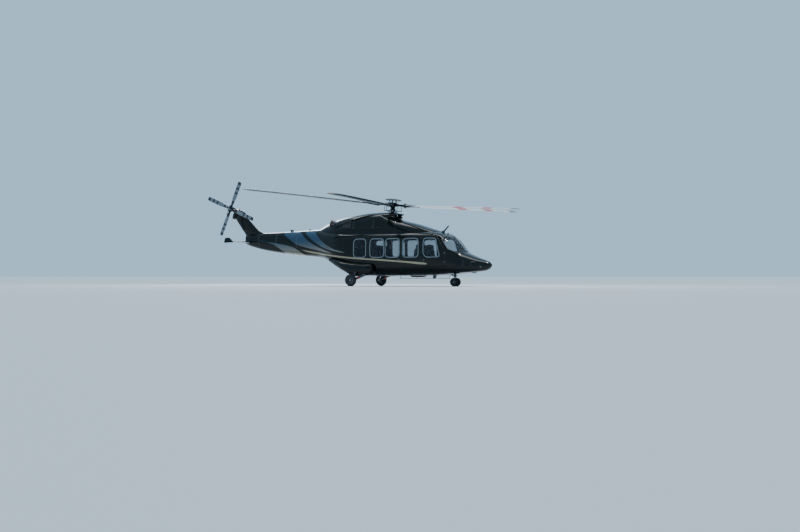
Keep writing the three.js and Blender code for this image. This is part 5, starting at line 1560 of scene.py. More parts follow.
def blade_material_of(polygon):
    """0 for the top, 1 for the underside, 2 for the strip on the leading edge."""
    r, y, _ = polygon.center
    if not 1.5 < r < 6.85:
        return 0 if polygon.normal.z > 0 else 1
    _, lead, chord, _, _ = row_at(BLADE, r)
    if y > lead - 0.09 * chord:
        return 2
    return 0 if polygon.normal.z > 0 else 1


blade_stations = stations(0.62, 1.8, 0.04) + stations(1.95, 6.3, 0.15) + stations(6.34, 6.88, 0.03) + [6.9]
blade_shape = loft("blade_shape", [blade_ring(r, row_at(BLADE, r)) for r in blade_stations])
smooth = copy_of(blade_shape, "blade_smooth")
combine(blade_shape, block("slot", 0.0, 0.761, -0.0753, 0.0753, -0.0523, 0.0523), "DIFFERENCE")
combine(blade_shape, block("damper_slot", 0.0, 0.645, 0.035, 0.16, -0.045, 0.055), "DIFFERENCE")
painted(blade_shape, blade_top, shaded_blade_underside, erosion_strip)
for polygon in blade_shape.data.polygons:
    polygon.material_index = blade_material_of(polygon)
skin_normals(blade_shape, [smooth])
for i in range(BLADE_COUNT):
    blade = copy_of(blade_shape, f"main_blade_{i + 1}_skin")
    place(blade, Matrix.Rotation(FIRST_BLADE + 2 * math.pi * i / BLADE_COUNT, 4, "Z"))
    on_mast(blade, node=f"main_blade_{i + 1}")
drop(blade_shape, smooth)
print("main blades done")

# %% [markdown]
# ## Tail rotor
# Four blades stand round a crossed hub on the starboard side of the fin. It is drawn about its own centre with its
# axle along Y. The light and dark bands on the blades make a grey ring when it turns.

# %% Tail blade paint
# The light bands are a darkened bluish grey: painted shade over their paler paint.
SHADED_LIGHT_BAND, DARK_BAND = "#6d767c", "#101316"
tail_paint = banded("tail_blade_polyurethane", 2.0, tuple(TAIL_HUB), (0, 0, 0), (1, 0, 1),
                    [(0, DARK_BAND), (0.4, SHADED_LIGHT_BAND), (0.75, DARK_BAND), (0.83, SHADED_LIGHT_BAND), (0.97, DARK_BAND),
                     (1.06, SHADED_LIGHT_BAND), (1.21, DARK_BAND)], 0.35)
print("tail blade paint has", len(tail_paint.node_tree.nodes), "nodes")

# %% [markdown]
# ## Tail blades
# They are short, wide and twisted at the root. Each blade is lofted along +Z, slotted for its arm and turned to its
# place about the Y axis.

# %% Tail blades
TAIL_LEAN = math.radians(23)
TAIL = Matrix.Translation(TAIL_HUB)
TAIL_BLADE = [(1.35, 0.075, 0.16, 0.012), (1.2, 0.095, 0.19, 0.022), (0.51, 0.095, 0.19, 0.028),
              (0.43, 0.075, 0.15, 0.066), (0.24, 0.072, 0.144, 0.1)]
TAIL_PITCH = math.radians(7)


def tail_ring(r, row):
    """One section of a tail blade, pitched outboard of its cuff."""
    _, lead, chord, thick = row
    pitch = TAIL_PITCH * min(1.0, max(0.0, (r - 0.34) / 0.2))
    c, s = math.cos(pitch), math.sin(pitch)
    return [((lead + along) * c - up * s, (lead + along) * s + up * c, r) for along, up in aerofoil(chord, thick)]


tail_shape = loft("tail_shape", [tail_ring(r, row_at(TAIL_BLADE, r)) for r in
                                 stations(0.24, 0.56, 0.02) + stations(0.62, 1.3, 0.08) + [1.325, 1.34, 1.35]])
smooth = copy_of(tail_shape, "tail_smooth")
combine(tail_shape, block("slot", -0.0503, 0.0503, -0.0323, 0.0323, 0.0, 0.331), "DIFFERENCE")
painted(tail_shape, tail_paint, erosion_strip)
for polygon in tail_shape.data.polygons:
    x, _, r = polygon.center
    polygon.material_index = 1 if 0.5 < r and x > row_at(TAIL_BLADE, min(r, 1.349))[1] - 0.012 else 0
skin_normals(tail_shape, [smooth])
for i in range(4):
    blade = copy_of(tail_shape, f"tail_blade_{i + 1}_skin")
    place(blade, TAIL @ Matrix.Rotation(TAIL_LEAN + math.pi / 2 * i, 4, "Y"))
    fitted(blade, "tail_rotor", f"tail_blade_{i + 1}")
drop(tail_shape, smooth)
print("tail blades done")

# %% [markdown]
# ## Tail rotor head
# A disc with four arms holds the blades, and a sliding star outside it pushes four links that turn them. Both are
# turned parts, with the links repeated by the tree.

# %% Tail rotor head
tail_parts = [
    lathe("tail_hub", [(0, -0.118), (0.035, -0.118), (0.06, -0.1), (0.066, -0.06), (0.1, -0.055), (0.142, -0.048),
                       (0.15, -0.036), (0.15, 0.036), (0.142, 0.048), (0.09, 0.055), (0.048, 0.065), (0.045, 0.199),
                       (0, 0.199)], 64, hub_coating, "Y"),
    lathe("slider", [(0, -0.2), (0.045, -0.2), (0.055, -0.19), (0.055, -0.165), (0.03, -0.15), (0.03, -0.1),
                     (0, -0.1)], 40, bare_steel, "Y"),
]
arm = loft("arm", [[(a, b, r) for a, b in squircle(wide, high, 4.5)] for r, wide, high in
                   ((0.1, 0.048, 0.03), (0.2, 0.05, 0.032), (0.3, 0.05, 0.032), (0.329, 0.046, 0.028))])
tail_parts.append(repeat_round("tail_arms", sharpened(arm), hub_coating, 4, TAIL_LEAN, (0, 1, 0)))
horn = merged("horn", [
    sharpened(loft("finger", [[(a, b - 0.178, r) for a, b in squircle(wide, 0.009, 4)] for r, wide in
                              ((0.03, 0.02), (0.11, 0.016), (0.15, 0.012))])),
    rod("link", (0.0, -0.178, 0.145), (0.085, -0.05, 0.27), 0.0085, 0.0085, 10),
    rod("ear", (0.085, -0.06, 0.27), (0.075, 0.0, 0.29), 0.018, 0.024, 16),
    rod("cuff_pin", (0.0, -0.06, 0.29), (0.0, 0.06, 0.29), 0.014, 0.014, 12, rounding=0.003),
])
tail_parts.append(repeat_round("tail_links", horn, bare_steel, 4, TAIL_LEAN, (0, 1, 0)))
tail_head = place(merged("tail_rotor_head_assembly", tail_parts), TAIL)
fitted(tail_head, "tail_rotor", "tail_rotor_head")
print("tail rotor done")

# %% [markdown]
# ## Wheels
# A tyre is a closed profile turned round its axle: two beads, a bulging side wall and a ribbed tread. The rim is a
# second closed profile, split into two halves by its bolts. Turned shapes keep their roundness at any distance.

# %% Tyre rubber and rim paint
# Vulcanised rubber: dull, dusted brown in patches 11 cm wide, with a moulded grain of 4.5 mm.
tyre_rubber = surface("aircraft_tyre_rubber", "#1b1c1d", 0.8, patches=dict(Scale=9.0, Detail=6.0),
                      tones=[(0.35, "#131415"), (0.7, "#2b2a28")], gloss=(0.65, 0.92),
                      relief=dict(Scale=220.0, Detail=3.0), depth=0.0008, strength=0.35)
# Epoxy paint on forged aluminium rims. Brake dust dulls and darkens it in spots of 33 mm.
rim_paint = surface("rim_paint", "#3a4044", 0.38, 0.3, patches=dict(Scale=30.0, Detail=6.0),
                    tones=[(0.4, "#3c4246"), (0.62, "#2c2b29")], gloss=(0.3, 0.7), Coat_Weight=0.4)
print("wheel finishes made, materials so far:", len(bpy.data.materials))

# %% [markdown]
# ## One wheel
# The nose wheel is the main wheel at a smaller scale, so one function makes both: tyre, rim, bolts, webs, hub cap
# and valve. The scale changes the diameter and a second value the width.

# %% One wheel
def mirrored_profile(half):
    """Closes a profile with its mirror image across the wheel's middle plane; rows are (radius, along)."""
    return half + [(r, -along) for r, along in reversed(half)]


MAIN_TYRE = [(0.150, -0.062), (0.158, -0.071), (0.175, -0.0775), (0.190, -0.0812), (0.205, -0.0825),
             (0.219, -0.0818), (0.232, -0.0785), (0.2425, -0.073), (0.2515, -0.0655), (0.258, -0.057),
             (0.2625, -0.048), (0.2655, -0.041), (0.2595, -0.039), (0.2595, -0.034), (0.268, -0.032),
             (0.2695, -0.02), (0.263, -0.018), (0.263, -0.012), (0.27, -0.010)]
MAIN_RIM = [(0.034, -0.058), (0.060, -0.058), (0.066, -0.050), (0.068, -0.022), (0.080, -0.018), (0.118, -0.014),
            (0.128, -0.030), (0.136, -0.056), (0.150, -0.062), (0.160, -0.064), (0.1625, -0.068), (0.160, -0.072),
            (0.154, -0.072), (0.1485, -0.066), (0.146, -0.055)]


def wheel(name, scale, wide, side):
    """A tyre on its rim, about an axle along Y."""
    tyre = [(r * scale, along * wide) for r, along in MAIN_TYRE]
    rim = [(r * scale, along * wide) for r, along in MAIN_RIM]
    parts = [lathe(f"{name}_tyre", mirrored_profile(tyre), 96, tyre_rubber, "Y", closed=True),
             lathe(f"{name}_rim", mirrored_profile([(max(r, 0.004), a) for r, a in rim]), 72, rim_paint, "Y",
                   closed=True)]
    bolt = rod("bolt", (0.095 * scale, -0.024, 0), (0.095 * scale, 0.024, 0), 0.0065 * scale, sides=6, rounding=0.001)
    parts.append(repeat_round("bolts", bolt, bare_steel, 8, axis=(0, 1, 0)))
    web = rod("web", (0.08 * scale, 0, 0), (0.125 * scale, 0, 0), 0.006, 0.009, sides=12)
    parts.append(repeat_round("webs", web, rim_paint, 16, math.radians(11.25), (0, 1, 0)))
    cap = lathe("cap", [(0, 0.066), (0.024, 0.065), (0.034, 0.058), (0.039, 0.046), (0.039, 0.03), (0, 0.03)], 40,
                bare_steel, "Y")
    place(cap, Matrix.Diagonal((scale, side * scale, scale, 1)))
    parts.append(outward_faces(cap))
    valve = rod("valve", (0.1225 * scale, side * 0.018, 0.02), (0.128 * scale, side * 0.045, 0.02), 0.0042, 0.003,
                sides=10, material=seal_rubber)
    parts.append(valve)
    return parts


print("half a tyre's profile has", len(MAIN_TYRE), "points")

# %% [markdown]
# ## Wheels in place
# Each main wheel turns on its own body. The two nose wheels share one axle and one body, so they are joined with
# it.

# %% Wheels on their axles
MAIN_AXLE = Vector((-1.35, 1.52, -0.18))
NOSE_AXLE = Vector((3.05, 0.15, -0.26))
for name, side in SIDES:
    whole = merged(f"main_wheel_{name}_dressed", wheel("main", 1.0, 1.0, side))
    place(whole, Matrix.Translation((MAIN_AXLE.x, side * MAIN_AXLE.y, MAIN_AXLE.z)))
    fitted(whole, f"main_wheel_{name}", f"main_wheel_{name}")
NOSE_SCALE = 0.19 / 0.27
NOSE_WIDE = 0.12 / 0.165
twins = []
for side in (-1, 1):
    twins.append(place(merged("nose_wheel", wheel("nose", NOSE_SCALE, NOSE_WIDE, side)),
                       Matrix.Translation((0, side * NOSE_AXLE.y, 0))))
twins.append(rod("nose_axle", (0, -0.18, 0), (0, 0.18, 0), 0.024, sides=32, material=bare_steel, rounding=0.002))
nose_wheels = place(merged("nose_wheels_dressed", twins), Matrix.Translation((NOSE_AXLE.x, 0, NOSE_AXLE.z)))
fitted(nose_wheels, "nose_wheels", "nose_wheels")
print("wheels", len(nose_wheels.data.polygons), "faces on the twin")

# %% [markdown]
# ## Landing gear legs
# Each main leg is a trailing arm with its oleo strut standing over the axle, and a brake pack inside the wheel. The
# nose leg's lower half steers, so it is its own piece on its own body, with the links that keep it in line.

# %% Gear finishes
# Dark grey enamel on forged legs: glossy where clean, dull and brown with road dirt in patches 7 cm wide.
gear_paint = surface("gear_leg_enamel", "#2b3034", 0.35, patches=dict(Scale=14.0, Detail=8.0, Roughness=0.65),
                     tones=[(0.42, "#2b3034"), (0.6, "#3b3933")], gloss=(0.26, 0.7), Coat_Weight=0.5)
# The same enamel in signal red, which marks the parts that a towing crew looks for.
signal_red = surface("signal_red_enamel", "#a01c17", 0.35, patches=dict(Scale=22.0, Detail=4.0), gloss=(0.25, 0.55),
                     Coat_Weight=0.5)
# Woven sleeve over a rubber hose, with a strand every 2 mm.
hose_rubber = surface("braided_hose", "#232425", 0.6, depth=0.001, strength=0.6,
                      relief=dict(kind="Wave", Scale=160.0, Distortion=2.0, bands_direction="DIAGONAL"))
print("gear finishes made, materials so far:", len(bpy.data.materials))

# %% [markdown]
# ## Main legs
# A forged arm trails back from its pivot to the axle, and an oleo strut stands over the axle to carry the load. Two
# folding links keep the strut from twisting. A hose feeds the brake. Bars and turned parts are enough, because on
# the real leg nearly everything was turned or bored.

# %% Hoses
def pipe(name, points, radius, material, sides=14, steps=8):
    """A round hose or bar bent smoothly through points."""
    return sweep(name, smooth_path(points, steps), lambda t: circle(radius, sides), material)


print("hoses follow a smooth path")

# %% Trailing arm and brake
ARM_Y = 1.33
ARM_TOP = (-0.76, 0.06)
WELL_TOP = 0.19


def cross_bar(name, x, z, y0, y1, side, radius, sides, material, rounding=0.0):
    """A bar that runs outwards from y0 to y1 on one side."""
    return rod(name, (x, side * y0, z), (x, side * y1, z), radius, None, sides, material, rounding)


def trailing_arm(side):
    """The forged arm with its pivot, axle and brake."""
    y = side * ARM_Y
    axle = (MAIN_AXLE.x, MAIN_AXLE.z)
    parts = [
        cross_bar("pivot", *ARM_TOP, 1.2505, 1.4, side, 0.048, 40, gear_paint, 0.006),
        cross_bar("pivot_pin", *ARM_TOP, 1.4, 1.408, side, 0.022, 6, bare_steel),
        rod("arm", (ARM_TOP[0], y, ARM_TOP[1]), (axle[0], y, axle[1]), 0.057, 0.049, 40, gear_paint, 0.008),
        cross_bar("arm_end", *axle, ARM_Y - 0.06, MAIN_AXLE.y - 0.082, side, 0.052, 40, gear_paint, 0.005),
        cross_bar("axle", *axle, ARM_Y - 0.062, 1.578, side, 0.032, 32, bare_steel, 0.003),
        cross_bar("brake_back", *axle, 1.396, 1.407, side, 0.108, 48, gear_paint, 0.004),
        cross_bar("brake_disc", *axle, 1.409, 1.4245, side, 0.112, 60, bare_steel, 0.001),
    ]
    for turn in (25, 95, 205, 310):
        a = math.radians(turn)
        foot = Vector((axle[0] + 0.08 * math.cos(a), side * 1.372, axle[1] + 0.08 * math.sin(a)))
        parts.append(rod("brake_piston", foot, foot + Vector((0, side * 0.03, 0)), 0.021, sides=24,
                         material=gear_paint, rounding=0.003))
    parts.append(rod("red_strip", (-1.0, y, -0.037), (-1.1, y, -0.0777), 0.0562, 0.0545, 40, signal_red))
    return parts


print("the arm pivots at", ARM_TOP)

# %% Oleo strut, links and brake hose
def oleo_strut(side):
    """The strut over the axle with its folding links and the brake's hose."""
    y = side * ARM_Y
    top = Vector((-1.212, y, WELL_TOP - 0.004))
    foot = Vector((-1.296, y, MAIN_AXLE.z + 0.055))
    middle = foot.lerp(top, 0.42)
    parts = [
        rod("strut_barrel", middle, top, 0.0425, sides=48, material=gear_paint, rounding=0.004),
        rod("strut_gland", middle.lerp(foot, 0.02), middle.lerp(top, 0.12), 0.0475, sides=48, material=bare_steel,
            rounding=0.003),
        rod("strut_piston", foot, middle, 0.031, sides=40, material=chrome),
        rod("strut_foot", foot.lerp(top, -0.12), foot.lerp(top, 0.09), 0.043, sides=40, material=gear_paint,
            rounding=0.005),
        block("strut_seat", -1.29, -1.13, *sorted((side * (ARM_Y - 0.07), side * (ARM_Y + 0.07))), 0.164, 0.1885,
              gear_paint),
    ]
    across_links = side * (ARM_Y + 0.052)
    for offset_y in (-0.014, 0.014):
        link_y = across_links + offset_y
        parts += [rod("link", (-1.262, link_y, 0.028), (-1.378, link_y, -0.035), 0.0085, 0.0075, 16, gear_paint,
                      0.002),
                  rod("link", (-1.378, link_y, -0.035), (-1.330, link_y, -0.118), 0.0075, 0.0085, 16, gear_paint,
                      0.002)]
    parts.append(rod("link_pin", (-1.378, across_links - 0.024, -0.035), (-1.378, across_links + 0.024, -0.035),
                     0.0085, sides=16, material=bare_steel))
    parts.append(pipe("brake_hose", [(-1.225, y - side * 0.045, 0.16), (-1.20, y - side * 0.062, 0.06),
                                     (-1.235, y - side * 0.060, -0.06), (-1.33, y + side * 0.015, -0.10),
                                     (-1.36, side * 1.374, -0.11)], 0.0065, hose_rubber))
    return parts


for name, side in SIDES:
    leg = merged(f"main_gear_leg_{name}_dressed", trailing_arm(side) + oleo_strut(side))
    fitted(leg, "root", f"main_gear_leg_{name}")
print("main leg has", len(leg.data.polygons), "faces")

# %% [markdown]
# ## Nose leg
# The nose leg stands in its bay with a brace running aft, and two small jacks steer it. The cylinder stays on the
# hull. The piston, fork and links below it turn with the wheels, so they are a piece of their own that rides on the
# steered body.

# %% Nose strut and its brace
nose_x, nose_z = NOSE_AXLE.x, NOSE_AXLE.z
LEG_LOW = -0.06
BAY_TOP = 0.208
strut = rod("nose_cylinder", (nose_x, 0, LEG_LOW), (nose_x, 0, BAY_TOP - 0.004), 0.052, sides=56,
            material=gear_paint, rounding=0.004)
gland = rod("nose_gland", (nose_x, 0, LEG_LOW), (nose_x, 0, LEG_LOW + 0.04), 0.0655, sides=56,
            material=gear_paint, rounding=0.006)
bore = rod("bore", (nose_x, 0, LEG_LOW - 0.02), (nose_x, 0, LEG_LOW + 0.19), 0.0285, sides=48)
combine(combine(strut, gland, "UNION"), bore, "DIFFERENCE")
parts = [
    sharpened(strut),
    block("nose_seat", nose_x - 0.09, nose_x + 0.09, -0.15, 0.15, BAY_TOP - 0.033, BAY_TOP - 0.003,
          gear_paint),
    rod("nose_brace", (nose_x, 0, LEG_LOW + 0.025), (2.722, 0, BAY_TOP - 0.032), 0.022, 0.026, 32, gear_paint,
        0.003),
    rod("brace_gland", (2.93, 0, 0.031), (2.86, 0, 0.0815), 0.029, sides=32, material=bare_steel, rounding=0.003),
    block("brace_seat", 2.67, 2.77, -0.06, 0.06, BAY_TOP - 0.033, BAY_TOP - 0.003, gear_paint),
]
for side in (-1, 1):
    parts.append(rod("steering_jack", (nose_x - 0.05, side * 0.055, 0.04), (nose_x + 0.07, side * 0.055, 0.04),
                     0.017, sides=28, material=gear_paint, rounding=0.003))
    parts.append(rod("steering_rod", (nose_x + 0.07, side * 0.055, 0.04), (nose_x + 0.085, side * 0.055, 0.04),
                     0.008, sides=16, material=chrome))
nose_strut = merged("nose_gear_strut_dressed", parts)
fitted(nose_strut, "root", "nose_gear_strut")
print("nose strut has", len(nose_strut.data.polygons), "faces")

# %% Lower nose leg, which steers
piston = rod("nose_piston", (nose_x, 0, nose_z + 0.06), (nose_x, 0, LEG_LOW + 0.17), 0.027, sides=48,
             material=chrome)
housing = rod("axle_housing", (nose_x, -0.062, nose_z), (nose_x, 0.062, nose_z), 0.046, sides=48,
              material=gear_paint, rounding=0.005)
fork = lathe("fork", [(0, 0.02), (0.046, 0.02), (0.045, 0.045), (0.036, 0.068), (0.031, 0.084), (0, 0.084)], 48,
             gear_paint)
place(fork, Matrix.Translation((nose_x, 0, nose_z)))
combine(housing, fork, "UNION")
combine(housing, rod("bore", (nose_x, -0.08, nose_z), (nose_x, 0.08, nose_z), 0.0255, sides=40),
        "DIFFERENCE")
collar = rod("steering_collar", (nose_x, 0, LEG_LOW - 0.045), (nose_x, 0, LEG_LOW - 0.01), 0.046, sides=48,
             material=gear_paint, rounding=0.004)
parts = [piston, sharpened(housing), collar]
knee = (nose_x - 0.13, LEG_LOW - 0.085)
for y in (-0.022, 0.022):
    parts += [rod("upper_link", (nose_x - 0.038, y, LEG_LOW - 0.028), (knee[0], y, knee[1]), 0.010, 0.009, 20,
                  gear_paint, 0.002),
              rod("lower_link", (knee[0], y, knee[1]), (nose_x - 0.03, y, nose_z + 0.03), 0.009, 0.010, 20,
                  gear_paint, 0.002)]
parts.append(rod("knee_pin", (knee[0], -0.034, knee[1]), (knee[0], 0.034, knee[1]), 0.0135, sides=24,
                 material=bare_steel, rounding=0.002))
parts.append(rod("towing_lug", (nose_x + 0.03, 0, nose_z + 0.01), (nose_x + 0.065, 0, nose_z + 0.005),
             0.013, 0.011, 24, signal_red, 0.003))
lower = merged("nose_gear_lower_leg_dressed", parts)
fitted(lower, "nose_leg", "nose_gear_lower_leg")
print("lower nose leg has", len(lower.data.polygons), "faces")

# %% [markdown]
# ## Seat cushions
# A seat pad is foam in leather, sewn along two seams that mark off its side bolsters. It bulges between the seams.
# Cloth simulation gives that bulge: the form is filled with pressure while its seams and its underside are held.
# One pad of each kind is blown up and then copied to every seat.

# %% Leather and thread
# Embossed cowhide, dyed brown: soft broad highlights over pebbles of 3 mm, and paler where it is sat on.
seat_leather = surface("pebbled_cowhide", "#3b2d24", 0.45, patches=dict(Scale=6.0, Detail=5.0),
                       tones=[(0.35, "#35281f"), (0.7, "#493829")], gloss=(0.36, 0.58),
                       relief=dict(kind="Voronoi", Scale=330.0, feature="SMOOTH_F1"), depth=0.0007, strength=0.5,
                       Sheen_Weight=0.08)
# Waxed linen thread, twisted every 0.75 mm, paler than the leather so that the seams read.
thread = surface("waxed_thread", "#b39a74", 0.6, relief=dict(kind="Wave", Scale=420.0, bands_direction="DIAGONAL"),
                 depth=0.0003, strength=0.5)
# Woven polyester webbing with a rib every 1.7 mm. The ribs catch light on their crowns only.
webbing = surface("woven_belt_webbing", "#26282b", 0.7, patches=dict(kind="Wave", Scale=190.0, bands_direction="Z"),
                  gloss=(0.6, 0.8), relief=dict(kind="Wave", Scale=190.0, bands_direction="Z"), depth=0.0008,
                  strength=0.5, Sheen_Weight=0.15)
# Vacuum-formed plastic with a fine grain of 2 mm, scuffed to a shine in patches 9 cm wide.
shell_plastic = surface("moulded_seat_shell", "#3a3d40", 0.5, patches=dict(Scale=11.0, Detail=7.0),
                        gloss=(0.38, 0.66), relief=dict(Scale=500.0, Detail=2.0), depth=0.0005, strength=0.4)
print("seat finishes made, materials so far:", len(bpy.data.materials))

# %% Form and seams of a pad
BOLSTER_SEAM = 0.125
SEAM_WIDTH = 0.009
STITCH = 0.008


def pad_form(name, long, wide, thick, corner=6.0):
    """A flat pad with softened rims, lying about the origin: long along X, wide along Y."""
    rings = []
    for share, shrink in ((0, 0.034), (0.07, 0.013), (0.2, 0.003), (0.5, 0), (0.8, 0.003), (0.93, 0.013), (1, 0.034)):
        outline = squircle(long / 2 - shrink, wide / 2 - shrink, corner, 72)
        rings.append([(a, b, (share - 0.5) * thick) for a, b in outline])
    return loft(name, rings)


def is_sewn(point, long, thick, seam=BOLSTER_SEAM):
    """True on the seams of a pad's upper face and on its underside."""
    if point.z < -thick * 0.3:
        return True
    if point.z < thick * 0.2:
        return False
    on_bolster = abs(abs(point.y) - seam) < SEAM_WIDTH
    across_seam = abs(point.y) < seam and abs(point.x - long * 0.12) < SEAM_WIDTH
    return on_bolster or across_seam


print("a seam is", round(2000 * SEAM_WIDTH), "mm wide")

# %% Blowing up a pad
def inflated(name, long, wide, thick, voxel, most, seam=BOLSTER_SEAM):
    """A pad blown up by cloth pressure, held at its seams; no point moves more than `most` metres."""
    pad = pad_form(name, long - 0.016, wide - 0.016, thick - 0.02)
    remesh = pad.modifiers.new("even_grid", "REMESH")
    remesh.mode = "VOXEL"
    remesh.voxel_size = voxel
    bake(pad)
    before = [v.co.copy() for v in pad.data.vertices]
    held = pad.vertex_groups.new(name="sewn")
    held.add([v.index for v in pad.data.vertices if is_sewn(v.co, long, thick, seam)], 1.0, "ADD")
    cloth = pad.modifiers.new("foam_pressure", "CLOTH")
    cloth.settings.use_pressure = True
    cloth.settings.uniform_pressure_force = 4.0
    cloth.settings.vertex_group_mass = "sewn"
    cloth.settings.effector_weights.gravity = 0.0
    for moment in range(1, 21):
        bpy.context.scene.frame_set(moment)
    bake(pad)
    bpy.context.scene.frame_set(1)
    for vertex, start in zip(pad.data.vertices, before):
        moved = vertex.co - start
        if moved.length > most:
            vertex.co = start + moved * (most / moved.length)
    pad.vertex_groups.clear()
    finer = pad.modifiers.new("finer", "SUBSURF")
    finer.levels = finer.render_levels = 1
    bake(pad)
    painted(pad, seat_leather).data.shade_smooth()
    return pad


print("pads are blown up over 20 frames")

# %% Stitches
def stitch_spots(pad, long):
    """Spots every 8 mm beside the two bolster seams, on the pad's upper face."""
    cover = BVHTree.FromPolygons([v.co for v in pad.data.vertices], [tuple(p.vertices) for p in pad.data.polygons])
    spots = []
    for side in (-1, 1):
        for row in (-0.006, 0.006):
            y = side * BOLSTER_SEAM + row
            previous = None
            for k in range(int((long - 0.08) / STITCH)):
                x = -long / 2 + 0.04 + STITCH * k
                spot = cover.ray_cast(Vector((x, y, 0.5)), Vector((0, 0, -1)))[0]
                if spot and previous:
                    spots.append((tuple(spot), tuple((spot - previous).normalized())))
                previous = spot
    return spots


print("stitches stand", round(STITCH * 1000), "mm apart")

# %% Pads blown up with cloth
PAD_SIZES = {"base": (0.47, 0.40, 0.13), "back": (0.60, 0.40, 0.095), "head": (0.15, 0.24, 0.08)}


def pad_set(name, voxel, head_voxel):
    """The three pads of one seat; the head pad has no seams."""
    return {"base": inflated(f"{name}_base_pad", *PAD_SIZES["base"], voxel, 0.020),
            "back": inflated(f"{name}_back_pad", *PAD_SIZES["back"], voxel, 0.018),
            "head": inflated(f"{name}_head_pad", *PAD_SIZES["head"], head_voxel, 0.012, 0.3)}


PILOT_PADS = pad_set("pilot", 0.014, 0.012)
CABIN_PADS = pad_set("cabin", 0.023, 0.020)
PAD_PLACES = {
    "base": Matrix.Translation((0.02, 0, 0.585)) @ Matrix.Rotation(math.radians(-3), 4, "Y"),
    "back": Matrix.Translation((-0.175, 0, 0.93)) @ Matrix.Rotation(math.radians(81), 4, "Y")
            @ Matrix.Rotation(math.pi, 4, "Z"),
    "head": Matrix.Translation((-0.228, 0, 1.31)) @ Matrix.Rotation(math.radians(81), 4, "Y")
            @ Matrix.Rotation(math.pi, 4, "Z"),
}
print("pads", {key: len(pad.data.polygons) for key, pad in PILOT_PADS.items()})

# %% [markdown]
# ## Seats
# A pilot's seat is a bucket with side wings and arm rests on two rails. The cabin has three rows of four plain
# buckets, and each row stands on two tubes. Straps are flat webbing, carried over the pads as a section on a
# path.

# %% Rounded edges
def softened(made, width):
    """Rounds the sharp edges of a body, as a mould or a file does."""
    step = made.modifiers.new("soften", "BEVEL")
    step.width = width
    step.segments = 3
    step.limit_method = "ANGLE"
    return sharpened(bake(made))


print("edges are rounded by three segments")

# %% Pads on a seat
def seat_place(x, y, facing):
    """Where a seat stands, facing ahead (1) or back (-1)."""
    turn = Matrix.Identity(4) if facing > 0 else Matrix.Rotation(math.pi, 4, "Z")
    return Matrix.Translation((x, y, 0)) @ turn


def add_pads(label, pads, where, node):
    """Sets one seat's three pads in place and hides the seat's node of the CAD."""
    for key, pad in pads.items():
        made = copy_of(pad, f"{label}_{key}_cushion")
        place(made, where @ PAD_PLACES[key])
        fitted(made, "root", node)


print("pads go to", sorted(PAD_PLACES))

# %% Seat shell
def seat_shell(where, winged):
    """The moulded bucket behind and under the pads, with a softened rim."""
    outline = rounded([(-0.23, 0.375), (0.215, 0.375), (0.25, 0.545), (-0.17, 0.545), (-0.262, 1.385),
                       (-0.315, 1.385), (-0.298, 0.55)], 0.03)
    body = across("bucket", outline, -0.205, 0.205)
    painted(body, shell_plastic)
    parts = [softened(body, 0.006)]
    if winged:
        for side in (-1, 1):
            outline = rounded([(-0.29, 0.52), (0.1, 0.52), (0.08, 0.60), (-0.15, 0.66), (-0.22, 1.05), (-0.29, 1.05)],
                              0.03)
            parts.append(painted(across("wing", outline, *sorted((side * 0.198, side * 0.209))), shell_plastic))
            parts.append(pipe("arm_rest", [(-0.2, side * 0.19, 0.78), (-0.05, side * 0.2, 0.79),
                                           (0.1, side * 0.2, 0.785)], 0.014, shell_plastic))
    for part in parts:
        place(part, where)
    return parts


print("a shell is", round((0.205 + 0.205) * 1000), "mm wide")

# %% Belts
def belts(where):
    """Two shoulder straps and a lap belt with its buckle, lying on the pads."""
    flat = [(a * 0.022, b * 0.0016) for a, b in squircle(1, 1, 3, 12)]
    parts = []
    for side in (-1, 1):
        down = smooth_path([(-0.275, side * 0.075, 1.22), (-0.21, side * 0.085, 1.225), (-0.147, side * 0.09, 1.15),
                            (-0.112, side * 0.075, 0.95), (-0.06, side * 0.05, 0.76),
                            (0.015, side * 0.018, 0.665)], 5)
        parts.append(sweep("shoulder_strap", down, lambda t: flat, webbing, (0, 1, 0)))
        lap = smooth_path([(-0.17, side * 0.2, 0.60), (-0.12, side * 0.165, 0.665), (-0.05, side * 0.09, 0.672),
                           (0.015, side * 0.02, 0.668)], 5)
        parts.append(sweep("lap_strap", lap, lambda t: [(b, a) for a, b in flat], webbing))
    parts.append(rod("buckle", (0.02, 0, 0.664), (0.025, 0, 0.684), 0.026, sides=32, material=bare_steel,
                     rounding=0.004))
    for part in parts:
        place(part, where)
    return parts


print("one seat's parts ready")

# %% Pilots' seats
PILOT_SEAT = (2.33, 0.48)
for name, side in SIDES:
    node = f"pilot_seat_{name}"
    where = seat_place(PILOT_SEAT[0], side * PILOT_SEAT[1], 1)
    add_pads(node, PILOT_PADS, where, node)
    parts = seat_shell(where, True) + belts(where)
    for y in (-0.12, 0.12):
        rail = block("seat_rail", -0.22, 0.2, y - 0.016, y + 0.016, FLOOR + SEAT_GAP, 0.275, bare_steel)
        parts.append(place(rail, where))
        for x0, x1 in ((-0.15, -0.2), (0.13, 0.16)):
            parts.append(place(rod("seat_leg", (x0, y, 0.262), (x1, y, 0.385), 0.014, sides=20, material=bare_steel,
                                   rounding=0.002), where))
    fitted(merged(f"{node}_frame", parts), "root", node)
    for key in ("base", "back"):
        needle = rod("stitch", (0, 0, -0.0026), (0, 0, 0.0026), 0.0008, sides=6)
        spots = stitch_spots(PILOT_PADS[key], PAD_SIZES[key][0])
        fitted(place(repeat_on(f"{node}_{key}_stitches", needle, thread, spots), where @ PAD_PLACES[key]))
print("pilots' seats done")

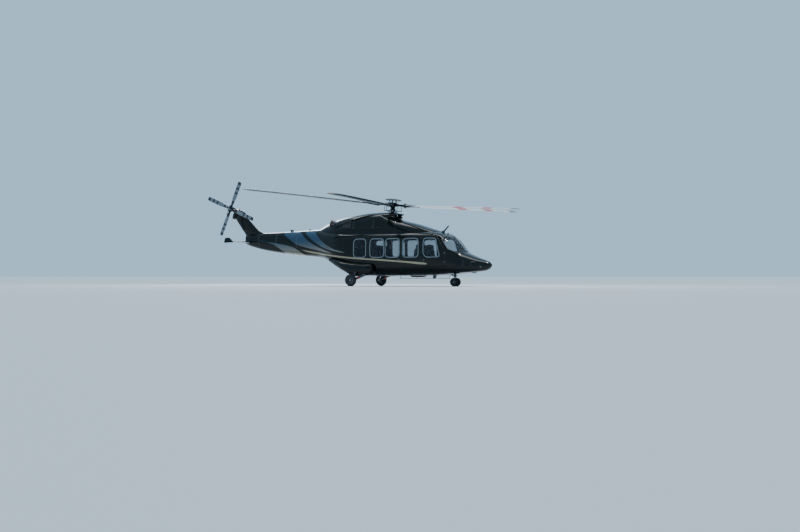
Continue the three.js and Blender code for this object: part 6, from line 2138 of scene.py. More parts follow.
# %% Cabin rows
ROWS = [(1.3, -1, 0.69), (-0.3, 1, 0.69), (-1.33, 1, 0.64)]
ROW_PLACES = (-1, -1 / 3, 1 / 3, 1)
for i, (x, facing, reach) in enumerate(ROWS):
    node = f"cabin_seats_row_{i + 1}"
    parts = []
    for k, share in enumerate(ROW_PLACES):
        where = seat_place(x, share * reach, facing)
        add_pads(f"{node}_{k + 1}", CABIN_PADS, where, node)
        parts += seat_shell(where, False) + belts(where)
    for dx in (-0.14, 0.13):
        parts.append(rod("row_tube", (x + dx, -0.69, 0.355), (x + dx, 0.69, 0.355), 0.018, sides=28,
                         material=bare_steel, rounding=0.004))
        for y in (-0.62, -0.24, 0.24, 0.62):
            parts.append(rod("row_leg", (x + dx, y, FLOOR + SEAT_GAP), (x + dx, y, 0.355), 0.013, sides=20,
                             material=bare_steel, rounding=0.002))
    for y in (-0.62, -0.24, 0.24, 0.62):
        parts.append(block("floor_rail", x - 0.15, x + 0.15, y - 0.018, y + 0.018, FLOOR + SEAT_GAP, 0.262,
                           bare_steel))
    fitted(merged(f"{node}_frame", parts), "root", node)
drop(*PILOT_PADS.values(), *CABIN_PADS.values())
print("seats done")

# %% [markdown]
# ## Cockpit
# The instrument panel stands across the nose under a padded hood, with dark glass screens, a pedestal of switches
# between the seats, and the pilots' sticks, levers and pedals. All show through the windshield.

# %% Cockpit finishes
# Crackle paint on sheet aluminium. Its wrinkles of 2.4 mm keep sun glare off the panel.
panel_paint = surface("panel_texture_paint", "#2a2c2e", 0.6, patches=dict(Scale=9.0, Detail=5.0), gloss=(0.45, 0.72),
                      relief=dict(Scale=420.0, Detail=3.0), depth=0.0004, strength=0.5)
# Coated glass over a dark screen: almost black, and sharp in its shine apart from finger smudges of 7 cm.
screen_glass = surface("dark_screen_glass", "#0a0f14", 0.06, patches=dict(Scale=14.0, Detail=6.0), gloss=(0.04, 0.2),
                       Coat_Weight=0.6)
print("cockpit finishes made, materials so far:", len(bpy.data.materials))

# %% Panel body
outline = rounded([(3.08, 0.56), (3.23, 0.50), (3.33, 0.56), (3.33, 0.90), (3.14, 1.09), (3.03, 1.06)], 0.03)
panel = across("panel_body", outline, -0.64, 0.64)
painted(panel, panel_paint)
inside = skin("inside", HULL, 3.45, CABIN_REAR + WALL, WALL + SEAT_GAP)
combine(panel, inside, "INTERSECT", keep=True)
parts = [softened(panel, 0.005)]
print("panel body has", len(panel.data.polygons), "faces")

# %% [markdown]
# ## Screens, buttons and knobs
# Everything on the panel stands on its sloping face, so two helpers measure along that face and out from it. The
# screens are blank glass. Rows of buttons and knobs are one piece each, set on spots by the tree.

# %% Screens, buttons and knobs
face_low, face_high = Vector((3.08, 0, 0.56)), Vector((3.03, 0, 1.06))
face_up = (face_high - face_low).normalized()
face_out = Vector((-face_up.z, 0, face_up.x))


def on_panel(y, up, out=0.0):
    """A point on the panel's sloping face."""
    return face_low + face_up * up + face_out * out + Vector((0, y, 0))


def panel_box(name, y, up, half_wide, half_high, low, high, material):
    """A softened box standing on the panel's face."""
    rings = []
    for out, shrink in ((low, 0.0), (high - 0.003, 0.0), (high, 0.003)):
        outline = squircle(half_wide - shrink, half_high - shrink, 9.0, 40)
        rings.append([on_panel(y + a, up + b, out) for a, b in outline])
    return outward_faces(loft(name, rings, material))


for y in (-0.50, -0.27, 0.27, 0.50):
    parts.append(panel_box("screen_frame", y, 0.33, 0.104, 0.125, -0.006, 0.010, panel_paint))
    parts.append(panel_box("screen", y, 0.335, 0.090, 0.108, 0.004, 0.0112, screen_glass))
    button = rod("button", (0, 0, -0.003), (0, 0, 0.004), 0.0042, sides=12, rounding=0.001)
    spots = [(tuple(on_panel(y + dy, 0.214, 0.010)), tuple(face_out)) for dy in
             (-0.075, -0.055, -0.035, -0.015, 0.015, 0.035, 0.055, 0.075)]
    parts.append(repeat_on("screen_buttons", button, shell_plastic, spots))
for up in (0.38, 0.27):
    parts.append(panel_box("standby_frame", 0, up, 0.052, 0.048, -0.006, 0.010, panel_paint))
    parts.append(panel_box("standby_screen", 0, up, 0.042, 0.038, 0.004, 0.0112, screen_glass))
knob = lathe("knob", [(0, 0.022), (0.009, 0.021), (0.0115, 0.016), (0.0125, 0.0), (0, 0.0)], 20)
spots = [(tuple(on_panel(side * y, 0.11)), tuple(face_out)) for side in (-1, 1) for y in (0.19, 0.31, 0.43, 0.55)]
parts.append(repeat_on("panel_knobs", knob, shell_plastic, spots))

print("panel parts so far", len(parts))

# %% [markdown]
# ## Hood, pedestal and controls
# A rolled leather lip shades the screens. The pedestal between the seats carries tiles of switches, and each pilot
# has a stick with a rubber boot, a lever at the side and two pedals. They are fixed, because the CAD gives them no
# joint.

# %% Hood and pedestal
hood_paths = []
for t in np.linspace(0, 1, 25):
    y = 0.60 * (2 * t - 1)
    hood_paths.append((3.035 + 0.01 * math.cos(math.pi * (t - 0.5)), y, 1.068 + 0.02 * math.cos(math.pi * (t - 0.5))))
hood = sweep("hood_roll", hood_paths, lambda t: circle(0.019, 20), seat_leather)
combine(hood, inside, "INTERSECT")
parts.append(sharpened(hood))

pedestal = across("pedestal", rounded([(2.70, FLOOR + SEAT_GAP), (3.15, FLOOR + SEAT_GAP), (3.15, 0.70), (2.95, 0.70),
                                       (2.70, 0.56)], 0.012), -0.13, 0.13)
painted(pedestal, panel_paint)
parts.append(softened(pedestal, 0.006))
slope = (Vector((2.95, 0, 0.70)) - Vector((2.70, 0, 0.56))).normalized()
slope_up = Vector((-slope.z, 0, slope.x))
tile = make_object("tile", [(-0.024, -0.05, -0.002), (0.024, -0.05, -0.002), (0.024, 0.05, -0.002),
                            (-0.024, 0.05, -0.002), (-0.022, -0.048, 0.004), (0.022, -0.048, 0.004),
                            (0.022, 0.048, 0.004), (-0.022, 0.048, 0.004)],
                   [(3, 2, 1, 0), (4, 5, 6, 7), (0, 1, 5, 4), (1, 2, 6, 5), (2, 3, 7, 6), (3, 0, 4, 7)])
turned = Matrix((tuple(slope), (0, 1, 0), tuple(slope_up))).transposed().to_4x4()
for k in range(4):
    for y in (-0.058, 0.058):
        centre = Vector((2.70, y, 0.56)) + slope * (0.045 + 0.06 * k)
        made = painted(copy_of(tile, "switch_panel"), shell_plastic)
        parts.append(place(made, Matrix.Translation(centre) @ turned))
switch = rod("switch", (0, 0, 0), (0, 0, 0.014), 0.0022, 0.003, 10, rounding=0.001)
spots = [(tuple(Vector((2.70, y + dy, 0.56)) + slope * (0.045 + 0.06 * k) + slope_up * 0.004), tuple(slope_up))
         for k in range(4) for y in (-0.058, 0.058) for dy in (-0.036, -0.018, 0.0, 0.018, 0.036)]
parts.append(repeat_on("pedestal_switches", switch, bare_steel, spots))
drop(tile)
print("panel parts so far", len(parts))

# %% Sticks, levers and pedals
for _, side in SIDES:
    y = side * PILOT_SEAT[1]
    parts.append(pipe("cyclic_stick", [(2.70, y, FLOOR + 0.001), (2.72, y, 0.36), (2.76, y, 0.50), (2.735, y, 0.66),
                                       (2.70, y, 0.74)], 0.011, panel_paint))
    parts.append(rod("stick_boot", (2.70, y, FLOOR + SEAT_GAP), (2.712, y, 0.315), 0.046, 0.016, 28, bearing_rubber,
                     0.004))
    grip = lathe("stick_grip", [(0, 0.145), (0.014, 0.142), (0.022, 0.13), (0.024, 0.11), (0.017, 0.09),
                                (0.019, 0.06), (0.0165, 0.03), (0.0185, 0.0), (0, 0.0)], 28, bearing_rubber)
    parts.append(place(grip, Matrix.Translation((2.705, y, 0.70)) @ Matrix.Rotation(math.radians(-14), 4, "Y")))
    parts.append(pipe("collective_lever", [(2.12, y + 0.255, 0.33), (2.32, y + 0.255, 0.43), (2.50, y + 0.255, 0.53)],
                      0.010, panel_paint))
    parts.append(rod("collective_grip", (2.44, y + 0.255, 0.497), (2.56, y + 0.255, 0.563), 0.019, sides=24,
                     material=bearing_rubber, rounding=0.005))
    for dy in (-0.1, 0.1):
        parts.append(pipe("pedal_arm", [(3.02, y + dy, FLOOR + 0.004), (3.06, y + dy, 0.34), (3.04, y + dy, 0.43)],
                          0.009, bare_steel))
        pedal = block("pedal", 3.0, 3.015, y + dy - 0.045, y + dy + 0.045, 0.38, 0.50, bare_steel)
        parts.append(place(pedal, Matrix.Translation((3.0, 0, 0.44)) @ Matrix.Rotation(math.radians(18), 4, "Y")
                           @ Matrix.Translation((-3.0, 0, -0.44))))
cockpit = merged("instrument_panel_dressed", parts)
fitted(cockpit, "root", "instrument_panel")
print("cockpit has", len(cockpit.data.polygons), "faces")

# %% [markdown]
# ## Small fittings
# Aerials, lamps, probes, wipers, handles and screws stand on the skin. Each is placed by a ray: it flies in from
# outside, and where it meets the surface it gives both the spot and the direction that the fitting stands in.

# %% Rays that find the skin
def tree_of(*pieces):
    """One search tree over several pieces."""
    points, faces = [], []
    for piece in pieces:
        start = len(points)
        points += [v.co.copy() for v in piece.data.vertices]
        faces += [tuple(start + i for i in p.vertices) for p in piece.data.polygons]
    return BVHTree.FromPolygons(points, faces)


def from_side(tree, x, z, side):
    """Where a level ray from one side meets the surface, and the way out of it."""
    spot, normal, _, _ = tree.ray_cast(Vector((x, side * 3, z)), Vector((0, -side, 0)))
    return spot, normal * (1 if normal.y * side > 0 else -1)


def from_above(tree, x, y, top=5.0):
    """Where a ray from above meets the surface, and the way out of it."""
    spot, normal, _, _ = tree.ray_cast(Vector((x, y, top)), Vector((0, 0, -1)))
    return spot, normal * (1 if normal.z > 0 else -1)


print("rays come from the side and from above")

# %% Standing a fitting on the skin
def stood(piece, spot, out, up=(0, 0, 1)):
    """Stands a piece that was made along +Z on a spot, with its own +Y as near as it can be to `up`."""
    z = Vector(out).normalized()
    x = Vector(up).cross(z).normalized()
    y = z.cross(x)
    turn = Matrix((x, y, z)).transposed().to_4x4()
    return place(piece, Matrix.Translation(spot) @ turn)


def along_skin(tree, places, side, lift):
    """Points a little off the skin, above side-view places (x, z)."""
    found = [from_side(tree, x, z, side) for x, z in places]
    return [spot + out * lift for spot, out in found]


print("fittings stand along +Z")

# %% Even spacing round an outline
def evenly(outline, spacing):
    """Points at even distances round a closed outline."""
    closed = [Vector(p) for p in outline] + [Vector(outline[0])]
    lengths = [0.0]
    for a, b in zip(closed, closed[1:]):
        lengths.append(lengths[-1] + (b - a).length)
    count = max(3, round(lengths[-1] / spacing))
    places = np.linspace(0, lengths[-1], count, endpoint=False)
    return [tuple(np.interp(s, lengths, [p[axis] for p in closed]) for axis in (0, 1)) for s in places]


hull_tree = tree_of(hull_body)
cowl_tree = tree_of(cowling, roof_fairing)
print("search trees over", len(hull_body.data.polygons), "and", len(cowling.data.polygons), "faces")

# %% [markdown]
# ## Screws and fasteners
# Each clamp ring is held by a screw every 75 mm, and the panels that mechanics open by quarter-turn fasteners. They
# are flat heads a millimetre high. From afar they are only a fine rhythm of glints, which still tells the size.

# %% Screws round the windows
HALF_RING = RING_WIDTH / 2
SCREW_SPACING = 0.075
screw = lathe("screw", [(0, 0.0016), (0.0042, 0.0014), (0.0056, 0.0004), (0.0058, -0.001), (0, -0.001)], 10)
for name, side in SIDES:
    frames = tree_of(bpy.data.objects[f"window_frames_{name}"])
    spots = []
    for outline in WINDOWS.values():
        ring = rounded(offset(outline, HALF_RING), WINDOW_RADIUS + HALF_RING)
        spots += [from_side(frames, x, z, side) for x, z in evenly(ring, SCREW_SPACING)]
    fitted(repeat_on(f"window_screws_{name}", copy_of(screw, "screw"), bare_steel, spots))
    frames = tree_of(bpy.data.objects[f"cockpit_window_frame_{name}"])
    ring = rounded(offset(COCKPIT_WINDOW, HALF_RING), COCKPIT_WINDOW_RADIUS + HALF_RING)
    spots = [from_side(frames, x, z, side) for x, z in evenly(ring, SCREW_SPACING)]
    screws = repeat_on(f"cockpit_window_screws_{name}", copy_of(screw, "screw"), bare_steel, spots)
    fitted(screws, f"cockpit_door_{name}")
drop(screw)
print("screws on the last cockpit window", len(spots))

# %% Panel fasteners
fastener = lathe("fastener", [(0, 0.0012), (0.0075, 0.001), (0.009, 0.0002), (0.009, -0.001), (0, -0.001)], 10)
spots = []
for _, side in SIDES:
    for x in (-0.58, -1.58, -2.28):
        spots += [from_side(cowl_tree, x + dx, z, side) for z in np.arange(2.14, 2.56, 0.06) for dx in (-0.02, 0.024)]
    spots += [from_side(cowl_tree, x, 2.16, side) for x in np.arange(-2.2, -0.2, 0.09)]
    spots += [from_side(hull_tree, x, z, side) for x in (3.73, 4.03) for z in np.arange(0.46, 0.68, 0.05)]
    spots += [from_side(hull_tree, x + dx, z, side) for x in (-4.75, -5.9, -6.9) for dx in (-0.018, 0.021)
              for z in np.arange(1.35, 1.95, 0.05)]
spots += [from_above(hull_tree, x, y) for x in np.arange(3.75, 4.4, 0.07) for y in (-0.19, 0.19)]
fitted(repeat_on("panel_fasteners", fastener, bare_steel, [s for s in spots if s[0]]))
print("fasteners", len(spots))

# %% [markdown]
# ## Lamps and probes
# A lamp is a polished can with a bulb behind a fluted lens, and a beacon or a navigation light is a small coloured
# dome. The probes are bent tubes that stand clear of the skin to feel clean air.

# %% Lamp glass and coloured lenses
# Pressed clear glass with a flute every 2.6 mm, which spreads the beam and breaks the reflector into streaks.
lamp_glass = surface("pressed_lamp_glass", "#e8eef0", 0.04,
                     relief=dict(kind="Wave", Scale=120.0, bands_direction="Y"), depth=0.0008, strength=0.5,
                     Transmission_Weight=1.0)
# Moulded coloured acrylic with a rib every 3.5 mm. A weak glow stands in for the light that it gathers.
COLOURS = {"right": "#0f7a42", "left": "#9c1712", "beacon": "#a8140f"}
tinted = {key: surface(f"{key}_coloured_lens", colour, 0.06, ior=1.49, depth=0.0006, strength=0.4,
                       relief=dict(kind="Wave", Scale=90.0, bands_direction="Z"), Transmission_Weight=0.7,
                       Emission_Color=colour, Emission_Strength=0.25)
          for key, colour in COLOURS.items()}
print("lens colours", sorted(tinted))

# %% Nose lamps
NOSE_LAMP = (4.405, 0.41, 0.034)
for name, side in SIDES:
    x, z, radius = NOSE_LAMP
    y = skin_width(x, z)
    start, end = Vector((x - 0.04, side * (y - 0.06), z)), Vector((x + 0.012, side * (y + 0.008), z))
    ahead = (end - start).normalized()
    can = lathe("can", [(0, -0.05), (radius - 0.004, -0.05), (radius, -0.044), (radius, 0.002),
                        (radius - 0.002, 0.006), (radius - 0.005, 0.006), (radius - 0.006, 0.001), (0.018, -0.02),
                        (0, -0.026)], 48, chrome)
    lens = lathe("lens", [(0, 0.0055), (0.012, 0.0045), (0.022, 0.002), (radius - 0.0055, -0.0005),
                          (radius - 0.0055, -0.003), (0, 0.001)], 48, lamp_glass)
    bulb = lathe("bulb", [(0, -0.008), (0.004, -0.011), (0.005, -0.018), (0, -0.02)], 20, lamp_glass)
    ring = lathe("bezel", [(radius - 0.003, -0.006), (radius + 0.004, -0.006), (radius + 0.0045, 0.002),
                           (radius + 0.001, 0.0075), (radius - 0.003, 0.007)], 48, gear_paint, closed=True)
    lamp = merged(f"nose_lamp_{name}", [stood(piece, end, ahead) for piece in (can, lens, bulb, ring)])
    fitted(lamp, "root", "nose_section")
print("nose lamp has", len(lamp.data.polygons), "faces")

# %% [markdown]
# ## Probes
# A bent mast carries a tube that points ahead, 7 cm off the skin, where the air is clean. The foot is a turned disc
# that stands on the spot a ray finds.

# %% Probes
PROBE = (4.08, 0.62)
for name, side in SIDES:
    x, z = PROBE
    y = skin_width(x, z)
    mast = pipe("probe_mast", [(x, side * (y - 0.03), z), (x + 0.01, side * (y + 0.02), z),
                               (x + 0.028, side * (y + 0.06), z), (x + 0.07, side * (y + 0.07), z),
                               (x + 0.14, side * (y + 0.07), z)], 0.0125, gear_paint, 24)
    tube = rod("probe_tube", (x + 0.1, side * (y + 0.07), z), (x + 0.19, side * (y + 0.07), z), 0.011, 0.0075, 28,
               bare_steel, 0.0015)
    spot, out = from_side(hull_tree, x, z, side)
    foot = stood(lathe("probe_foot", [(0, 0.006), (0.024, 0.005), (0.032, 0.001), (0.034, -0.004), (0, -0.004)], 36,
                       gear_paint), spot, out)
    fitted(merged(f"pitot_probe_{name}", [mast, tube, foot]), "root", "nose_section")
print("probes done")

# %% [markdown]
# ## Navigation lights and beacon
# Green and red domes stand on the outer plates and a red beacon on the fin tip. They are stretched or plain turned
# domes over a metal base.

# %% Navigation lights and beacon
for name, side in SIDES:
    tip = Vector((-7.44, side * 1.7635, 1.70))
    body = lathe("nav_body", [(0, 0.0), (0.020, 0.0), (0.020, 0.004), (0.016, 0.007), (0, 0.007)], 32, bare_steel)
    dome = lathe("nav_dome", [(0, 0.026), (0.007, 0.0245), (0.013, 0.019), (0.0155, 0.010), (0.0155, 0.004),
                              (0, 0.004)], 32, tinted[name])
    lights = [stood(piece, tip, (0, side, 0)) for piece in (body, dome)]
    for piece in lights:
        place(piece, Matrix.Translation(tip) @ Matrix.Diagonal((2.2, 1, 1, 1)) @ Matrix.Translation(-tip))
    fitted(merged(f"navigation_light_{name}", lights))
BEACON = Vector((-8.12, 0, 3.13))
base = lathe("beacon_base", [(0, 0.0), (0.050, 0.0), (0.050, 0.014), (0.046, 0.018), (0, 0.018)], 48, bare_steel)
dome = lathe("beacon_dome", [(0, 0.0845), (0.012, 0.083), (0.026, 0.077), (0.036, 0.062), (0.041, 0.040),
                             (0.043, 0.018), (0, 0.018)], 48, tinted["beacon"])
beacon = merged("anticollision_beacon", [place(p, Matrix.Translation(BEACON)) for p in (base, dome)])
fitted(beacon, "root", "tail_fin")
print("lamps done")

# %% [markdown]
# ## Aerials and belly
# Aerials are thin blades or stubs, shaped to cut the air, and a long one runs under the belly on posts. Each is cut
# off against the hull, so that it grows out of the skin with no gap.

# %% Blade aerials
def blade_aerial(name, low, high, z0, z1, thick, material):
    """An upright aerial with an aerofoil plan; low and high are its (rear, front) ends at z0 and z1."""
    rings = []
    for share in np.linspace(0, 1, 13):
        grow = math.sqrt(max(0.0, 1 - max(0.0, share - 0.8) ** 2 / 0.042))
        rear, front = (low[i] + (high[i] - low[i]) * share for i in (0, 1))
        middle, half = (rear + front) / 2, (front - rear) / 2 * (0.55 + 0.45 * grow)
        z = z0 + (z1 - z0) * share
        rings.append([(middle + half * math.cos(a), thick * grow * math.sin(a), z)
                      for a in np.linspace(0, 2 * math.pi, 40, endpoint=False)])
    return outward_faces(loft(name, rings, material))


for i, x in enumerate((-4.23, -5.21)):
    aerial = blade_aerial(f"boom_aerial_{i + 1}", (x - 0.15, x + 0.13), (x - 0.11, x + 0.04), 2.0, 2.165, 0.010,
                          gear_paint)
    combine(aerial, hull_body, "DIFFERENCE", keep=True)
    fitted(sharpened(aerial, 50), "root", "tail_boom")
print("boom aerials done")

# %% Belly blade, brow aerial, fairing and hard point
belly_blade = blade_aerial("belly_blade_aerial", (1.96, 2.19), (1.99, 2.09), 0.06, -0.115, 0.009, gear_paint)
combine(belly_blade, hull_body, "DIFFERENCE", keep=True)
brow = lathe("brow_aerial", [(0, 1.916), (0.018, 1.914), (0.030, 1.905), (0.038, 1.888), (0.043, 1.86),
                             (0.047, 1.80), (0, 1.80)], 56, gear_paint)
place(brow, Matrix.Translation((2.7, 0, 0)))
combine(brow, hull_body, "DIFFERENCE", keep=True)
drops = smooth_path([(0.9, -0.006, 0), (0.95, 0.03, 0), (1.0, 0.046, 0), (1.25, 0.048, 0), (1.5, 0.046, 0),
                     (1.58, 0.03, 0), (1.64, 0.004, 0)], 5)
rings = []
for x, drop_z, _ in drops:
    half = 0.188 * (1 - 0.25 * ((x - 1.27) / 0.4) ** 4)
    rings.append([(x, y, 0.05 - (0.05 + drop_z) * z) for y, z in
                  [(half * math.cos(a), abs(math.sin(a)) ** 0.4) for a in np.linspace(0, math.pi, 33)]])
fairing = outward_faces(loft("belly_fairing_skin", rings, hull_paint))
combine(fairing, hull_body, "DIFFERENCE", keep=True)
pad = upward("belly_hard_point", rounded([(-0.149, -0.149), (0.149, -0.149), (0.149, 0.149), (-0.149, 0.149)], 0.02),
             0.0, 0.04)
painted(pad, bare_steel)
combine(pad, hull_body, "DIFFERENCE", keep=True)
for piece in (belly_blade, brow, fairing, pad):
    fitted(sharpened(piece, 45), "root", "cabin_shell")
print("belly pieces done")

# %% [markdown]
# ## Long belly aerial
# A straight tube runs below the belly on four posts. Each post is cut off at the hull and gets a foot where it
# meets the skin.

# %% Long belly aerial on posts
RAIL = {"x0": 0.06, "x1": 2.56, "y": 0.56, "z": -0.095}
parts = [rod("rail_tube", (RAIL["x0"], RAIL["y"], RAIL["z"]), (RAIL["x1"], RAIL["y"], RAIL["z"]), 0.011, sides=28,
             material=gear_paint, rounding=0.004)]
for i in range(4):
    x = RAIL["x0"] + 0.04 + (RAIL["x1"] - RAIL["x0"] - 0.08) * i / 3
    top = Vector((x + 0.09, RAIL["y"] - 0.03, 0.15))
    post = rod("rail_post", (x, RAIL["y"], RAIL["z"]), top, 0.011, 0.014, 24, gear_paint)
    combine(post, hull_body, "DIFFERENCE", keep=True)
    parts.append(post)
    parts.append(rod("rail_clamp", (x - 0.016, RAIL["y"], RAIL["z"]), (x + 0.016, RAIL["y"], RAIL["z"]), 0.0165,
                     sides=28, material=bare_steel, rounding=0.003))
    spot, normal = hull_tree.find_nearest(post.data.vertices[max(
        range(len(post.data.vertices)), key=lambda k: post.data.vertices[k].co.z)].co)[:2]
    parts.append(stood(lathe("rail_foot", [(0, 0.008), (0.022, 0.007), (0.034, 0.002), (0.036, -0.004), (0, -0.004)],
                             32, gear_paint), spot, (0, normal.y, -abs(normal.z)), (1, 0, 0)))
rail = fitted(merged("belly_aerial_dressed", parts), "root", "belly_aerial")
print("long aerial has", len(rail.data.polygons), "faces")

# %% [markdown]
# ## Wire cutter and wipers
# A notched arm on the roof catches and cuts a cable in flight. The wipers rest on the windshield. Their points are
# found by rays from above and lifted off the glass, so that arm, holder and rubber follow its curve.

# %% Wire cutter
cutter = across("cutter_arm", rounded([(2.39, 1.88), (2.53, 1.88), (2.56, 1.995), (2.755, 2.205), (2.715, 2.245),
                                       (2.49, 2.02), (2.39, 1.985)], 0.012), -0.012, 0.012)
painted(cutter, gear_paint)
combine(cutter, hull_body, "DIFFERENCE", keep=True)
combine(cutter, skin("front", ROOF_FAIRING, 2.52, 0.449, -SEAT_GAP), "DIFFERENCE")
softened(cutter, 0.003)
edge = sweep("cutter_edge", [(2.548, 0, 1.975), (2.567, 0, 2.0), (2.66, 0, 2.102), (2.748, 0, 2.199)],
             lambda t: [(0.004, -0.004), (0.0, 0.010), (-0.004, -0.004)], bare_steel)
bolts = [rod("cutter_bolt", (x, -0.016, z), (x, 0.016, z), 0.0075, sides=6, material=bare_steel)
         for x, z in ((2.43, 1.955), (2.50, 1.965))]
cutter = fitted(merged("wire_cutter_dressed", [cutter, edge, *bolts]), "root", "wire_cutter")
print("wire cutter has", len(cutter.data.polygons), "faces")

# %% [markdown]
# ## Wipers
# Each wiper is an arm, a holder and a rubber lip at three heights over the same points of the glass. A strip covers
# the post between the two panes.

# %% Wipers and windshield post
def over_glass(points, lift):
    """Plan points (x, y) as points a little above the windshield."""
    made = []
    for x, y in points:
        spot, out = from_above(hull_tree, x, y)
        made.append(spot + out * lift)
    return made


for name, side in SIDES:
    arm = pipe("wiper_arm", over_glass([(3.56, side * 0.12), (3.48, side * 0.16), (3.36, side * 0.24),
                                        (3.24, side * 0.32)], 0.022), 0.006, gear_paint, 16)
    line = [(3.44 - 0.36 * t, side * (0.13 + 0.32 * t)) for t in np.linspace(0, 1, 14)]
    rubber = sweep("wiper_rubber", over_glass(line, 0.005), lambda t: [(-0.002, -0.004), (0.002, -0.004),
                                                                       (0.004, 0.006), (-0.004, 0.006)], seal_rubber)
    holder = sweep("wiper_holder", over_glass(line, 0.0135), lambda t: circle(0.0038, 12), gear_paint)
    spot, out = from_above(hull_tree, 3.56, side * 0.12)
    hub = stood(lathe("wiper_hub", [(0, 0.03), (0.012, 0.029), (0.018, 0.022), (0.022, 0.0), (0, 0.0)], 28,
                      gear_paint), spot, out)
    fitted(merged(f"wiper_{name}", [arm, rubber, holder, hub]))
line = over_glass([(3.52 - 0.54 * t, 0.0) for t in np.linspace(0, 1, 18)], 0.004)
deflector = sweep("windshield_post_strip", line, lambda t: [(-0.014, -0.004), (0.014, -0.004), (0.004, 0.016),
                                                            (-0.004, 0.016)], gear_paint)
fitted(deflector)
print("cockpit front done")

# %% [markdown]
# ## Hinges, handles and rails
# Each cockpit door swings on two pins at its front edge. The pins and lugs stay on the hull, while rings and arms
# go with the door. Every door has a handle in a shallow pan, and the cabin doors hang from a rail above the
# windows.

# %% Hinges
HINGE = {"x": 3.005, "y": 1.085, "pin": 0.008, "ring": 0.017, "heights": (0.63, 1.01), "tall": 0.05, "lug": 0.014}
for name, side in SIDES:
    fixed, moving = [], []
    for z in HINGE["heights"]:
        x, y = HINGE["x"], side * HINGE["y"]
        reach = HINGE["tall"] / 2 + HINGE["lug"] + 0.001
        fixed.append(rod("hinge_pin", (x, y, z - reach), (x, y, z + reach), HINGE["pin"], sides=28,
                         material=bare_steel, rounding=0.001))
        for end in (-1, 1):
            z0, z1 = sorted((z + end * reach, z + end * (reach - HINGE["lug"])))
            root_y = side * (skin_width(x + 0.02, z) - 0.02)
            plan = rounded([(x - 0.010, y + side * 0.014), (x + 0.012, y + side * 0.017), (x + 0.044, root_y),
                            (x, root_y)], 0.006)
            lug = painted(upward("hinge_lug", plan, z0, z1), gear_paint)
            combine(lug, hull_body, "DIFFERENCE", keep=True)
            fixed.append(outward_faces(sharpened(lug)))
        low, high = z - HINGE["tall"] / 2, z + HINGE["tall"] / 2
        ring = rod("hinge_ring", (x, y, low), (x, y, high), HINGE["ring"], sides=36, material=gear_paint,
                   rounding=0.002)
        edge = x - HINGE["ring"] - 0.04
        plan = rounded([(edge, side * (skin_width(edge, z) - 0.02)), (edge + 0.006, y + side * 0.004),
                        (x, y + side * 0.0165), (x, y - side * 0.0165), (edge + 0.03, side * (skin_width(edge, z)))],
                       0.004)
        arm = painted(upward("hinge_arm", plan, low, high), gear_paint)
        combine(ring, outward_faces(arm), "UNION")
        combine(ring, rod("bore", (x, y, low - 0.01), (x, y, high + 0.01), HINGE["pin"] + 0.0006, sides=28),
                "DIFFERENCE")
        moving.append(sharpened(ring))
    fitted(merged(f"door_hinge_pins_{name}", fixed), "root", "cabin_shell")
    fitted(merged(f"door_hinge_arms_{name}", moving), f"cockpit_door_{name}", f"cockpit_door_{name}")
print("hinges done")

# %% [markdown]
# ## Handles and rails
# A handle is a bar in a shallow pan with a lock beside it. The slide rail is a section carried along the skin above
# the cabin door.

# %% Door handles and slide rails
RAIL_HEIGHT = 1.862
for name, side in SIDES:
    for label, x, z, body in (("cockpit", 2.02, 0.70, f"cockpit_door_{name}"), ("cabin", 0.82, 0.72, "root")):
        spot, out = from_side(hull_tree, x, z, side)
        pan = lathe("handle_pan", [(0, 0.0008), (0.030, 0.0008), (0.036, 0.0035), (0.040, 0.0035), (0.043, 0.0005),
                                   (0.043, -0.003), (0, -0.003)], 48, gear_paint)
        bar = pipe("handle_bar", [(-0.03, 0, 0.004), (-0.024, 0, 0.011), (0, 0, 0.0135), (0.024, 0, 0.011),
                                  (0.03, 0, 0.004)], 0.0045, bare_steel, 16)
        lock = lathe("key_lock", [(0, 0.004), (0.0065, 0.0036), (0.008, 0.0005), (0, -0.001)], 24, bare_steel)
        place(lock, Matrix.Translation((0.062, 0, 0)))
        fitted(merged(f"{label}_door_handle_{name}", [stood(p, spot, out) for p in (pan, bar, lock)]), body)
    line = along_skin(hull_tree, [(x, RAIL_HEIGHT) for x in np.linspace(-2.1, 0.98, 32)], side, 0.003)
    slide = sweep(f"cabin_door_rail_{name}", line, lambda t: [(-0.005, -0.010), (0.004, -0.010), (0.004, 0.010),
                                                              (-0.005, 0.010)], gear_paint)
    fitted(slide)
print("doors fitted")

# %% [markdown]
# ## Louvres and static wicks
# A grille of seven slats on each side of the cowling lets hot air out. The slats lean over, so rain runs off them
# and they throw thin shadows. The wicks on the stabilizer's rear edge bleed off static charge.

# %% Louvres
for name, side in SIDES:
    leaning = [(-0.010, -0.013), (-0.007, -0.013), (0.007, 0.011), (0.004, 0.011)]
    if side < 0:
        leaning = [(0.007, -0.013), (0.010, -0.013), (-0.004, 0.011), (-0.007, 0.011)]
    slats = []
    for k in range(7):
        line = along_skin(cowl_tree, [(x, 2.24 + 0.034 * k) for x in np.linspace(-2.12, -1.74, 12)], side, 0.006)
        slats.append(sweep("slat", line, lambda t: leaning, gear_paint))
    for x in (-2.135, -1.725):
        line = along_skin(cowl_tree, [(x, z) for z in np.linspace(2.215, 2.465, 8)], side, 0.004)
        slats.append(sweep("slat_frame", line, lambda t: circle(0.010, 12, 0.7), gear_paint, (1, 0, 0)))
    for z in (2.21, 2.47):
        line = along_skin(cowl_tree, [(x, z) for x in np.linspace(-2.14, -1.72, 12)], side, 0.004)
        slats.append(sweep("slat_frame", line, lambda t: circle(0.010, 12, 0.7), gear_paint))
    fitted(merged(f"cooler_louvres_{name}", slats))
print("louvres done")

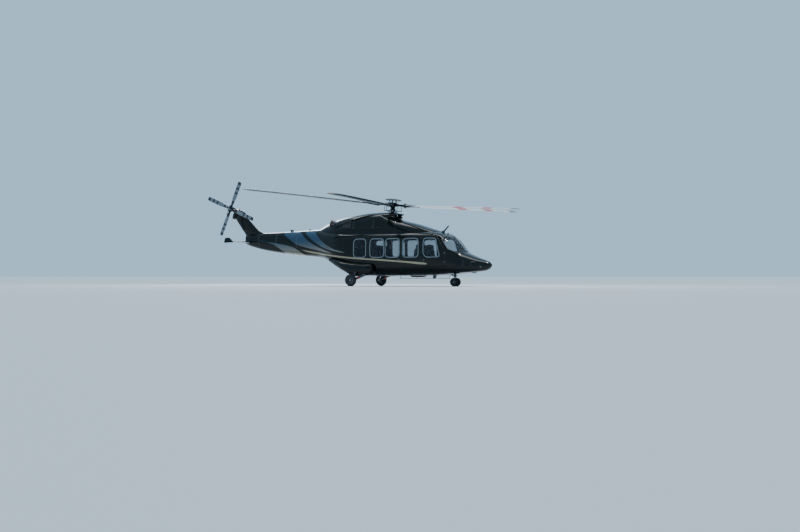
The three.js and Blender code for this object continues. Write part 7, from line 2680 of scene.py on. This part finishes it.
# %% Static wicks
wick = rod("wick", (0, 0, -0.012), (0, 0, 0.11), 0.0028, 0.0012, 10)
spots = []
for y in (0.75, 1.15, 1.55):
    (tip_y, tip_lead, tip_chord, tip_z, _), (root_y, root_lead, root_chord, root_z, _) = STABILIZER[:2]
    share = (y - root_y) / (tip_y - root_y)
    rear = root_lead - root_chord + share * ((tip_lead - tip_chord) - (root_lead - root_chord))
    spots += [((rear, side * y, root_z + (tip_z - root_z) * share), (-1, 0, -0.12)) for _, side in SIDES]
fitted(repeat_on("static_wicks", wick, gear_paint, spots))
print("static wicks", len(spots))

# %% [markdown]
# ## Steady parts under the rotor
# The mast stands in a cast housing with ribs. Three servos push the steady ring below the swashplate. They don't
# turn with the rotor, so they ride on the root. Engines and gearbox stay hidden and only get their alloy.

# %% Gearbox alloy
# Sand-cast magnesium alloy, with a cast grain of 6 mm and oily, darker patches 12 cm wide.
cast_alloy = surface("cast_gearbox_alloy", "#5d6164", 0.5, 0.85, patches=dict(Scale=8.0, Detail=6.0),
                     tones=[(0.42, "#666a6d"), (0.62, "#3c3a36")], gloss=(0.36, 0.62),
                     relief=dict(Scale=160.0, Detail=4.0), depth=0.0008, strength=0.5)
for node in ("main_gearbox", "engine_left", "engine_right"):
    painted(bpy.data.objects[node], cast_alloy)
print("alloy made, materials so far:", len(bpy.data.materials))

# %% Mast housing and servos
parts = [lathe("mast_housing", [(0, -0.434), (0.120, -0.434), (0.1315, -0.438), (0.1345, -0.455), (0.1345, -0.475),
                                (0.137, -0.482), (0.165, -0.60), (0.200, -0.74), (0.214, -0.80), (0, -0.80)], 72,
               cast_alloy)]
bolt = rod("bolt", (0.124, 0, -0.44), (0.124, 0, -0.426), 0.006, sides=6)
parts.append(repeat_round("housing_bolts", bolt, bare_steel, 16))
fin = make_object("fin", [(0.13, -0.005, -0.48), (0.13, 0.005, -0.48), (0.145, 0.005, -0.48), (0.145, -0.005, -0.48),
                          (0.205, -0.005, -0.76), (0.205, 0.005, -0.76), (0.222, 0.005, -0.76),
                          (0.222, -0.005, -0.76)],
                  [(0, 1, 2, 3), (7, 6, 5, 4), (0, 4, 5, 1), (1, 5, 6, 2), (2, 6, 7, 3), (3, 7, 4, 0)])
parts.append(repeat_round("housing_ribs", outward_faces(fin), cast_alloy, 12))
parts.append(lathe("steady_ring", [(0.150, -0.302), (0.236, -0.302), (0.243, -0.308), (0.243, -0.330),
                                   (0.236, -0.336), (0.150, -0.336), (0.143, -0.330), (0.143, -0.308)], 72,
                   hub_coating, closed=True))
for turn in (0, 120, 240):
    a = math.radians(turn + 30)
    foot = Vector((0.235 * math.cos(a), 0.235 * math.sin(a), -0.72))
    head = Vector((0.222 * math.cos(a), 0.222 * math.sin(a), -0.335))
    parts.append(rod("servo_body", foot, foot.lerp(head, 0.55), 0.034, sides=36, material=cast_alloy, rounding=0.005))
    parts.append(rod("servo_rod", foot.lerp(head, 0.5), head, 0.014, sides=24, material=chrome))
    parts.append(rod("servo_gland", foot.lerp(head, 0.54), foot.lerp(head, 0.60), 0.028, sides=36,
                     material=bare_steel, rounding=0.003))
on_mast(merged("mast_housing_and_servos", parts), "root")
print("small fittings done")

# %% [markdown]
# ## Light and floor
# Gloss paint shows what stands round it, so the light comes from large soft sources: a bright even surround, one
# wide panel overhead for the long highlight along the roof, and a soft sun high on the far side. So the near side
# lies in shade and the upper edges shine, as in the photo. The floor is plain and pale and runs to the horizon.

# %% Lights and floor
floor = make_object("floor", [(-300, -300, GROUND), (300, -300, GROUND), (300, 300, GROUND), (-300, 300, GROUND)],
                    [(0, 1, 2, 3)])
# Matt floor paint, pale and plain, with the faintest change of gloss over a metre or so.
floor_paint = surface("matte_studio_floor", "#cfd2d4", 0.85, patches=dict(Scale=0.7, Detail=5.0), gloss=(0.75, 0.95))
painted(floor, floor_paint)
world = bpy.data.worlds.new("studio")
bpy.context.scene.world = world
world.use_nodes = True
world.node_tree.nodes["Background"].inputs["Color"].default_value = linear("#a6cbe8")
world.node_tree.nodes["Background"].inputs["Strength"].default_value = 1.15


def soft_panel(name, place_at, aim, wide, high, watts, colour):
    """A rectangular area lamp that faces a point."""
    lamp = bpy.data.lights.new(name, "AREA")
    lamp.shape = "RECTANGLE"
    lamp.size, lamp.size_y = wide, high
    lamp.energy = watts
    lamp.color = linear(colour)[:3]
    holder = bpy.data.objects.new(name, lamp)
    holder.location = place_at
    holder.rotation_euler = (Vector(aim) - Vector(place_at)).to_track_quat("-Z", "Y").to_euler()
    bpy.context.scene.collection.objects.link(holder)


soft_panel("overhead_panel", (0, 2, 12), (0, 0, 1.5), 18, 5, 1300, "#ffffff")
soft_panel("rear_panel", (-12, 9, 7), (-3, 0, 1.8), 6, 4, 900, "#f1f6ff")
sun = bpy.data.lights.new("soft_sun", "SUN")
sun.energy = 1.9
sun.angle = math.radians(8)
sun.color = linear("#fbfaf8")[:3]
holder = bpy.data.objects.new("soft_sun", sun)
holder.rotation_euler = Vector((-0.42, -0.28, -0.86)).to_track_quat("-Z", "Y").to_euler()
bpy.context.scene.collection.objects.link(holder)
print("lights", [lamp.name for lamp in bpy.data.lights])

# %% [markdown]
# ## Finish
# The hull body was only the pattern for the pieces, so it goes.

# %% Finish
drop(hull_body)
